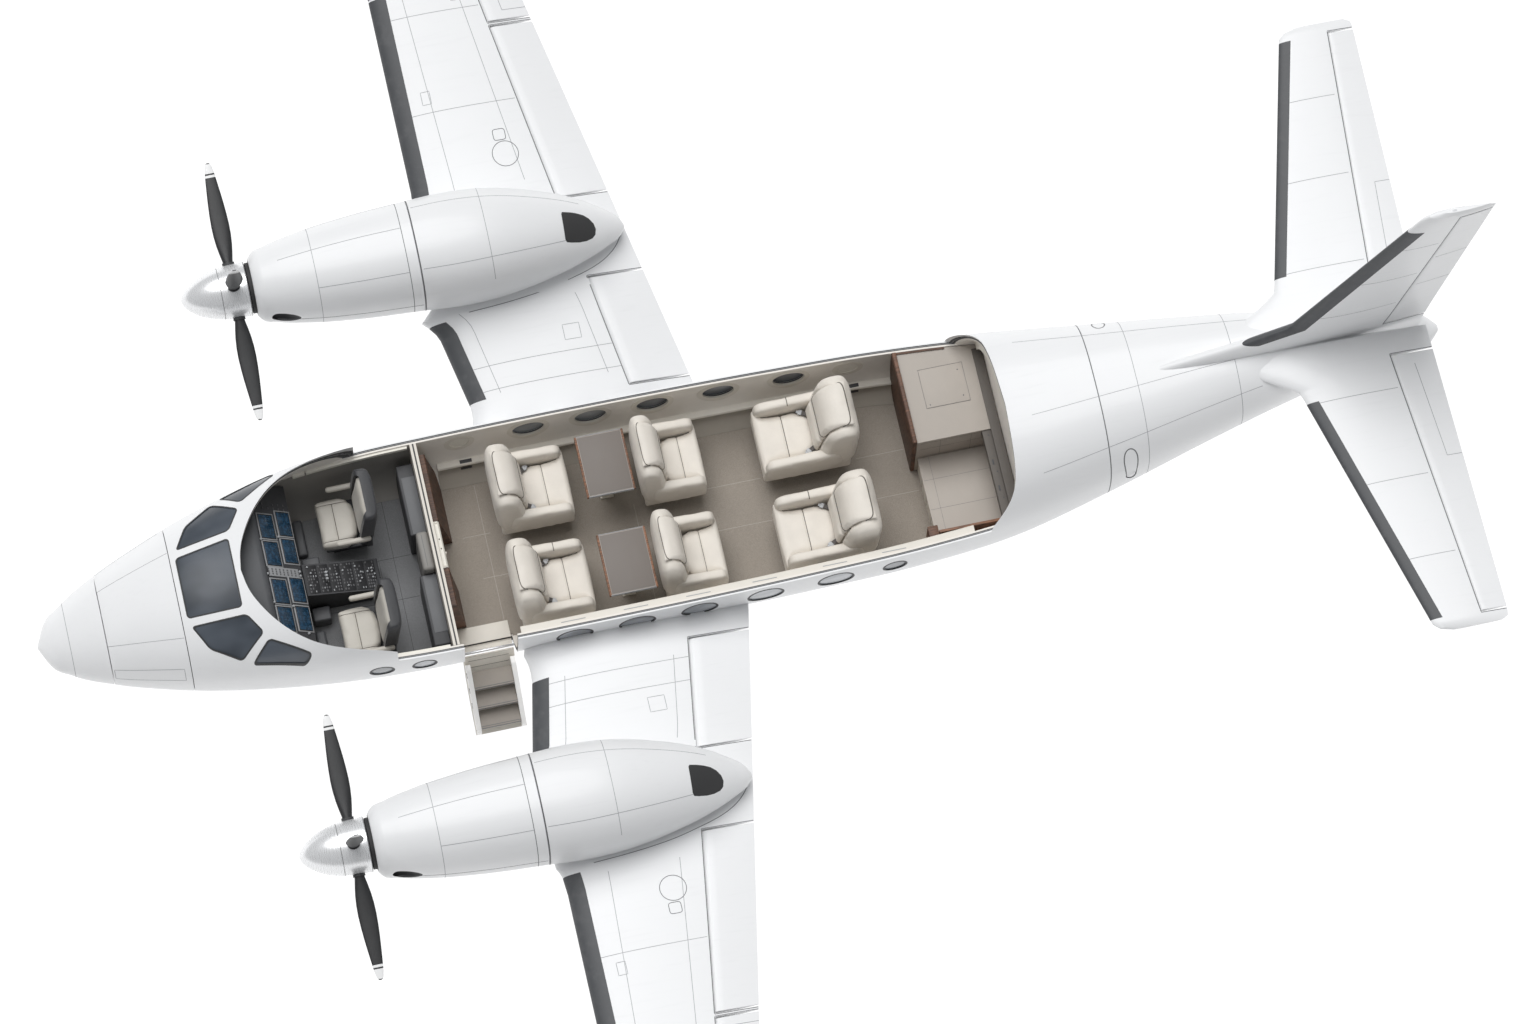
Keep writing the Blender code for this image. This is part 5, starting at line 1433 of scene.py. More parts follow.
@dataclass
class Wing:
    """One wing with its flaps, aileron, boots, seams, hatches and jack pad."""

    side: Side
    boots: tuple[tuple[float, float, float], ...] = (
        (1.335, 2.10, 0.15), (3.20, 5.17, 0.155), (5.19, 6.96, 0.14)
    )
    panel_spans: tuple[float, ...] = (1.40, 1.62, 4.02, 4.94, 5.95, 6.70)
    fairing: tuple[Pair, ...] = (
        (0.505, 4.36), (0.495, 4.6), (0.47, 4.85), (0.43, 5.1), (0.375, 5.3), (0.315, 5.5), (0.24, 5.66),
        (0.14, 5.78), (0.03, 5.85),
    )
    hatches: tuple[tuple[float, float, float, float], ...] = (
        (1.72, 1.86, 5.15, 5.30), (5.02, 5.12, 4.80, 4.92), (4.10, 4.22, 4.35, 4.43),
    )
    tab: Pair = (4.86, 5.72)
    tab_gap: float = 0.13

    def surface(self) -> LiftingSurface:
        """The wing as a lifting surface."""
        label = self.side.label
        root = Fillet(1.02, 0.30, 0.10) if self.side is Side.STARBOARD else Fillet(1.06, 0.22, 0.045)
        return LiftingSurface(
            f"wing_{label}", WING_ROWS, self.side.value,
            (
                Opening(f"flap_inboard_{label}", 1.22, 2.27), Opening(f"flap_outboard_{label}", 3.03, 4.73),
                Opening(f"aileron_{label}", 4.76, 6.88),
            ),
            WHITE_LIGHT, (root, Fillet(3.10, 0.20, 0.05), Fillet(2.16, 0.20, 0.10, -1)), self.boots,
        )

    def build_seams(self, wing: LiftingSurface) -> list[Object]:
        """Panel lines on both skins, round and square hatches, and the tab's outline."""
        faint, strong, tab = [], [], []
        for skin in (wing.upper, wing.lower):
            for span in self.panel_spans:
                faint.append(wing.chord_line(skin, span, ("leading", 0.12), ("hinge", -0.06), 0.06))
            for part, start, length, steps in (
                (0.30, 3.25, 3.6, 29), (0.80, 3.25, 3.6, 29), (0.2, 1.36, 0.78, 12), (0.87, 1.36, 0.78, 12),
            ):
                faint.append(wing.span_line(
                    skin, start, length, steps, lambda foil: foil.leading + (foil.hinge - foil.leading) * part
                ))
            strong.append(ribbon(skin, oval(3.52, 4.985, 0.118, 0.118), 0.006))
            strong.append(ribbon(skin, oval(3.705, 4.965, 0.052, 0.055, 5), 0.006))
            for sign in (-1, 1):
                edge = softened([(2.64 + sign * dx, y) for dx, y in self.fairing])
                strong.append(ribbon(skin, dense(edge, 0.05), 0.006))
            for low_u, high_u, low_v, high_v in self.hatches:
                corners = [(low_u, low_v), (high_u, low_v), (high_u, high_v), (low_u, high_v)]
                faint.append(ribbon(skin, dense(corners, 0.03, True), 0.005))
            faint.append(ribbon(skin, oval(5.45, 4.72, 0.05, 0.035, 6), 0.005))
            start, end = self.tab
            tab.append(wing.span_line(skin, start, end - start, 12, lambda foil: foil.hinge + self.tab_gap))
            for span in self.tab:
                tab.append(wing.chord_line(skin, span, ("hinge", self.tab_gap), ("trailing", -0.004), 0.03))
        label = self.side.label
        return [
            new_piece(f"wing_seams_{label}", merged(strong), SEAM, smooth=30),
            new_piece(f"wing_faint_seams_{label}", merged(faint), SEAM_SOFT, smooth=30),
            new_piece(f"aileron_tab_seams_{label}", merged(tab), SEAM_SOFT, f"aileron_{label}", smooth=30),
        ]

    def build_details(self, wing: LiftingSurface) -> list[Object]:
        """The jack pad under the wing and the light at its tip."""
        label, sign = self.side.label, self.side.value
        pad = bmesh.new()
        x, y = sign * 3.30, at_station(4.55)
        add_rod(pad, (x, y, 1.425), (x, y, 1.505), 0.03, 32, 0.003)
        tip = ellipsoid((sign * 7.125, at_station(4.31), wing.at(7.12).lift), (0.05, 0.085, 0.026))
        return [
            new_piece(f"wing_jack_pad_{label}", pad, STRUT),
            new_piece(f"wing_tip_light_{label}", tip, LAMP, smooth=60),
        ]

    def build(self) -> list[Object]:
        """Every piece of the wing."""
        wing = self.surface()
        return [*wing.build(), *self.build_seams(wing), *self.build_details(wing)]


@dataclass
class Tail:
    """The fin with its rudder, and both halves of the tailplane with their elevators."""

    fin_light: Point = (0.0, at_station(12.55), 5.012)

    def build_light(self) -> list[Object]:
        """The light on the fin's tip, in its ring."""
        x, y, z = self.fin_light
        angles = np.linspace(0, 2 * math.pi, 41)[:-1]
        ring = [(x + 0.022 * math.cos(a), y + 0.055 * math.sin(a), z + 0.004) for a in angles]
        return [
            new_piece("fin_light", ellipsoid(self.fin_light, (0.022, 0.055, 0.02)), LAMP, smooth=60),
            new_piece("fin_light_ring", tube_mesh(ring, 0.004, closed=True, sides=8), GASKET, smooth=60),
        ]

    def build_fin(self) -> list[Object]:
        """The fin, its boot, its seams and the light on its tip."""
        rudder = Opening("rudder", 2.56, 4.93)
        fin = LiftingSurface("fin", FIN_ROWS, 0, (rudder,), WHITE_LIGHT, (), ((2.70, 4.74, 0.14),))
        faint, hinge = [], []
        for skin in (fin.upper, fin.lower):
            for height in (3.1, 3.75, 4.4):
                faint.append(fin.chord_line(skin, height, ("leading", 0.11), ("hinge", -0.07), 0.05))
            for height in (3.45, 4.05):
                hinge.append(fin.chord_line(skin, height, ("hinge", 0.01), ("trailing", -0.01), 0.03))
        return [
            *fin.build(),
            new_piece("fin_seams", merged(faint), SEAM_SOFT, smooth=30),
            new_piece("rudder_seams", merged(hinge), SEAM_SOFT, "rudder", smooth=30),
            *self.build_light(),
        ]

    def build_half(self, side: Side) -> list[Object]:
        """One half of the tailplane."""
        label = side.label
        half = LiftingSurface(
            f"stabilizer_{label}", TAILPLANE_ROWS, side.value, (Opening(f"elevator_{label}", 0.30, 2.80),),
            WHITE_LIGHT, (Fillet(0.30, 0.26, 0.09),), ((0.60, 2.78, 0.105),),
        )
        faint, tab = [], []
        for skin in (half.upper, half.lower):
            for span in (0.62, 1.45, 2.2):
                faint.append(half.chord_line(skin, span, ("leading", 0.10), ("hinge", -0.06), 0.05))
            tab.append(half.span_line(skin, 0.42, 0.9, 10, lambda foil: foil.hinge + 0.16))
            tab.append(half.chord_line(skin, 1.32, ("hinge", 0.16), ("trailing", -0.006), 0.03))
        return [
            *half.build(),
            new_piece(f"stabilizer_seams_{label}", merged(faint), SEAM_SOFT, smooth=30),
            new_piece(f"elevator_tab_seams_{label}", merged(tab), SEAM_SOFT, f"elevator_{label}", smooth=30),
        ]

    def build(self) -> list[Object]:
        """The whole tail."""
        return [*self.build_fin(), *self.build_half(Side.PORT), *self.build_half(Side.STARBOARD)]


# Engines and propellers

COWL_ROWS = (
    (2.50, 0.255, 1.90, 0.255, 0.255, 2.0), (2.53, 0.295, 1.90, 0.295, 0.295, 2.0),
    (2.65, 0.335, 1.90, 0.34, 0.35, 2.1), (2.95, 0.395, 1.90, 0.40, 0.42, 2.2),
    (3.40, 0.445, 1.90, 0.45, 0.48, 2.3), (3.975, 0.48, 1.90, 0.48, 0.53, 2.3),
)
NACELLE_ROWS = (
    (3.975, 0.48, 1.90, 0.48, 0.53, 2.3), (4.30, 0.495, 1.89, 0.485, 0.58, 2.3),
    (4.70, 0.475, 1.87, 0.46, 0.60, 2.2), (5.10, 0.40, 1.82, 0.38, 0.50, 2.1),
    (5.45, 0.295, 1.76, 0.27, 0.36, 2.0), (5.70, 0.175, 1.69, 0.155, 0.22, 2.0),
    (5.85, 0.07, 1.63, 0.06, 0.09, 2.0), (5.884, 0.02, 1.61, 0.015, 0.02, 2.0),
)


def turned(profile: Outline, centre: Point, axis: str, steps: int = 64, loop: bool = False) -> BMesh:
    """A turned body about an axis through a centre.

    Args:
        profile: (radius, distance along the axis) from one end to the other.
        centre: where distance 0 lies.
        axis: "X", "Y" or "Z".
        steps: faces around it.
        loop: the profile closes on itself, as a ring's does.

    Returns:
        The closed mesh.
    """
    around = {"X": (1, 2, 0), "Y": (2, 0, 1), "Z": (0, 1, 2)}[axis]
    rings = []
    for radius, along in profile:
        ring = []
        for angle in turns(steps):
            point = np.zeros(3)
            point[list(around)] = radius * math.cos(angle), radius * math.sin(angle), along
            ring.append(tuple(point + centre))
        rings.append(ring)
    if loop:
        return lofted([*rings, rings[0]], fill=False)
    return lofted(rings)


@dataclass
class Nacelle:
    """One engine's nacelle and cowl, with scoops, seams and the outlet on top."""

    side: Side
    axis_x: float = 2.64
    axis_z: float = 1.90
    lip: tuple[Pair, ...] = ((2.56, 0.045), (2.51, 0.02), (2.501, 0.011), (2.5, 0.004))
    mouth: tuple[Pair, ...] = ((0.0, 2.466), (0.226, 2.466), (0.229, 2.469), (0.229, 2.545), (0.0, 2.545))
    outlet: tuple[Pair, ...] = (
        (-0.058, 5.329), (-0.055, 5.40), (-0.048, 5.45), (-0.03, 5.515), (0.0, 5.56), (0.045, 5.595),
        (0.092, 5.606), (0.14, 5.592), (0.17, 5.56), (0.195, 5.50), (0.21, 5.43), (0.214, 5.36),
        (0.212, 5.316), (0.19, 5.307), (-0.04, 5.318),
    )

    @property
    def x(self) -> float:
        """X of the engine's axis."""
        return self.side.value * self.axis_x

    @property
    def cowl(self) -> Form:
        """The form of the cowl."""
        return Form(COWL_ROWS, self.x)

    @property
    def nacelle(self) -> Form:
        """The form of the nacelle behind the cowl."""
        return Form(NACELLE_ROWS, self.x)

    def build_shells(self) -> list[Object]:
        """The cowl with its lip and its mouth, a black disc of painted shade, and the nacelle behind it."""
        label, cowl = self.side.label, self.cowl
        rings = [cowl.ring(station, inset) for station, inset in self.lip]
        rings += [cowl.ring(s) for s in (2.504, 2.512, 2.53, 2.56, 2.60, *spaced(2.65, 3.966, 0.06), 3.9695)]
        rings.append(cowl.ring(3.972, 0.003))
        hollowed, linings = self.build_scoops(lofted(rings))
        skin = new_piece(f"cowl_{label}_skin", hollowed, WHITE, smooth=40)
        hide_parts(f"cowl_{label}")
        body = self.nacelle.solid([*spaced(3.976, 5.80, 0.06), 5.83, 5.855, 5.87, 5.88, 5.884], lip=0.003)
        tail = new_piece(f"nacelle_{label}_skin", body, WHITE, smooth=40)
        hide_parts(f"nacelle_{label}")
        # A black disc in the intake: painted shade for the inside of the mouth.
        mouth = turned(self.mouth, (self.x, NOSE_Y, self.axis_z), "Y")
        return [skin, tail, *linings, new_piece(f"cowl_mouth_{label}", mouth, SOOT_AND_SHADE_BLACK)]

    def scoop_body(self, sign: int, scale: float) -> BMesh:
        """The teardrop hollow in the cowl's side, grown or shrunk by a scale."""
        rings = []
        for k in range(25):
            part = k / 24
            size = math.sin(math.pi * part ** 0.72) ** 0.6 if 0 < k < 24 else 0.02
            station = 2.60 + 0.35 * part
            bed = 0.318 + 0.16 * part - 0.03 * (1 - part)
            ring = []
            for a in np.linspace(0, 2 * math.pi, 33)[:-1]:
                across = (0.075 * size + 0.001) * scale * math.cos(a)
                tall = (0.078 * size + 0.001) * scale * math.sin(a)
                ring.append((self.x + sign * (bed + across), at_station(station), self.axis_z + 0.03 + tall))
            rings.append(ring if sign > 0 else ring[::-1])
        return lofted(rings)

    def build_scoops(self, cowl: BMesh) -> tuple[BMesh, list[Object]]:
        """Hollows the cowl's sides and lines each hollow with a near-black sheet of painted shade.

        Args:
            cowl: the whole cowl's mesh.

        Returns:
            The hollowed mesh, and the linings.
        """
        solid = helper("cowl_whole", cowl.copy())
        linings = []
        for sign in (1, -1):
            cowl = carved(cowl, (self.scoop_body(sign, 1.0),))
            linings.append(carved(self.scoop_body(sign, 0.999), (self.scoop_body(sign, 0.95),), (solid,)))
        discard((solid,))
        return cowl, [new_piece(f"cowl_scoop_linings_{self.side.label}", merged(linings), SCOOP_SHADE, smooth=40)]

    def build_outlet(self) -> Object:
        """The outlet on top of the nacelle: a flush black patch, soot and painted shade for the opening."""
        sheet = self.nacelle.shell(spaced(5.1, 5.8, 0.05), -0.0012, 0.004)
        corners = [(self.x + dx, at_station(s)) for dx, s in self.outlet]
        # Flush patch whose black is soot plus painted shade of the opening.
        patch = carved(prism(corners, 1.7, 2.4), keep=(sheet,))
        return new_piece(f"nacelle_outlet_{self.side.label}", patch, SOOT_AND_SHADE_BLACK, smooth=30)

    def build_seams(self) -> list[Object]:
        """Ring seams and lengthwise panel joints of cowl and nacelle."""
        cowl, nacelle = self.cowl, self.nacelle
        strong = [nacelle.ring_seam(3.98, 0.008), cowl.ring_seam(3.875, 0.006)]
        strong += [cowl.long_seam(degrees, spaced(2.66, 3.96, 0.08), 0.007) for degrees in (0, 180)]
        faint = [cowl.ring_seam(3.06, 0.005)]
        for degrees, start in ((54, 3.06), (100, 2.75), (150, 3.06)):
            faint.append(cowl.long_seam(degrees, spaced(start, 3.87, 0.08), 0.005))
        faint += [nacelle.long_seam(degrees, spaced(4.0, 5.5, 0.08), 0.005) for degrees in (55, 125)]
        faint.append(ribbon(nacelle.point, [(4.62, math.radians(a)) for a in range(25, 156, 5)], 0.005))
        label = self.side.label
        return [
            new_piece(f"nacelle_seams_{label}", merged(strong), SEAM, smooth=30),
            new_piece(f"nacelle_faint_seams_{label}", merged(faint), SEAM_SOFT, smooth=30),
        ]

    def build(self) -> list[Object]:
        """Every piece of the nacelle."""
        return [*self.build_shells(), self.build_outlet(), *self.build_seams()]


@dataclass
class Propeller:
    """A spinner with four feathered blades."""

    side: Side
    hub_station: float = 2.33
    tip_station: float = 1.853
    radius: float = 1.18
    turn_degrees: float = 12.0
    plan: tuple[tuple[float, float, float], ...] = (
        (0.15, 0.075, 0.07), (0.22, 0.080, 0.066), (0.28, 0.094, 0.06), (0.35, 0.120, 0.052),
        (0.42, 0.142, 0.045), (0.51, 0.158, 0.038), (0.60, 0.162, 0.032), (0.70, 0.155, 0.028),
        (0.80, 0.142, 0.024), (0.90, 0.124, 0.0205), (0.965, 0.111, 0.0182), (0.985, 0.107, 0.0176),
        (1.00, 0.104, 0.017), (1.015, 0.101, 0.0164), (1.06, 0.091, 0.014), (1.10, 0.080, 0.012),
        (1.14, 0.064, 0.0105), (1.16, 0.052, 0.009), (1.174, 0.036, 0.0075), (1.18, 0.018, 0.006),
    )

    @property
    def hub(self) -> Vector:
        """The hub's middle."""
        return Vector((self.side.value * 2.64, at_station(self.hub_station), 1.90))

    def blade(self, index: int, low: float = 0.0, high: float = 9.0, swell: float = 0.0) -> BMesh:
        """A stretch of one blade between two radii, thickened by a swell."""
        turn = Matrix.Rotation(math.radians(self.turn_degrees + 90 * index), 3, "Y")
        radii, chords, thicknesses = (list(column) for column in zip(*self.plan))
        places = sorted({low, high} | {r for r in radii if low < r < high}) if high < 9 else [
            r for r in radii if r >= low
        ]
        rings = []
        for radius in places:
            chord = float(np.interp(radius, radii, chords)) + 2 * swell
            thick = float(np.interp(radius, radii, thicknesses)) + 2 * swell
            spots = [Vector((thick / 2 * math.sin(a), chord / 2 * math.cos(a), radius)) for a in turns(24)]
            rings.append([tuple(self.hub + turn @ spot) for spot in spots])
        return lofted(rings)

    def blades(self, *stretch: float) -> BMesh:
        """The same stretch of all four blades."""
        return merged(self.blade(k, *stretch) for k in range(4))

    def spinner_radius(self, part: float) -> float:
        """The spinner's radius at a part of its length from the tip."""
        return 0.24 * math.sin(math.acos(1 - min(part, 1.0))) ** 1.22

    def build(self) -> list[Object]:
        """Spinner, seam, backplate, collars, blades and their painted tips."""
        label = self.side.label
        body = f"propeller_{label}"
        length = self.hub_station - self.tip_station
        centre = (self.hub.x, NOSE_Y, self.hub.z)
        parts = [k / 26 for k in range(27)]
        profile = [(self.spinner_radius(t * t), self.tip_station + length * t * t) for t in parts]
        profile += [(0.2435, 2.40), (0.245, 2.445), (0.243, 2.455), (0.238, 2.459), (0.0, 2.459)]
        spinner = new_piece(f"spinner_{label}", turned(profile, centre, "Y", 96), SPINNER, body, smooth=40)
        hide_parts(f"propeller_{label}")
        at, radius = self.tip_station + length * 0.75, self.spinner_radius(0.75)
        seam = [
            (radius - 0.004, at - 0.002), (radius + 0.0008, at - 0.002),
            (radius + 0.0016, at + 0.002), (radius - 0.004, at + 0.002),
        ]
        rear = [(0.236, 2.452), (0.2455, 2.452), (0.2455, 2.456), (0.236, 2.456)]
        seams = merged(turned(ring, centre, "Y", 96, loop=True) for ring in (seam, rear))
        white = merged(
            self.blade(k, *stretch) for k in range(4) for stretch in ((1.045, 1.068, 0.0009), (1.082, 1.172))
        )
        return [
            spinner,
            new_piece(f"spinner_seams_{label}", seams, GASKET, body),
            new_piece(f"blades_{label}", self.blades(), BLADE, body, smooth=50),
            new_piece(f"blade_collars_{label}", self.blades(0.19, 0.262, 0.011), GASKET, body, smooth=50),
            new_piece(
                f"blade_tips_{label}", merged((white, self.blades(1.083, 1.170, 0.0009))), BLADE_TIP, body,
                smooth=50
            ),
        ]


# Landing gear


@dataclass(frozen=True)
class WheelSize:
    """Sizes of a wheel, with the grooves in its tread."""

    name: str
    body: str
    centre: Point
    radius: float
    rim: float
    half_width: float
    grooves: tuple[float, ...] = (-0.36, 0.0, 0.36)


@dataclass
class Wheel:
    """A tyre with grooves and a rim with holes, hub and bolts."""

    size: WheelSize
    rim_profile: tuple[Pair, ...] = (
        (0.985, 0.60), (1.03, 0.68), (1.0, 0.72), (0.86, 0.66), (0.78, 0.30), (0.42, 0.30), (0.24, 0.42),
        (0.18, 0.5), (0.0, 0.5),
    )

    def tyre_profile(self) -> list[Pair]:
        """The tyre's outline, from one bead over the tread to the other."""
        size = self.size
        middle, tall = (size.radius + size.rim) / 2, (size.radius - size.rim) / 2
        outline = []
        for k in range(49):
            angle = math.radians(-128 + 256 * k / 48)
            along = size.half_width * math.copysign(abs(math.sin(angle)) ** 0.78, math.sin(angle))
            radius = middle + tall * math.copysign(abs(math.cos(angle)) ** 0.62, math.cos(angle))
            outline.append((radius, along))
        tread = [(radius, along) for radius, along in outline if radius > middle]
        for groove in size.grooves:
            at = groove * size.half_width
            top = float(np.interp(at, [along for _, along in tread], [radius for radius, _ in tread]))
            outline = [p for p in outline if abs(p[1] - at) > 0.006 or p[0] < middle]
            index = next(i for i, p in enumerate(outline) if p[1] > at and p[0] > middle)
            cut = ((0, -0.0045), (-0.006, -0.003), (-0.006, 0.003), (0, 0.0045))
            outline[index:index] = [(top + deep, at + along) for deep, along in cut]
        return outline + [
            (size.rim - 0.006, size.half_width * 0.6), (size.rim - 0.006, -size.half_width * 0.6)
        ]

    def ring_of_rods(
        self, shift: float, place: float, reach: float, radius: float, sides: int, rim: float = 0.0
    ) -> BMesh:
        """Eight rods through the rim's disc, all but the reach given as parts of the rim's radius.

        Args:
            shift: turn of the first one, as a part of a step.
            place: distance from the axis.
            reach: half their length, as a part of the wheel's half width.
            radius: their radius.
            sides: faces round each.
            rim: bevel at their ends, in metres.

        Returns:
            The mesh.
        """
        x, y, z = self.size.centre
        half, away = self.size.half_width * reach, self.size.rim * place
        bm = bmesh.new()
        for angle in turns(8, shift):
            spot = (y + away * math.cos(angle), z + away * math.sin(angle))
            add_rod(bm, (x - half, *spot), (x + half, *spot), self.size.rim * radius, sides, rim)
        return bm

    def build(self) -> list[Object]:
        """Tyre and rim."""
        size = self.size
        tread = turned(self.tyre_profile(), size.centre, "X", 72, loop=True)
        tyre = new_piece(f"{size.name}_tyre_grooved", tread, TYRE, size.body, smooth=35)
        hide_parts(f"{size.name}_tyre")
        half = [(r * size.rim, along * size.half_width) for r, along in self.rim_profile]
        profile = [(r, -along) for r, along in half[::-1]] + [(size.rim * 0.97, 0.0)] + half
        wheel = carved(turned(profile, size.centre, "X", 72), (self.ring_of_rods(0.5, 0.6, 1, 0.11, 20),))
        disc = new_piece(f"{size.name}_wheel_disc", wheel, RIM, size.body, smooth=35)
        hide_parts(f"{size.name}_rim")
        bolts = self.ring_of_rods(0, 0.33, 0.40, 0.045, 6, 0.0008)
        return [tyre, disc, new_piece(f"{size.name}_wheel_bolts", bolts, STRUT, size.body)]


@dataclass
class LandingGear:
    """Nose and main wheels on their legs, which keep their solids and get pipes and links."""

    main_x: float = 2.74
    main_station: float = 4.95

    def wheels(self) -> list[Wheel]:
        """The three wheels."""
        sizes = [WheelSize("nose", "nose_wheel", (0.0, at_station(1.58), 0.24), 0.24, 0.12, 0.075)]
        for side in Side:
            centre = (side.value * self.main_x, at_station(self.main_station), 0.33)
            sizes.append(
                WheelSize(f"main_{side.label}", f"main_wheel_{side.label}", centre, 0.33, 0.18, 0.10)
            )
        return [Wheel(size) for size in sizes]

    def build_links(self) -> list[Object]:
        """Brake pipes and torque links on the legs."""
        pieces = []
        for side in Side:
            strut_x = side.value * (self.main_x - 0.175)
            y = at_station(self.main_station)
            route = ((0.075, 1.15), (0.082, 0.9), (0.078, 0.7), (0.055, 0.5))
            pipe = [(strut_x, y + dy, z) for dy, z in route] + [(strut_x + side.value * 0.02, y + 0.05, 0.38)]
            pieces.append(new_piece(f"brake_pipe_{side.label}", tube_mesh(pipe, 0.006), GASKET, smooth=60))
            link = bmesh.new()
            add_rod(link, (strut_x, y + 0.05, 0.74), (strut_x, y + 0.17, 0.60), 0.013, 16, 0.002)
            add_rod(link, (strut_x, y + 0.17, 0.60), (strut_x, y + 0.04, 0.44), 0.013, 16, 0.002)
            add_rod(
                link, (strut_x - 0.03, y + 0.17, 0.60), (strut_x + 0.03, y + 0.17, 0.60), 0.016, 16, 0.002
            )
            pieces.append(new_piece(f"torque_link_{side.label}", link, STRUT))
        return pieces

    def build(self) -> list[Object]:
        """Every piece of the gear."""
        return [piece for wheel in self.wheels() for piece in wheel.build()] + self.build_links()


# Airstair


@dataclass
class Airstair:
    """The stair in the port wall, drawn open: door panel, platform, two side frames and three treads."""

    front: float = 3.668
    aft: float = 4.132
    hinge: Pair = (0.805, 0.935)
    open_degrees: float = 118.0
    low: float = 0.958
    high: float = 1.71
    body: str = "airstair"
    lift: Pair = (0.0004, 0.0006)

    def swung(self, height: float, inset: float) -> Pair:
        """X and Z of a point of the wall after the door has swung open."""
        x = FUSELAGE.side(3.9, height, 1, inset)[0]
        angle = math.radians(self.open_degrees)
        dx, dz = x - self.hinge[0], height - self.hinge[1]
        return (
            self.hinge[0] + dx * math.cos(angle) + dz * math.sin(angle),
            self.hinge[1] - dx * math.sin(angle) + dz * math.cos(angle),
        )

    def layer(
        self, outer: float, inner: float, low: float, high: float, front: float, aft: float,
        rim: float = 0.003
    ) -> BMesh:
        """A layer of the door between two depths, with softened edges."""
        heights = np.linspace(low, high, 22)
        rings = []
        for station, draw in ((front, rim), (front + rim, 0.0), (aft - rim, 0.0), (aft, rim)):
            far = [self.swung(h, outer + draw) for h in heights]
            near = [self.swung(h, inner - draw) for h in heights]
            rings.append([(x, at_station(station), z) for x, z in far + near[::-1]])
        return lofted(rings)

    def build_door(self) -> list[Object]:
        """The door's white skin, its dark edge seal and the cream platform on its inner face."""
        front, aft, low, high = self.front, self.aft, self.low, self.high
        skin = new_piece(
            "airstair_skin", self.layer(0.0, 0.022, low, high, front, aft), WHITE, self.body, smooth=30
        )
        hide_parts("airstair_door")
        seal = self.layer(0.0225, 0.030, low + 0.004, high - 0.004, front + 0.004, aft - 0.004, 0.001)
        liner = self.layer(0.0305, 0.0437, low + 0.002, high - 0.002, front + 0.002, aft - 0.002)
        edge = self.layer(0.001, 0.0437, low - 0.0026, low - 0.0003, front + 0.002, aft - 0.002, 0.0005)
        lines = []
        for part in (0.06, 0.15, 0.86):
            x, z = self.swung(low + (high - low) * part, 0.0445)
            lines.append(((front + 0.04, aft - 0.055), (x - 0.002, x + 0.002), (z - 0.0012, z + 0.0012)))
        scuff = carved(FUSELAGE.shell([front + 0.004, 3.8, 3.9, 4.0, aft - 0.004], -0.002, 0.001), (
            slab((3.0, 5.0), (-1.3, 1.3), (0.946, 3.0)),
            slab((3.0, 5.0), (-1.3, 1.3), (0.0, 0.86)),
            slab((3.0, 5.0), (-1.5, 0.3), (0.0, 3.0)),
        ))
        rod = bmesh.new()
        ends = [(self.hinge[0], at_station(station), self.hinge[1]) for station in (3.641, 4.159)]
        add_rod(rod, *ends, 0.0115, 24, 0.002)
        stations = (front + 0.004, aft - 0.004)
        return [
            skin,
            new_piece("airstair_seal", seal, GASKET, self.body),
            new_piece("airstair_platform", liner, LEDGE, self.body, smooth=30),
            new_piece("airstair_platform_lines", slabs(lines), PIPING, self.body),
            new_piece("airstair_scuff_plate", scuff, LEDGE, smooth=30),
            new_piece(
                "airstair_floor_plate", slab(stations, (0.585, 0.742), (0.9805, 0.9845), 0.0015), LEDGE
            ),
            new_piece("airstair_sill_cap", slab(stations, (0.744, 0.797), (0.9505, 0.9535), 0.001), LEDGE),
            new_piece("airstair_edge_cap", edge, LEDGE, self.body, smooth=30),
            new_piece("airstair_hinge_rod", rod, STRUT, self.body),
        ]

    def along(self, part: float, right: float = 0.0, up: float = 0.0) -> Pair:
        """X and Z at a part of the way down the stair, moved by two distances."""
        (top_x, top_z), (foot_x, foot_z) = (self.swung(height, 0.044) for height in self.span)
        return (
            top_x + self.lift[0] + (foot_x - top_x) * part + right,
            top_z + self.lift[1] + (foot_z - top_z) * part + up,
        )

    @property
    def span(self) -> Pair:
        """The heights of the stair's top and foot on the closed door."""
        return self.low + (self.high - self.low) / 8, self.high

    def build_frames(self) -> Object:
        """Side frames with oval holes and rounded corners."""
        inner = [self.swung(height, 0.044) for height in np.linspace(self.low, self.high, 9)]
        lift = [(x + self.lift[0], z + self.lift[1]) for x, z in inner[1:]]
        top, foot = self.along(0), self.along(1)
        outline = lift[::-1] + [
            (top[0] + 0.015, top[1] + 0.095), (top[0] + 0.08, top[1] + 0.09),
            (foot[0] + 0.01, foot[1] + 0.12),
        ]
        holes = [
            upright(
                oval(*self.along(part, 0.03, 0.055), 0.045, 0.018, 3, 24)[:-1], self.front - 0.1,
                self.aft + 0.1
            )
            for part in (0.30, 0.62)
        ]
        cutter = helper("frame_holes", merged(holes))
        frames = merged(
            carved(upright(outline, start, start + 0.042, 0.012), (cutter,))
            for start in (self.front + 0.008, self.aft - 0.050)
        )
        discard((cutter,))
        return new_piece("airstair_frames", frames, RAIL, self.body, smooth=30)

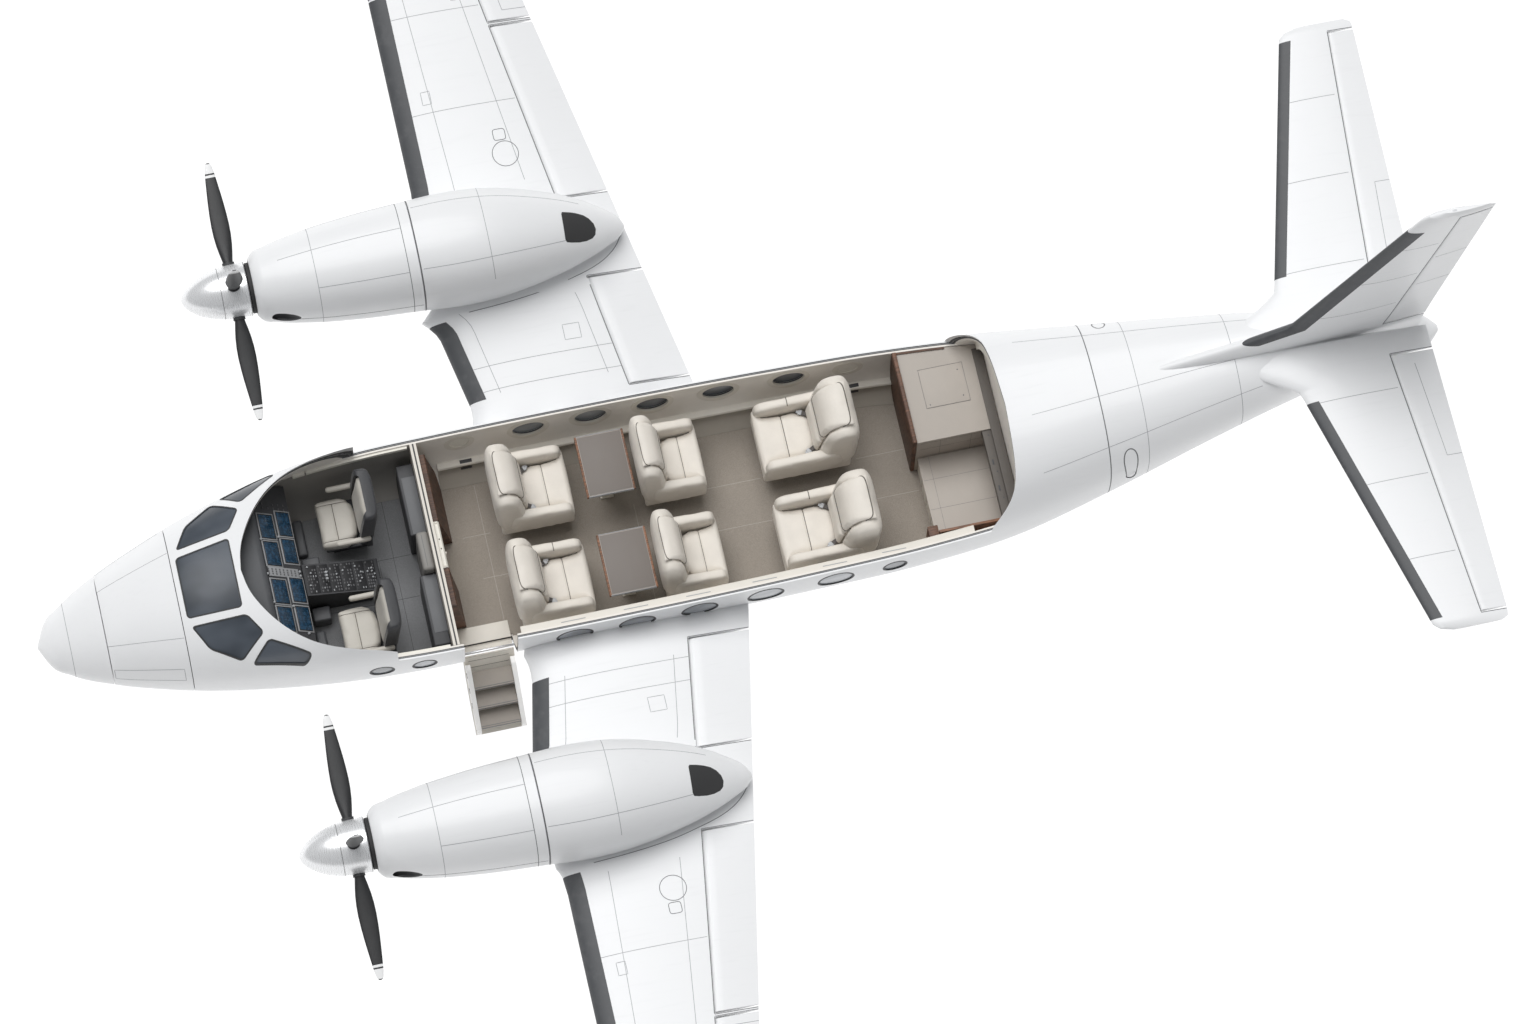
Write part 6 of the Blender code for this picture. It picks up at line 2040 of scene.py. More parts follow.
    def build_steps(self) -> list[Object]:
        """Side frames, treads with nosings, and studs on the frames."""
        pieces = [self.build_frames()]
        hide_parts("airstair_steps")
        near, far = self.front + 0.051, self.aft - 0.051
        treads, strips = [], bmesh.new()
        for part in (0.22, 0.50, 0.78):
            x, z = self.along(part)
            treads.append(((near, far), (x - 0.06, x + 0.11), (z + 0.045, z + 0.073)))
            for left, right, low, high in ((0.092, 0.097, 0.0728, 0.0748), (0.1085, 0.1105, 0.047, 0.070)):
                add_box(
                    strips, (x + left, at_station(near + 0.002), z + low),
                    (x + right, at_station(far - 0.002), z + high),
                    0.0005,
                )
        marks = bmesh.new()
        for station in (self.front + 0.029, self.aft - 0.029):
            for part in (0.12, 0.34, 0.55, 0.93):
                x, z = self.along(part, 0.02, 0.092 if part < 0.9 else 0.068)
                add_rod(
                    marks, (x, at_station(station - 0.0225), z), (x, at_station(station + 0.0225), z), 0.007,
                    16, 0.001
                )
        for part in (0.12, 0.34, 0.56):
            x, z = self.along(part, 0, 0.05)
            for station in (self.front + 0.0065, self.aft - 0.0065):
                add_box(
                    marks, (x, at_station(station - 0.001), z),
                    (x + 0.05, at_station(station + 0.001), z + 0.018), 0.0005
                )
        return [
            *pieces,
            new_piece("airstair_treads", slabs(treads, 0.006), TREAD, self.body),
            new_piece("airstair_tread_edges", strips, SEAM, self.body),
            new_piece("airstair_marks", marks, CHARCOAL, self.body),
        ]

    def build(self) -> list[Object]:
        """Every piece of the stair."""
        return self.build_door() + self.build_steps()


# Padding


@dataclass(frozen=True)
class Padding:
    """How a pad is filled: the size of its mesh, the pressure, and how far a point may move."""

    voxel: float = 0.012
    pressure: float = 4.0
    cap: float = 0.014
    frames: int = 20

    def fill(self, bm: BMesh) -> BMesh:
        """Args:
            bm: the pad's shape, which is used up.

        Returns:
            The filled pad.
        """
        pad = helper("pad", bm)
        remesh = pad.modifiers.new("remesh", "REMESH")
        remesh.mode = "VOXEL"
        remesh.voxel_size = self.voxel
        pad.data = self.evaluated(pad)
        pad.modifiers.clear()
        before = np.zeros(len(pad.data.vertices) * 3)
        pad.data.vertices.foreach_get("co", before)
        cloth = pad.modifiers.new("cloth", "CLOTH")
        cloth.settings.quality = 4
        cloth.settings.use_pressure = True
        cloth.settings.uniform_pressure_force = self.pressure
        cloth.settings.tension_stiffness = 12
        cloth.settings.compression_stiffness = 12
        cloth.settings.shear_stiffness = 6
        cloth.settings.bending_stiffness = 0.8
        cloth.settings.effector_weights.gravity = 0
        cloth.point_cache.frame_start = 1
        cloth.point_cache.frame_end = self.frames
        for frame in range(1, self.frames + 1):
            bpy.context.scene.frame_set(frame)
        swollen = self.evaluated(pad)
        pad.modifiers.clear()
        after = np.zeros(len(swollen.vertices) * 3)
        swollen.vertices.foreach_get("co", after)
        bpy.data.meshes.remove(swollen)
        move = (after - before).reshape(-1, 3)
        far = np.linalg.norm(move, axis=1, keepdims=True)
        move *= np.minimum(1.0, self.cap / np.maximum(far, 1e-9))
        pad.data.vertices.foreach_set("co", before + move.ravel())
        bpy.context.scene.frame_set(1)
        result = bmesh.new()
        result.from_mesh(pad.data)
        discard((pad,))
        for _ in range(2):
            bmesh.ops.smooth_vert(
                result, verts=result.verts, factor=0.5, use_axis_x=True, use_axis_y=True, use_axis_z=True
            )
        bmesh.ops.recalc_face_normals(result, faces=result.faces)
        return result

    def evaluated(self, obj: Object) -> bpy.types.Mesh:
        """The object's mesh after its modifiers."""
        bpy.context.view_layer.update()
        graph = bpy.context.evaluated_depsgraph_get()
        return bpy.data.meshes.new_from_object(obj.evaluated_get(graph))


def groove(bm: BMesh, near: Callable[[Vector], float], depth: float = 0.006, width: float = 0.016) -> None:
    """Draws in a padded surface along a seam.

    Args:
        bm: the pad.
        near: gives a point's distance from the seam.
        depth: how far the seam is drawn in.
        width: how far to each side it reaches.
    """
    bm.normal_update()
    moves = []
    for vertex in bm.verts:
        away = near(vertex.co)
        if away < width:
            moves.append((vertex, vertex.normal * depth * (0.5 + 0.5 * math.cos(math.pi * away / width))))
    for vertex, move in moves:
        vertex.co -= move


def cast(tree: BVHTree, points: Iterable[Point], direction: Point, lift: float = 0.0) -> list[Point]:
    """Where rays through points meet a surface.

    Args:
        tree: the surface.
        points: points outside the surface, on the side that the rays come from.
        direction: the rays' direction.
        lift: how far above the surface the results lie.

    Returns:
        The points of the surface, without those whose rays miss it.
    """
    found = []
    for point in points:
        place, normal, _, _ = tree.ray_cast(Vector(point), Vector(direction).normalized())
        if place is not None:
            found.append(tuple(place + normal * lift))
    return found


# Cabin seats


@dataclass(frozen=True)
class SeatPlace:
    """Where a club seat stands, which way it faces and what it carries."""

    node: str
    x: float
    front: float
    aft: float
    faces_aft: bool
    belts: bool
    arm_seam: bool
    back_scale: float = 1.0

    def place(self, point: Vector) -> Vector:
        """A point of the standard seat (across, depth from the back, height) moved to this seat."""
        across, depth, height = point
        length = self.aft - self.front
        fold = 0.26
        if depth < fold:
            deep = depth * self.back_scale
        else:
            deep = fold * self.back_scale + (depth - fold) * (length - fold * self.back_scale) / (
                ClubSeat.length - fold
            )
        y = self.front + deep if self.faces_aft else self.aft - deep
        return Vector((self.x + across, at_station(y), height))


@dataclass
class ClubSeat:
    """A club seat in cream leather: base, two arms, cushion, back bolster, head pad and lower back pad."""

    places: tuple[SeatPlace, ...] = (
        SeatPlace("seat_row1_starboard", -0.45, 4.19, 4.93, True, True, False, 1.12),
        SeatPlace("seat_row1_port", 0.45, 4.19, 4.93, True, True, True, 1.12),
        SeatPlace("seat_row2_starboard", -0.45, 5.50, 6.13, True, False, False, 0.98),
        SeatPlace("seat_row2_port", 0.45, 5.50, 6.13, True, False, False, 0.98),
        SeatPlace("seat_row3_starboard", -0.45, 6.60, 7.50, False, True, True, 1.42),
        SeatPlace("seat_row3_port", 0.45, 6.60, 7.50, False, True, True, 1.42),
    )
    half_width: float = 0.33
    arm_width: float = 0.105
    cushion_top: float = 1.40
    arm_top: float = 1.56
    back_top: float = 1.955
    length = 0.74

    def section_body(
        self, profile: Outline, half: Callable[[float], float], draw: float = 0.03, count: int = 22
    ) -> BMesh:
        """A pad with a side profile, its edges drawn in towards both sides.

        Args:
            profile: closed (depth, height) outline.
            half: half width of the pad at a part of the outline's height, from 0 to 1.
            draw: how far the outline shrinks at the sides.
            count: cells across.

        Returns:
            The closed mesh.
        """
        middle = Vector(
            (sum(p[0] for p in profile) / len(profile), sum(p[1] for p in profile) / len(profile))
        )
        low, high = min(p[1] for p in profile), max(p[1] for p in profile)
        rings = []
        for k in range(count + 1):
            across = math.sin(math.pi * (k / count - 0.5))
            edge = draw * (1 - math.sqrt(max(0.0, 1 - across**6)))
            ring = []
            for depth, height in profile:
                away = Vector((depth, height)) - middle
                shrink = max(0.2, 1 - edge / max(away.length, 1e-6))
                spot = middle + away * shrink
                ring.append((across * half((height - low) / (high - low)), spot.x, spot.y))
            rings.append(ring)
        return lofted(rings)

    def cushion(self) -> BMesh:
        """The crowned cushion, its front corners carried round the arms, with a cross seam."""
        front, back = self.length - 0.008, 0.215
        inner = self.half_width - self.arm_width - 0.004
        half = [
            (inner, back), (inner, front - 0.085), (self.half_width - 0.012, front - 0.03),
            (self.half_width - 0.03, front),
        ]
        outline = [(-x, y) for x, y in half] + half[::-1]
        bm = prism(softened(outline, 2, True), self.cushion_top - 0.135, self.cushion_top - 0.012)
        bevel(bm, [edge for edge in bm.edges if is_level(edge) and len(edge.link_faces) == 2], 0.028)
        pad = Padding(cap=0.013).fill(bm)
        groove(pad, lambda co: abs(co.y - 0.485) if co.z > self.cushion_top - 0.06 else 1.0, 0.007)
        return pad

    def arm(self) -> BMesh:
        """One arm on the positive side, lower in front."""
        corners = [
            (0.10, 1.16), (0.10, self.arm_top - 0.01), (0.30, self.arm_top - 0.012),
            (0.58, self.arm_top - 0.03),
            (0.685, self.arm_top - 0.05), (0.715, 1.42), (0.705, 1.16),
        ]
        half = self.arm_width / 2 - 0.011
        bm = self.section_body(softened(corners, 2, True), lambda part: half, 0.026, 10)
        bmesh.ops.translate(bm, vec=(self.half_width - self.arm_width / 2, 0, 0), verts=bm.verts)
        return Padding(cap=0.012).fill(bm)

    def back(self) -> BMesh:
        """The back's outer bolster, wide and rounded, hollowed in front for its two inner pads."""
        top = self.back_top
        corners = [
            (0.045, 1.20), (0.012, 1.55), (0.008, 1.86), (0.035, top - 0.018), (0.10, top - 0.010),
            (0.165, top - 0.045), (0.205, 1.80), (0.245, 1.50), (0.255, 1.30), (0.23, 1.20),
        ]

        def half(part: float) -> float:
            """A little narrower towards the top."""
            return self.half_width - 0.012 - 0.035 * max(0.0, part - 0.55) ** 1.5

        bm = self.section_body(softened(corners, 2, True), half, 0.05, 26)
        for vertex in bm.verts:
            inside = min(1.0, max(0.0, (0.235 - abs(vertex.co.x)) / 0.03))
            facing = min(1.0, max(0.0, (vertex.co.y - 0.11) / 0.06))
            vertex.co.y -= 0.022 * inside * facing
        return Padding(cap=0.014).fill(bm)

    def panel(self, path: Outline, half: float, thick: float) -> BMesh:
        """An inner pad that follows the back's front.

        Args:
            path: (depth, height) points from its upper to its lower edge.
            half: half its width.
            thick: its thickness.

        Returns:
            The filled pad.
        """
        points = [Vector(p) for p in softened(path, 2)]
        outer, inner = [], []
        for i, point in enumerate(points):
            along = (points[min(i + 1, len(points) - 1)] - points[max(i - 1, 0)]).normalized()
            normal = Vector((-along.y, along.x))
            end = min(i, len(points) - 1 - i)
            swell = thick * (0.45 if end == 0 else 0.8 if end == 1 else 1.0) / 2
            outer.append(point + normal * swell)
            inner.append(point - normal * swell)
        profile = [tuple(p) for p in outer + inner[::-1]]
        bm = self.section_body(profile, lambda part: half, 0.0, 18)
        for vertex in bm.verts:
            edge = max(0.0, abs(vertex.co.x) / half - 0.9) / 0.1
            centre = min(points, key=lambda p: (p - Vector((vertex.co.y, vertex.co.z))).length)
            vertex.co.y += (centre.x - vertex.co.y) * 0.5 * edge
            vertex.co.z += (centre.y - vertex.co.z) * 0.5 * edge
        return Padding(voxel=0.010, cap=0.010).fill(bm)

    def head_pad(self) -> BMesh:
        """The pad that lies over the top of the back and down its front."""
        top = self.back_top
        path = [
            (0.028, top - 0.012), (0.095, top - 0.003), (0.165, top - 0.035), (0.205, 1.83), (0.232, 1.66)
        ]
        return self.panel(path, 0.212, 0.030)

    def lower_pad(self) -> BMesh:
        """The pad below the head pad."""
        return self.panel([(0.234, 1.645), (0.252, 1.53), (0.262, 1.42)], 0.212, 0.032)

    def base(self) -> BMesh:
        """The hard skirt under the cushion."""
        bm = bmesh.new()
        add_box(
            bm, (-self.half_width + 0.03, 0.05, 1.125), (self.half_width - 0.03, self.length - 0.03, 1.27),
            0.02, 4
        )
        return bm

    def foot(self) -> BMesh:
        """The dark swivel foot on its floor rail."""
        bm = bmesh.new()
        add_box(bm, (-0.19, 0.18, 1.02), (0.19, 0.56, 1.128), 0.012)
        add_box(bm, (-0.2, 0.16, 0.982), (0.2, 0.58, 1.022), 0.006)
        return bm

    def piping(self, pads: dict[str, BMesh], arm_seam: bool) -> BMesh:
        """Dark welts along the seams of the standard seat, found by rays on its pads."""
        trees = {name: BVHTree.FromBMesh(pad) for name, pad in pads.items()}
        down = (0, 0, -1)
        inner = self.half_width - self.arm_width - 0.022
        seam = [(u, 0.485, 2.0) for u in np.linspace(-inner, inner, 40)]
        tubes = [tube_mesh(cast(trees["cushion"], seam, down, -0.0008), 0.0036)]
        corner = self.length - 0.10
        for sign in (1, -1):
            side = inner + 0.016
            edge = [(sign * side, d, 2.0) for d in np.linspace(0.27, corner, 40)]
            for t in np.linspace(0.1, 1, 10):
                edge.append((sign * (side + 0.085 * t), corner + 0.045 * math.sin(t * math.pi / 2), 2.0))
            tubes.append(tube_mesh(cast(trees["cushion"], edge, down, 0.0004), 0.0036))
        if arm_seam:
            across = np.linspace(-self.half_width + 0.012, -self.half_width + self.arm_width - 0.012, 16)
            line = cast(trees["arm"], [(-u, 0.42, 2.0) for u in across], down, 0.0002)
            tubes.append(tube_mesh([(-x, y, z) for x, y, z in line], 0.0036))
        slope = Vector((0, -0.55, -0.83)).normalized()
        up = Vector((0, 0.83, -0.55)).normalized()
        centre = Vector((0, 0.145, 1.85))
        loop = oval(0, 0, 0.207, 0.143, 9, 90)
        start = [tuple(centre - slope * 0.6 + Vector((u, 0, 0)) + up * w) for u, w in loop]
        tubes.append(tube_mesh(cast(trees["head"], start, tuple(slope), 0.0004)[:-1], 0.0038, closed=True))
        return merged(tubes)

    def belts(self) -> tuple[BMesh, BMesh]:
        """Webbing and buckles that lie where cushion and back meet."""
        webbing, buckles = bmesh.new(), bmesh.new()
        for sign in (1, -1):
            turn = Matrix.Rotation(sign * math.radians(-28), 4, "Z")
            spot = Matrix.Translation((sign * 0.165, 0.285, self.cushion_top + 0.010)) @ turn
            for target, low, high, radius in (
                (webbing, (-0.019, -0.035, -0.004), (0.019, 0.040, 0.002), 0.001),
                (webbing, (-0.015, 0.030, 0.002), (0.021, 0.066, 0.006), 0.001),
                (buckles, (-0.023, 0.030, 0.001), (0.023, 0.062, 0.012), 0.003),
                (buckles, (-0.012, 0.058, 0.001), (0.012, 0.078, 0.008), 0.002),
            ):
                part = bmesh.new()
                add_box(part, low, high, radius)
                transform(part, spot)
                mesh = bpy.data.meshes.new("belt")
                part.to_mesh(mesh)
                part.free()
                target.from_mesh(mesh)
                bpy.data.meshes.remove(mesh)
        return webbing, buckles

    def moved(self, bm: BMesh, place: SeatPlace, mirror: bool = False) -> BMesh:
        """A copy of a standard part at a seat's place."""
        copy = bm.copy()
        for vertex in copy.verts:
            if mirror:
                vertex.co.x = -vertex.co.x
            vertex.co = place.place(vertex.co)
        if mirror == place.faces_aft:
            bmesh.ops.reverse_faces(copy, faces=copy.faces)
        return copy

    def build(self) -> list[Object]:
        """The six seats, from one filled set of pads."""
        pads = {
            "cushion": self.cushion(), "arm": self.arm(), "back": self.back(), "head": self.head_pad(),
            "lower": self.lower_pad(),
        }
        plain, seamed = self.piping(pads, False), self.piping(pads, True)
        webbing, buckles = self.belts()
        base, foot = self.base(), self.foot()
        pieces = []
        for place in self.places:
            name = place.node
            for part, fill in (("cushion", 0.7), ("back", 0.75), ("head", 0.65), ("lower", 0.65)):
                piece = new_piece(f"{name}_{part}", self.moved(pads[part], place), CREAM, smooth=60)
                pieces.append(piece)
            arms = merged([self.moved(pads["arm"], place), self.moved(pads["arm"], place, True)])
            piece = new_piece(f"{name}_arms", arms, CREAM, smooth=60)
            pieces.append(piece)
            skirt = new_piece(f"{name}_skirt", self.moved(base, place), CREAM, smooth=40)
            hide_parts(name)
            pieces += [skirt, new_piece(f"{name}_foot", self.moved(foot, place), CHARCOAL)]
            pieces.append(
                new_piece(f"{name}_piping", self.moved(seamed if place.arm_seam else plain, place), PIPING)
            )
            if place.belts:
                pieces.append(new_piece(f"{name}_belts", self.moved(webbing, place), STRAP))
                pieces.append(new_piece(f"{name}_buckles", self.moved(buckles, place), KNOB))
        for bm in (*pads.values(), plain, seamed, webbing, buckles, base, foot):
            bm.free()
        return pieces


# Cabin fittings


def fitted(bm: BMesh, inset: float = 0.0515) -> BMesh:
    """The part of a body that lies inside the cabin's lining."""
    return carved(bm, keep=(FUSELAGE.solid(spaced(1.4, 8.749, 0.12), inset),))


@dataclass
class Partition:
    """The bulkhead between cockpit and cabin, its cabinets, its walnut sides and the door between them."""

    front: float = 3.57
    aft: float = 3.63
    top: float = 1.72

    def build_frame(self) -> list[Object]:
        """White edges on a grey core, as the cut shows them."""
        core = fitted(
            slab((self.front + 0.022, self.aft - 0.024), (-1.1, 1.1), (0.94, self.top - 0.012)), 0.0512
        )
        plates = merged(
            fitted(slab((start, start + 0.022), (-1.1, 1.1), (0.94, self.top + 0.001)), 0.0512)
            for start in (self.front + 0.0005, self.aft - 0.0235)
        )
        return [
            new_piece("partition_core", core, CHARCOAL), new_piece("partition_plates", plates, CREAM_PANEL)
        ]

    def build_cabinets(self) -> list[Object]:
        """Charcoal cabinets towards the cockpit, with a paler one in the middle."""
        dark = merged(
            fitted(slab((3.42, 3.5695), across, (0.985, 1.50), 0.014), 0.058)
            for across in ((-0.86, -0.19), (0.19, 0.86))
        )
        tops = slabs(
            (((3.446, 3.566), across, (1.4995, 1.5035)) for across in ((-0.74, -0.2), (0.2, 0.74))), 0.0015
        )
        middle = slab((3.46, 3.5695), (-0.184, 0.184), (0.985, 1.60), 0.03)
        lines = [((3.4585, 3.46), (x - 0.0015, x + 0.0015), (1.02, 1.56)) for x in (-0.09, 0.0, 0.09)]
        lines.append(((3.505, 3.509), (-0.15, 0.15), (1.5995, 1.6012)))
        return [
            new_piece("cockpit_cabinets", dark, CHARCOAL, smooth=30),
            new_piece("cockpit_cabinet_tops", tops, COCKPIT_TOP),
            new_piece("cockpit_middle_cabinet", middle, CABINET_GREY),
            new_piece("cockpit_cabinet_lines", slabs(lines), SEAM),
        ]

    def build_walnut(self) -> list[Object]:
        """Raked walnut sides towards the cabin, each with a raised top edge."""
        faces, edges = [], []
        cap = [
            (3.6305, 1.6555), (3.6305, 1.668), (3.676, 1.668), (3.684, 1.660), (3.688, 1.630),
            (3.682, 1.6295),
            (3.6795, 1.6555),
        ]
        for low, high, foot in ((-0.86, -0.225, 3.80), (0.225, 0.575, 3.76)):
            outline = [(3.6305, 0.985), (foot, 0.985), (3.68, 1.655), (3.6305, 1.655)]
            faces.append(fitted(side_view(outline, (low, high)), 0.054))
            edges.append(fitted(side_view(cap, (low - 0.002, high + 0.002)), 0.053))
        return [
            new_piece("partition_walnut", merged(faces), WALNUT_DARK, smooth=20),
            new_piece("partition_walnut_caps", merged(edges), WALNUT_DARK, smooth=30),
        ]

    def build_door(self) -> list[Object]:
        """The cream door in the middle, with its rails and latch."""
        outline = [
            (3.6305, 0.985), (3.715, 0.985), (3.680, 1.655), (3.668, 1.672), (3.645, 1.676), (3.6305, 1.672)
        ]
        rails = slabs(
            (((3.640, 3.664), (x - 0.006, x + 0.006), (1.6735, 1.6800)) for x in (-0.205, 0.205)), 0.002
        )
        add_box(rails, (0.06, at_station(3.6745), 1.55), (0.075, at_station(3.695), 1.63), 0.003)
        dots = bmesh.new()
        for x in (-0.05, 0.04):
            add_rod(dots, (x, at_station(3.652), 1.672), (x, at_station(3.652), 1.681), 0.006, 16, 0.0015)
        return [
            new_piece("partition_door", side_view(outline, (-0.219, 0.219)), DOOR_CREAM, smooth=30),
            new_piece("partition_door_rails", rails, CREAM_PANEL),
            new_piece("partition_door_latch", dots, PIPING),
        ]

    def build(self) -> list[Object]:
        """Every piece of the partition."""
        pieces = self.build_frame() + self.build_cabinets() + self.build_walnut() + self.build_door()
        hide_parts("partition")
        return pieces

@dataclass
class Cabin:
    """Ledges, tables, galley, bench, aft trim and the seams of the carpet."""

    ledge_top: float = 1.212

    def wall_point(
        self, station: float, height: float, sign: int, inset: float, inward: float = 0.0
    ) -> Point:
        """A point near the cabin wall, moved inward from it."""
        x, y, z = FUSELAGE.side(station, height, sign, inset)
        return x - sign * inward, y, z

    def build_ledges(self) -> list[Object]:
        """A pale ledge along each wall over a darker lower panel, with vents."""
        ledges, lower = [], []
        top = self.ledge_top
        for sign, start, end in ((-1, 3.80, 7.945), (1, 4.18, 7.995)):
            rail, panel = [], []
            for station in spaced(start, end, 0.1):
                shape = (
                    (top - 0.027, 0), (top, 0), (top, 0.050), (top - 0.005, 0.056), (top - 0.022, 0.056),
                    (top - 0.027, 0.052)
                )
                rail.append([self.wall_point(station, z, sign, 0.0505, inward) for z, inward in shape])
                heights = [0.983, 1.04, 1.1, 1.15, 1.184]
                panel.append(
                    [self.wall_point(station, z, sign, 0.0502) for z in heights]
                    + [self.wall_point(station, z, sign, 0.0502, 0.012) for z in reversed(heights)]
                )
            ledges.append(lofted(rail))
            lower.append(lofted(panel))
        vents = bmesh.new()
        for sign, station in ((-1, 4.06), (-1, 7.60), (1, 7.55)):
            x, y, _ = self.wall_point(station, 1.21, sign, 0.0505)
            low, high = sorted((x - sign * 0.046, x - sign * 0.012))
            add_box(vents, (low, y - 0.055, top - 0.0005), (high, y + 0.055, top + 0.0025), 0.001)
            x, y, _ = self.wall_point(station, 1.12, sign, 0.0635)
            low, high = sorted((x, x - sign * 0.004))
            add_box(vents, (low, y - 0.05, 1.09), (high, y + 0.05, 1.15), 0.001)
        return [
            new_piece("cabin_ledges", merged(ledges), LEDGE, smooth=30),
            new_piece("cabin_lower_panels", merged(lower), LOWER_PANEL, smooth=30),
            new_piece("ledge_vents", vents, CHARCOAL),
        ]

    def build_port_strip(self) -> list[Object]:
        """The cream strip at the top of the port wall, with a slot at each window."""
        section = ((0, 1.668), (0, 1.704), (0.058, 1.704), (0.066, 1.698), (0.066, 1.674), (0.060, 1.668))
        strip = []
        for station in spaced(4.18, 8.30, 0.1):
            x, y, _ = self.wall_point(station, 1.69, 1, 0.0502)
            strip.append([(x - inward, y, z) for inward, z in section])
        slots = bmesh.new()
        for station in (4.65, 5.215, 5.78, 6.38, 7.02, 7.56):
            x, y, _ = self.wall_point(station, 1.69, 1, 0.0502)
            add_box(slots, (x - 0.030, y - 0.11, 1.7035), (x - 0.022, y + 0.11, 1.7052), 0.0005)
        return [
            new_piece("port_top_strip", lofted(strip), LEDGE, smooth=30),
            new_piece("port_strip_slots", slots, GREY_TRIM),
        ]

    def build_tables(self) -> list[Object]:
        """Two taupe tables with walnut edges fore and aft, thin pale rims, and a leg each."""
        pieces = []
        for side in Side:
            low, high = sorted((side.value * 0.18, side.value * 0.76))
            middle = (low + high) / 2
            top = slab((5.034, 5.446), (low + 0.004, high - 0.004), (1.562, 1.600), 0.004)
            leaf = slab((5.045, 5.435), (low + 0.014, high - 0.014), (1.5995, 1.6022), 0.001)
            ends = ((5.020, 5.040), (5.440, 5.460))
            edges = slabs(((stations, (low, high), (1.558, 1.6025)) for stations in ends), 0.005)
            rims = slabs(
                (((5.034, 5.446), (x, x + 0.004), (1.561, 1.6015)) for x in (low, high - 0.004)), 0.001
            )
            leg = slab((5.19, 5.29), (middle - 0.11, middle + 0.11), (1.0, 1.562), 0.012)
            foot = slab((5.18, 5.30), (middle - 0.12, middle + 0.12), (0.982, 1.004), 0.006)
            label = side.label
            body = new_piece(f"table_top_{label}", top, TAUPE)
            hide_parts(f"table_{label}")
            pieces += [
                body,
                new_piece(f"table_leaf_{label}", leaf, TABLE_TOP),
                new_piece(f"table_edges_{label}", edges, WALNUT_EDGE),
                new_piece(f"table_rims_{label}", rims, KNOB),
                new_piece(f"table_leg_{label}", merged((leg, foot)), CREAM_PANEL),
            ]
        return pieces

    def build_galley(self) -> list[Object]:
        """The galley: walnut front and rim, laminate top with a lid, and a drawer side."""
        body = fitted(slab((7.985, 8.7485), (-1.0, -0.031), (0.982, 1.706), 0.003), 0.054)
        front = fitted(slab((7.952, 7.9845), (-1.0, -0.030), (0.982, 1.738), 0.004), 0.053)
        face = fitted(slab((7.9475, 7.9520), (-1.0, -0.034), (1.0, 1.725), 0.001), 0.057)
        hole = fitted(slab((7.9, 8.9), (-1.0, 0.1), (1.6, 1.8)), 0.070)
        rim = carved(fitted(slab((7.985, 8.42), (-1.0, -0.03), (1.700, 1.7175)), 0.0515), (hole,))
        lid = slab((8.145, 8.54), (-0.70, -0.335), (1.7055, 1.7085), 0.001)
        lines = slabs((stations, across, (1.7055, 1.7092)) for stations, across in (
            ((8.141, 8.143), (-0.704, -0.331)), ((8.542, 8.544), (-0.704, -0.331)),
            ((8.141, 8.544), (-0.704, -0.7022)), ((8.141, 8.544), (-0.333, -0.331)),
        ))
        for x, station in ((-0.64, 8.49), (-0.39, 8.49), (-0.36, 8.18)):
            add_rod(lines, (x, at_station(station), 1.708), (x, at_station(station), 1.7105), 0.006, 16)
        side = (-0.0312, -0.0302)
        drawers = [((8.02, 8.70), side, (height, height + 0.0025)) for height in (1.15, 1.33, 1.51, 1.66)]
        drawers += [((station, station + 0.0025), side, (1.0, 1.68)) for station in (8.2, 8.48)]
        pieces = [
            new_piece("galley_body", body, TAUPE_PALE, smooth=20),
            new_piece("galley_front", front, WALNUT, smooth=20),
            new_piece("galley_front_face", face, WALNUT_DARK, smooth=20),
            new_piece("galley_rim", rim, WALNUT_DARK),
            new_piece("galley_lid", lid, TAUPE_PALE),
            new_piece("galley_lid_lines", lines, SEAM),
            new_piece("galley_drawer_lines", slabs(drawers), PIPING),
        ]
        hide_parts("galley_cabinet")
        return pieces

    def build_bench(self) -> list[Object]:
        """The low bench beside the galley, with its seams and its walnut end."""
        bench = fitted(slab((8.015, 8.7485), (-0.0285, 1.0), (0.982, 1.288), 0.004), 0.054)
        top = fitted(slab((8.002, 8.7475), (-0.0280, 1.0), (1.288, 1.301), 0.003), 0.056)
        lines = [((8.01, 8.70), (x, x + 0.002), (1.3005, 1.3018)) for x in (0.19, 0.47)]
        lines.append(((8.10, 8.102), (-0.02, 0.74), (1.3005, 1.3018)))
        front = [((8.0135, 8.015), (x, x + 0.0025), (1.0, 1.27)) for x in (0.14, 0.32, 0.50)]
        end = fitted(slab((7.905, 7.996), (0.73, 1.0), (0.982, 1.64), 0.004), 0.056)
        rail = fitted(slab((8.003, 8.56), (0.775, 0.80), (1.3015, 1.620), 0.003), 0.056)
        pieces = [
            new_piece("bench_body", bench, CREAM_PANEL, smooth=20),
            new_piece("bench_top", top, TAUPE_PALE, smooth=20),
            new_piece("bench_lines", slabs(lines), SEAM),
            new_piece("bench_front_lines", slabs(front), PIPING),
            new_piece("bench_walnut_end", end, WALNUT, smooth=20),
            new_piece("bench_walnut_rail", rail, WALNUT_EDGE, smooth=20),
        ]
        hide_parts("aft_bench")
        return pieces

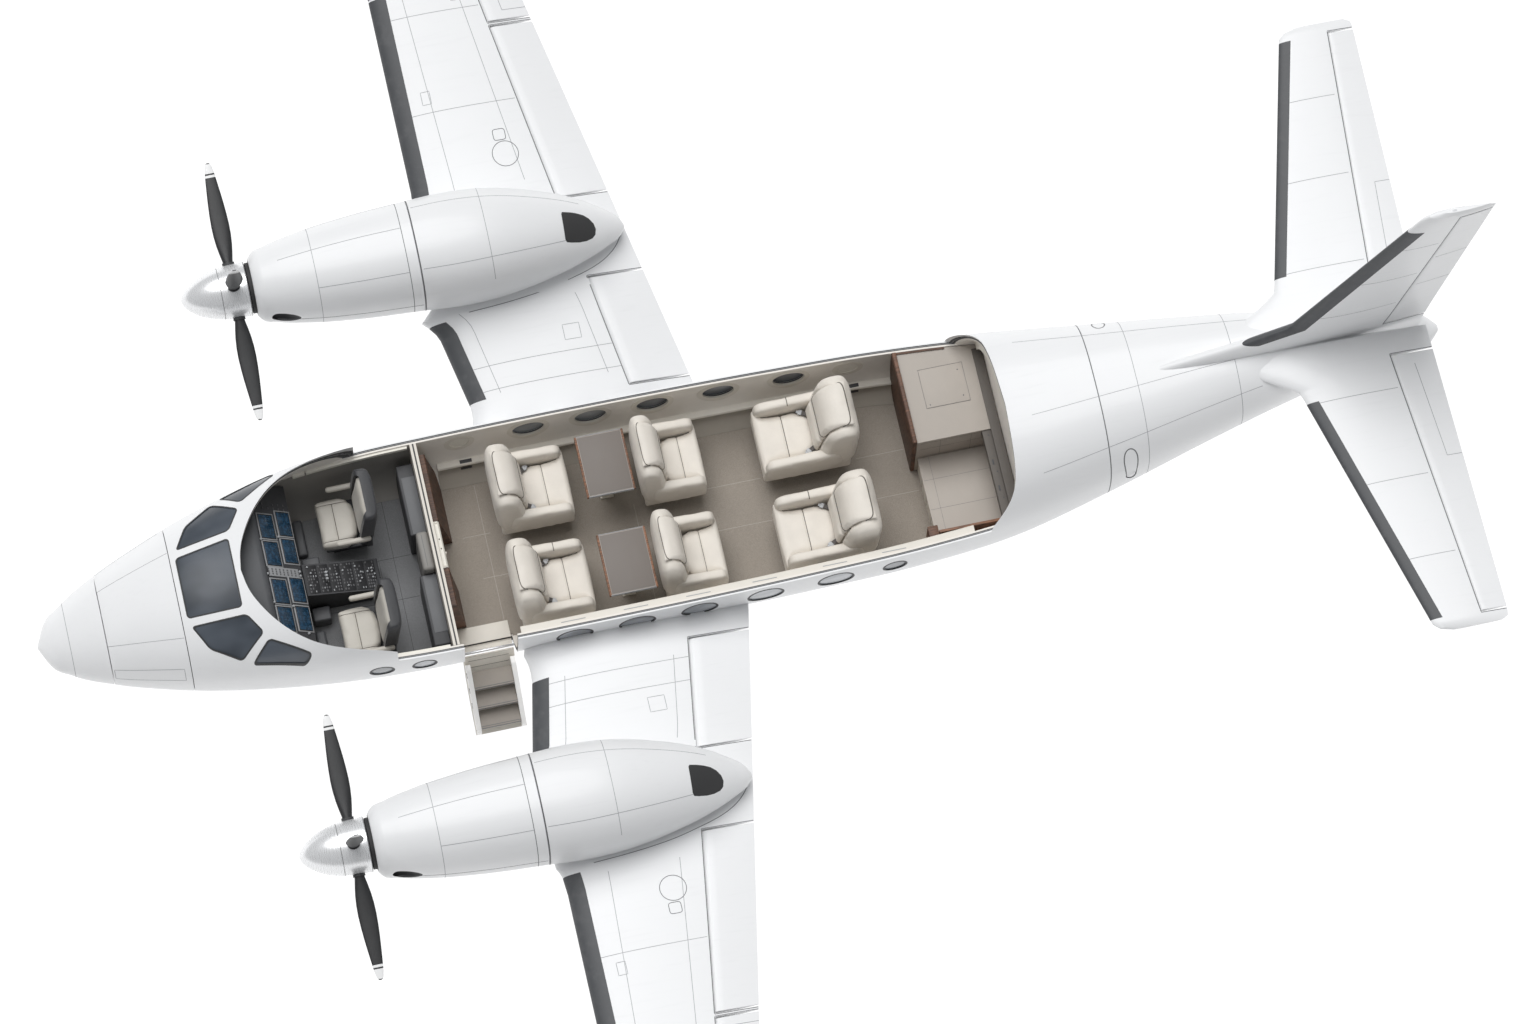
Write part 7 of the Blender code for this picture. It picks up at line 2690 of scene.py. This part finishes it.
    def build_aft_trim(self) -> list[Object]:
        """The ledge and the band round the cabin's aft end, in a dark brown that is painted shade."""
        band = fitted(slab((8.655, 8.745), (-0.80, 0.80), (1.66, 1.716), 0.004), 0.0515)
        shelf = fitted(slab((8.575, 8.655), (-0.84, 0.86), (1.60, 1.690), 0.003), 0.0515)
        marks = bmesh.new()
        for x in (-0.45, -0.1, 0.25, 0.5):
            add_box(marks, (x, at_station(8.60), 1.6895), (x + 0.05, at_station(8.615), 1.6925), 0.001)
            add_rod(
                marks, (x + 0.12, at_station(8.625), 1.689), (x + 0.12, at_station(8.625), 1.6925), 0.006, 12
            )
        return [
            new_piece("aft_dark_band", band, AFT_PAINTED_SHADE, smooth=20),
            new_piece("aft_dark_shelf", shelf, AFT_PAINTED_SHADE, smooth=20),
            new_piece("aft_shelf_fittings", marks, CHARCOAL),
        ]

    def build_floor(self) -> list[Object]:
        """Seams between the carpet's widths."""
        lines = [
            ((start, end), (x - 0.002, x + 0.002), CARPET_LINE)
            for x, stretches in (
                (-0.25, ((3.9, 4.15), (6.13, 6.62), (7.50, 7.94))),
                (0.16, ((4.0, 4.4), (6.13, 6.95), (7.45, 7.99))),
            )
            for start, end in stretches
        ]
        for station, low, high in ((4.10, -0.72, 0.68), (5.46, -0.25, 0.68)):
            lines.append(((station - 0.002, station + 0.002), (low, high), CARPET_LINE))
        return [new_piece("carpet_seams", slabs(lines), CARPET_SEAM)]

    def build(self) -> list[Object]:
        """Every fitting of the cabin."""
        pieces = self.build_ledges() + self.build_port_strip() + self.build_tables() + self.build_galley()
        return pieces + self.build_bench() + self.build_aft_trim() + self.build_floor()


# Cockpit


def tilted(bm: BMesh, place: Point, slope: Pair) -> BMesh:
    """Lays a mesh that is drawn flat, its Y pointing aft, on a slope that starts at a place."""
    down = Vector((0, *slope)).normalized()
    across = Vector((1, 0, 0))
    transform(bm, Matrix.Translation(place), Matrix((across, down, across.cross(down))).transposed().to_4x4())
    return bm


def wall_band(stations: Sequence[float], depths: Pair, low: float, high: float) -> BMesh:
    """The part of a wall between two depths that lies between two heights."""
    reach, across = (1.0, 4.0), (-1.3, 1.3)
    return carved(
        FUSELAGE.shell(stations, *depths), (slab(reach, across, (high, 3.0)), slab(reach, across, (0.0, low)))
    )


@dataclass
class PilotSeat:
    """A cockpit seat: cream cushion and inner back, slim arms, and a charcoal shell round the back."""

    node: str
    x: float
    shell: tuple[tuple[float, float, float, float], ...] = (
        (1.22, 2.99, 0.205, 3.105), (1.28, 2.985, 0.235, 3.12), (1.45, 2.985, 0.248, 3.135),
        (1.65, 3.00, 0.25, 3.15),
        (1.85, 3.02, 0.25, 3.168), (1.905, 3.03, 0.244, 3.167), (1.925, 3.045, 0.228, 3.158),
        (1.93, 3.06, 0.215, 3.148),
    )

    def build_pads(self) -> list[Object]:
        """Cushion with its cross seam and side seams, inner back pad, and arms."""
        outline = [
            (-0.235, 2.66), (-0.235, 3.00), (0.235, 3.00), (0.235, 2.66), (0.19, 2.645), (-0.19, 2.645)
        ]
        block = prism([(self.x + u, at_station(s)) for u, s in softened(outline, 2, True)], 1.205, 1.325)
        bevel(block, [edge for edge in block.edges if is_level(edge)], 0.028)
        cushion = Padding(cap=0.010).fill(block)
        split, side = at_station(2.80), 0.172
        groove(
            cushion, lambda co: abs(co.y - split) if co.z > 1.27 and abs(co.x - self.x) < 0.17 else 1.0, 0.007
        )
        groove(cushion, lambda co: abs(abs(co.x - self.x) - side) if co.z > 1.27 else 1.0, 0.007)
        lines = [[(self.x + u, split, 2.0) for u in np.linspace(-0.168, 0.168, 24)]]
        for sign in (1, -1):
            lines.append(
                [(self.x + sign * side, y, 2.0) for y in np.linspace(at_station(2.665), at_station(2.98), 24)]
            )
        tree = BVHTree.FromBMesh(cushion)
        welts = [tube_mesh(cast(tree, line, (0, 0, -1)), 0.0034) for line in lines]
        profile = [
            (3.0, 1.33), (2.985, 1.42), (3.035, 1.87), (3.055, 1.895), (3.085, 1.89), (3.10, 1.86),
            (3.06, 1.36),
            (3.04, 1.32),
        ]
        section = [(at_station(s), z) for s, z in softened(profile, 2, True)]
        back = ClubSeat().section_body(section, lambda part: 0.200 - 0.012 * part, 0.018, 16)
        bmesh.ops.translate(back, vec=(self.x, 0, 0), verts=back.verts)
        pads = [("cushion", cushion), ("back", Padding(cap=0.009).fill(back))]
        for index, sign in enumerate((-1, 1)):
            arm = bmesh.new()
            x = self.x + sign * 0.260
            add_box(
                arm, (x - 0.024, at_station(2.765), 1.436), (x + 0.024, at_station(3.08), 1.496), 0.022, 4
            )
            pads.append((f"arm_{index}", Padding(voxel=0.008, cap=0.005).fill(arm)))
        pieces = []
        for name, bm in pads:
            piece = new_piece(f"{self.node}_{name}", bm, PILOT_CREAM, smooth=60)
            pieces.append(piece)
        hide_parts(self.node)
        return [*pieces, new_piece(f"{self.node}_piping", merged(welts), PIPING)]

    def build_frame(self) -> list[Object]:
        """The curved shell, the pedestal and the arms' brackets."""
        rings = []
        for height, front, half, aft in self.shell:
            ring = []
            for steps, half_width, rear in (
                (range(25), half, aft), (range(24, -1, -1), half - 0.048, aft - 0.085)
            ):
                for k in steps:
                    c, arc = math.cos(math.pi * k / 24), math.sin(math.pi * k / 24)
                    x = half_width * math.copysign(abs(c) ** 0.5, c)
                    ring.append((self.x + x, at_station(front + (rear - front) * arc ** 0.38), height))
            rings.append(ring)
        base = bmesh.new()
        for half, stations, heights, radius in (
            (0.165, (2.745, 3.055), (0.985, 1.05), 0.008), (0.14, (2.77, 3.03), (1.045, 1.20), 0.012),
            (0.225, (2.68, 3.01), (1.185, 1.215), 0.01),
        ):
            low, high = (
                (self.x + sign * half, at_station(s), z) for sign, s, z in zip((-1, 1), stations, heights)
            )
            add_box(base, low, high, radius)
        for sign in (-1, 1):
            x = self.x + sign * 0.252
            add_box(base, (x - 0.010, at_station(3.04), 1.25), (x + 0.010, at_station(3.09), 1.47), 0.004)
        return [
            new_piece(f"{self.node}_shell", lofted(rings), DARK_SHELL, smooth=60),
            new_piece(f"{self.node}_frame", base, CHARCOAL),
        ]

    def build(self) -> list[Object]:
        """Every piece of the seat."""
        return self.build_pads() + self.build_frame()


@dataclass
class Cockpit:
    """Side walls, glareshield, slanted panel with its displays, pedestal, footwells and mat seams."""

    slope_top: Pair = (2.08, 1.84)
    slope_foot: Pair = (2.41, 1.53)
    knobs: tuple[Pair, ...] = (
        (-0.05, 0.92), (-0.01, 0.92), (0.27, 0.06), (-0.33, 0.06), (0.0, 0.045), (0.54, 0.82), (-0.37, 0.55),
        (0.29, 0.55),
    )

    def on_panel(self, along: float, lift: float = 0.0) -> Pair:
        """Station and height on the slanted panel, from 0 at its top edge to 1 at its foot."""
        top, foot = Vector(self.slope_top), Vector(self.slope_foot)
        slope = (foot - top).normalized()
        spot = top.lerp(foot, along) + Vector((-slope.y, slope.x)) * lift
        return spot.x, spot.y

    def plate(
        self, x: float, along: float, width: float, tall: float, low: float, high: float, radius: float
    ) -> BMesh:
        """A rounded plate on the slanted panel."""
        bm = bmesh.new()
        add_box(bm, (-width / 2, -tall / 2, low), (width / 2, tall / 2, high), radius)
        station, height = self.on_panel(along)
        run, fall = (foot - top for foot, top in zip(self.slope_foot, self.slope_top))
        return tilted(bm, (x, at_station(station), height), (run, fall))

    def build_walls(self) -> list[Object]:
        """Dark side walls under a cream strip."""
        liner = wall_band(spaced(1.9, 3.566, 0.08), (0.0502, 0.0562), 0.984, 1.655)
        strips = merged(
            wall_band(spaced(start, end, 0.05), (0.0502, 0.075), 1.656, 1.702)
            for start, end in ((2.50, 2.61), (2.625, 3.545))
        )
        return [
            new_piece("cockpit_walls", liner, COCKPIT_LINING, smooth=30),
            new_piece("cockpit_top_strips", strips, DOOR_CREAM, smooth=30),
        ]

    def build_panel(self) -> list[Object]:
        """Glareshield, panel face, bezels, displays and rows of keys."""
        outline = [
            (1.872, 1.60), (2.38, 1.482), (2.408, 1.53), (2.08, 1.836), (2.05, 1.866), (2.035, 1.868),
            (1.872, 1.868)
        ]
        body = fitted(side_view(outline, (-1.0, 1.0)), 0.068)
        shield = [
            (1.874, 1.868), (1.874, 1.885), (2.05, 1.885), (2.092, 1.862), (2.098, 1.842), (2.088, 1.838),
            (2.05, 1.868)
        ]
        hood = fitted(side_view(shield, (-1.0, 1.0)), 0.070)
        bezels, frames, screens, keys, knobs = [], [], [], [], bmesh.new()
        width = 0.22
        for along, tall, places in (
            (0.30, 0.165, (-0.46, -0.20, 0.16, 0.42)), (0.78, 0.15, (-0.50, -0.24, 0.13, 0.40))
        ):
            for x in places:
                bezels.append(self.plate(x, along, width + 0.034, tall + 0.036, -0.002, 0.006, 0.003))
                frames.append(self.plate(x, along, width + 0.014, tall + 0.014, 0.003, 0.0070, 0.002))
                screens.append(self.plate(x, along, width - 0.006, tall - 0.006, 0.003, 0.0080, 0.002))
        bezels.append(self.plate(-0.03, 0.5, 0.09, 0.36, -0.002, 0.005, 0.003))
        chance = random.Random(11)
        for index in range(9):
            for x in (-0.052, -0.03, -0.008):
                keys.append(self.plate(x, 0.10 + index * 0.10, 0.016, 0.014, 0.004, 0.0085, 0.002))
        for x in (-0.68, -0.64, 0.58, 0.62, 0.66):
            for index in range(6):
                if chance.random() < 0.8:
                    keys.append(self.plate(x, 0.16 + index * 0.14, 0.020, 0.012, 0.0, 0.006, 0.002))
        for x, along in self.knobs:
            station, height = self.on_panel(along)
            tip, rise = self.on_panel(along, 0.018)
            add_rod(knobs, (x, at_station(station), height), (x, at_station(tip), rise), 0.0105, 20, 0.002)
        return [
            new_piece("instrument_panel_body", body, CHARCOAL, smooth=30),
            new_piece("glareshield", hood, GLARE, smooth=50),
            new_piece("display_bezels", merged(bezels), BEZEL),
            new_piece("display_frames", merged(frames), CONSOLE),
            new_piece("displays", merged(screens), SCREEN),
            new_piece("panel_keys", merged(keys), KEYS),
            new_piece("panel_knobs", knobs, KNOB),
        ]

    def build_pedestal(self) -> list[Object]:
        """The pedestal between the seats, with its plates, keys, levers and knobs."""
        outline = [
            (2.422, 0.985), (3.058, 0.985), (3.098, 1.208), (3.092, 1.219), (2.42, 1.448), (2.402, 1.40)
        ]
        body = side_view(outline, (-0.148, 0.148), 0.012)
        plates, keys, marks = bmesh.new(), bmesh.new(), bmesh.new()
        chance = random.Random(5)
        joins = (0.025, 0.135, 0.24, 0.35, 0.47, 0.58, 0.68)
        for low, high in zip(joins, joins[1:]):
            add_box(plates, (-0.134, low + 0.003, -0.002), (0.134, high - 0.003, 0.004), 0.002)
            for column in range(9):
                for row in range(4):
                    x, y = -0.116 + column * 0.029, low + 0.018 + row * (high - low - 0.03) / 3.4
                    pick = chance.random()
                    if pick < 0.5:
                        add_box(keys, (x - 0.009, y - 0.006, 0.003), (x + 0.009, y + 0.006, 0.008), 0.0015)
                    elif pick < 0.6:
                        add_box(marks, (x - 0.008, y - 0.004, 0.003), (x + 0.008, y + 0.004, 0.0065), 0.001)
                    elif pick < 0.67:
                        add_rod(marks, (x, y, 0.003), (x, y, 0.020), 0.008, 16, 0.0015)
        for x in (-0.03, 0.0, 0.03):
            add_rod(marks, (x, 0.20, 0.0), (x, 0.185, 0.075), 0.005, 12)
            add_box(marks, (x - 0.011, 0.172, 0.068), (x + 0.011, 0.196, 0.092), 0.006)
        for bm in (plates, keys, marks):
            tilted(bm, (0, at_station(2.42), 1.448), (3.095 - 2.42, 1.219 - 1.448))
        return [
            new_piece("pedestal_body", body, CHARCOAL, smooth=30),
            new_piece("pedestal_plates", plates, CONSOLE),
            new_piece("pedestal_keys", keys, KEYS),
            new_piece("pedestal_marks", marks, KNOB),
        ]

    def build_footwells(self) -> list[Object]:
        """Dark boxes and pedals ahead of each seat, and seams in the mat."""
        wells, pedals = bmesh.new(), bmesh.new()
        for sign in (-1, 1):
            for ends, stations, top, radius in (
                ((0.17, 0.30), (2.44, 2.60), 1.15, 0.015), ((0.36, 0.70), (2.43, 2.52), 1.06, 0.02),
            ):
                low, high = sorted(sign * end for end in ends)
                add_box(
                    wells, (low, at_station(stations[0]), 0.983), (high, at_station(stations[1]), top), radius
                )
            for x in (sign * 0.42, sign * 0.60):
                add_box(
                    pedals, (x - 0.05, at_station(2.33), 1.10), (x + 0.05, at_station(2.355), 1.24), 0.008
                )
                add_rod(pedals, (x, at_station(2.345), 1.0), (x, at_station(2.345), 1.12), 0.012, 12)
        lines = slabs((stations, across, CARPET_LINE) for stations, across in (
            ((3.255, 3.259), (-0.74, 0.74)), ((2.62, 3.41), (-0.2, -0.196)), ((2.62, 3.41), (0.196, 0.2)),
            ((3.12, 3.1235), (-0.2, 0.2)),
        ))
        return [
            new_piece("footwell_boxes", wells, COCKPIT_TOP),
            new_piece("pedals", pedals, GREY_TRIM),
            new_piece("cockpit_mat_seams", lines, CHARCOAL),
        ]

    def build(self) -> list[Object]:
        """Every piece of the cockpit."""
        panel = self.build_panel()
        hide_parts("instrument_panel")
        pedestal = self.build_pedestal()
        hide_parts("center_pedestal")
        seats = PilotSeat("seat_pilot", 0.52).build() + PilotSeat("seat_copilot", -0.52).build()
        return self.build_walls() + panel + pedestal + self.build_footwells() + seats


# Studio


@dataclass
class Studio:
    """Camera at the photograph's angle, soft light from above and starboard, and a plain pale floor."""

    eye: Point = (22.72336, -6.61436, 68.57997)
    right: Point = (0.21792, 0.97565, 0.02476)
    up: Point = (-0.92332, 0.19788, 0.32914)
    back: Point = (0.31622, -0.09459, 0.94396)
    lens: float = 187.5

    def build_camera(self) -> None:
        """The camera."""
        data = bpy.data.cameras.new("camera")
        data.lens = self.lens
        data.sensor_width = 36
        data.clip_end = 1500
        camera = bpy.data.objects.new("camera", data)
        turn = Matrix((self.right, self.up, self.back)).transposed().to_4x4()
        camera.matrix_world = Matrix.Translation(self.eye) @ turn
        bpy.context.scene.collection.objects.link(camera)
        bpy.context.scene.camera = camera

    def build_lights(self) -> None:
        """A dim pale sky and one broad soft light from above and starboard."""
        world = bpy.data.worlds.new("sky")
        world.use_nodes = True
        world.node_tree.nodes["Background"].inputs["Color"].default_value = (0.96, 0.98, 1, 1)
        world.node_tree.nodes["Background"].inputs["Strength"].default_value = 0.34
        bpy.context.scene.world = world
        data = bpy.data.lights.new("sun", "SUN")
        data.energy = 2.4
        data.angle = math.radians(48)
        sun = bpy.data.objects.new("sun", data)
        sun.rotation_euler = Vector((-0.38, -0.12, 1.0)).to_track_quat("Z", "Y").to_euler()
        bpy.context.scene.collection.objects.link(sun)

    def build_floor(self) -> None:
        """The floor, white enough to vanish in the picture."""
        bm = bmesh.new()
        bmesh.ops.create_grid(bm, x_segments=1, y_segments=1, size=400)
        mesh = bpy.data.meshes.new("floor")
        bm.to_mesh(mesh)
        bm.free()
        shader = Shader("pale floor")
        shader.set(
            base_color=shader.blend(shader.noise(0.4), (0.14, 0.14, 0.14), (0.16, 0.16, 0.16)), roughness=1.0
        )
        shader.set(emission_color=(1, 1, 1), emission_strength=0.97)
        mesh.materials.append(shader.material)
        floor = bpy.data.objects.new("floor", mesh)
        bpy.context.scene.collection.objects.link(floor)

    def build(self) -> None:
        """Everything that isn't part of the aircraft."""
        self.build_camera()
        self.build_lights()
        self.build_floor()
        bpy.context.scene.view_settings.view_transform = "Standard"
        bpy.context.scene.view_settings.look = "None"


# Whole aircraft

NODE_FINISHES: dict[str, Finish] = {
    "leg": STRUT, "fork": STRUT, "engine": SOOT_AND_SHADE_BLACK, "cockpit_floor": MAT, "cabin_floor": CARPET,
}


def dress_nodes() -> None:
    """Gives the CAD nodes that stay in view their finishes."""
    for name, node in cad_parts.items():
        finish = next((finish for key, finish in NODE_FINISHES.items() if key in name), WHITE)
        for slot in node.material_slots:
            slot.material = finish.material()


def main() -> None:
    """Builds every sub-assembly in order."""
    logging.basicConfig(level=logging.INFO, format="%(message)s")
    fuselage = Fuselage()
    jobs = [
        ("skins", fuselage.build_skins), ("cabin wall", fuselage.build_cabin),
        ("windshield", fuselage.build_windshield), ("windows", fuselage.build_windows),
        ("seams", fuselage.build_seams), ("tail", Tail().build),
        ("gear", LandingGear().build), ("airstair", Airstair().build), ("cabin seats", ClubSeat().build),
        ("partition", Partition().build), ("cabin fittings", Cabin().build), ("cockpit", Cockpit().build),
    ]
    for side in Side:
        jobs += [
            (f"{side.label} wing", Wing(side).build), (f"{side.label} nacelle", Nacelle(side).build),
            (f"{side.label} propeller", Propeller(side).build),
        ]
    dress_nodes()
    for title, job in jobs:
        pieces = job()
        triangles = sum(len(p.data.loop_triangles) or len(p.data.polygons) * 2 for p in pieces)
        LOG.info("%s: %d pieces, about %d triangles", title, len(pieces), triangles)
    Studio().build()


if __name__ == "__main__":
    main()
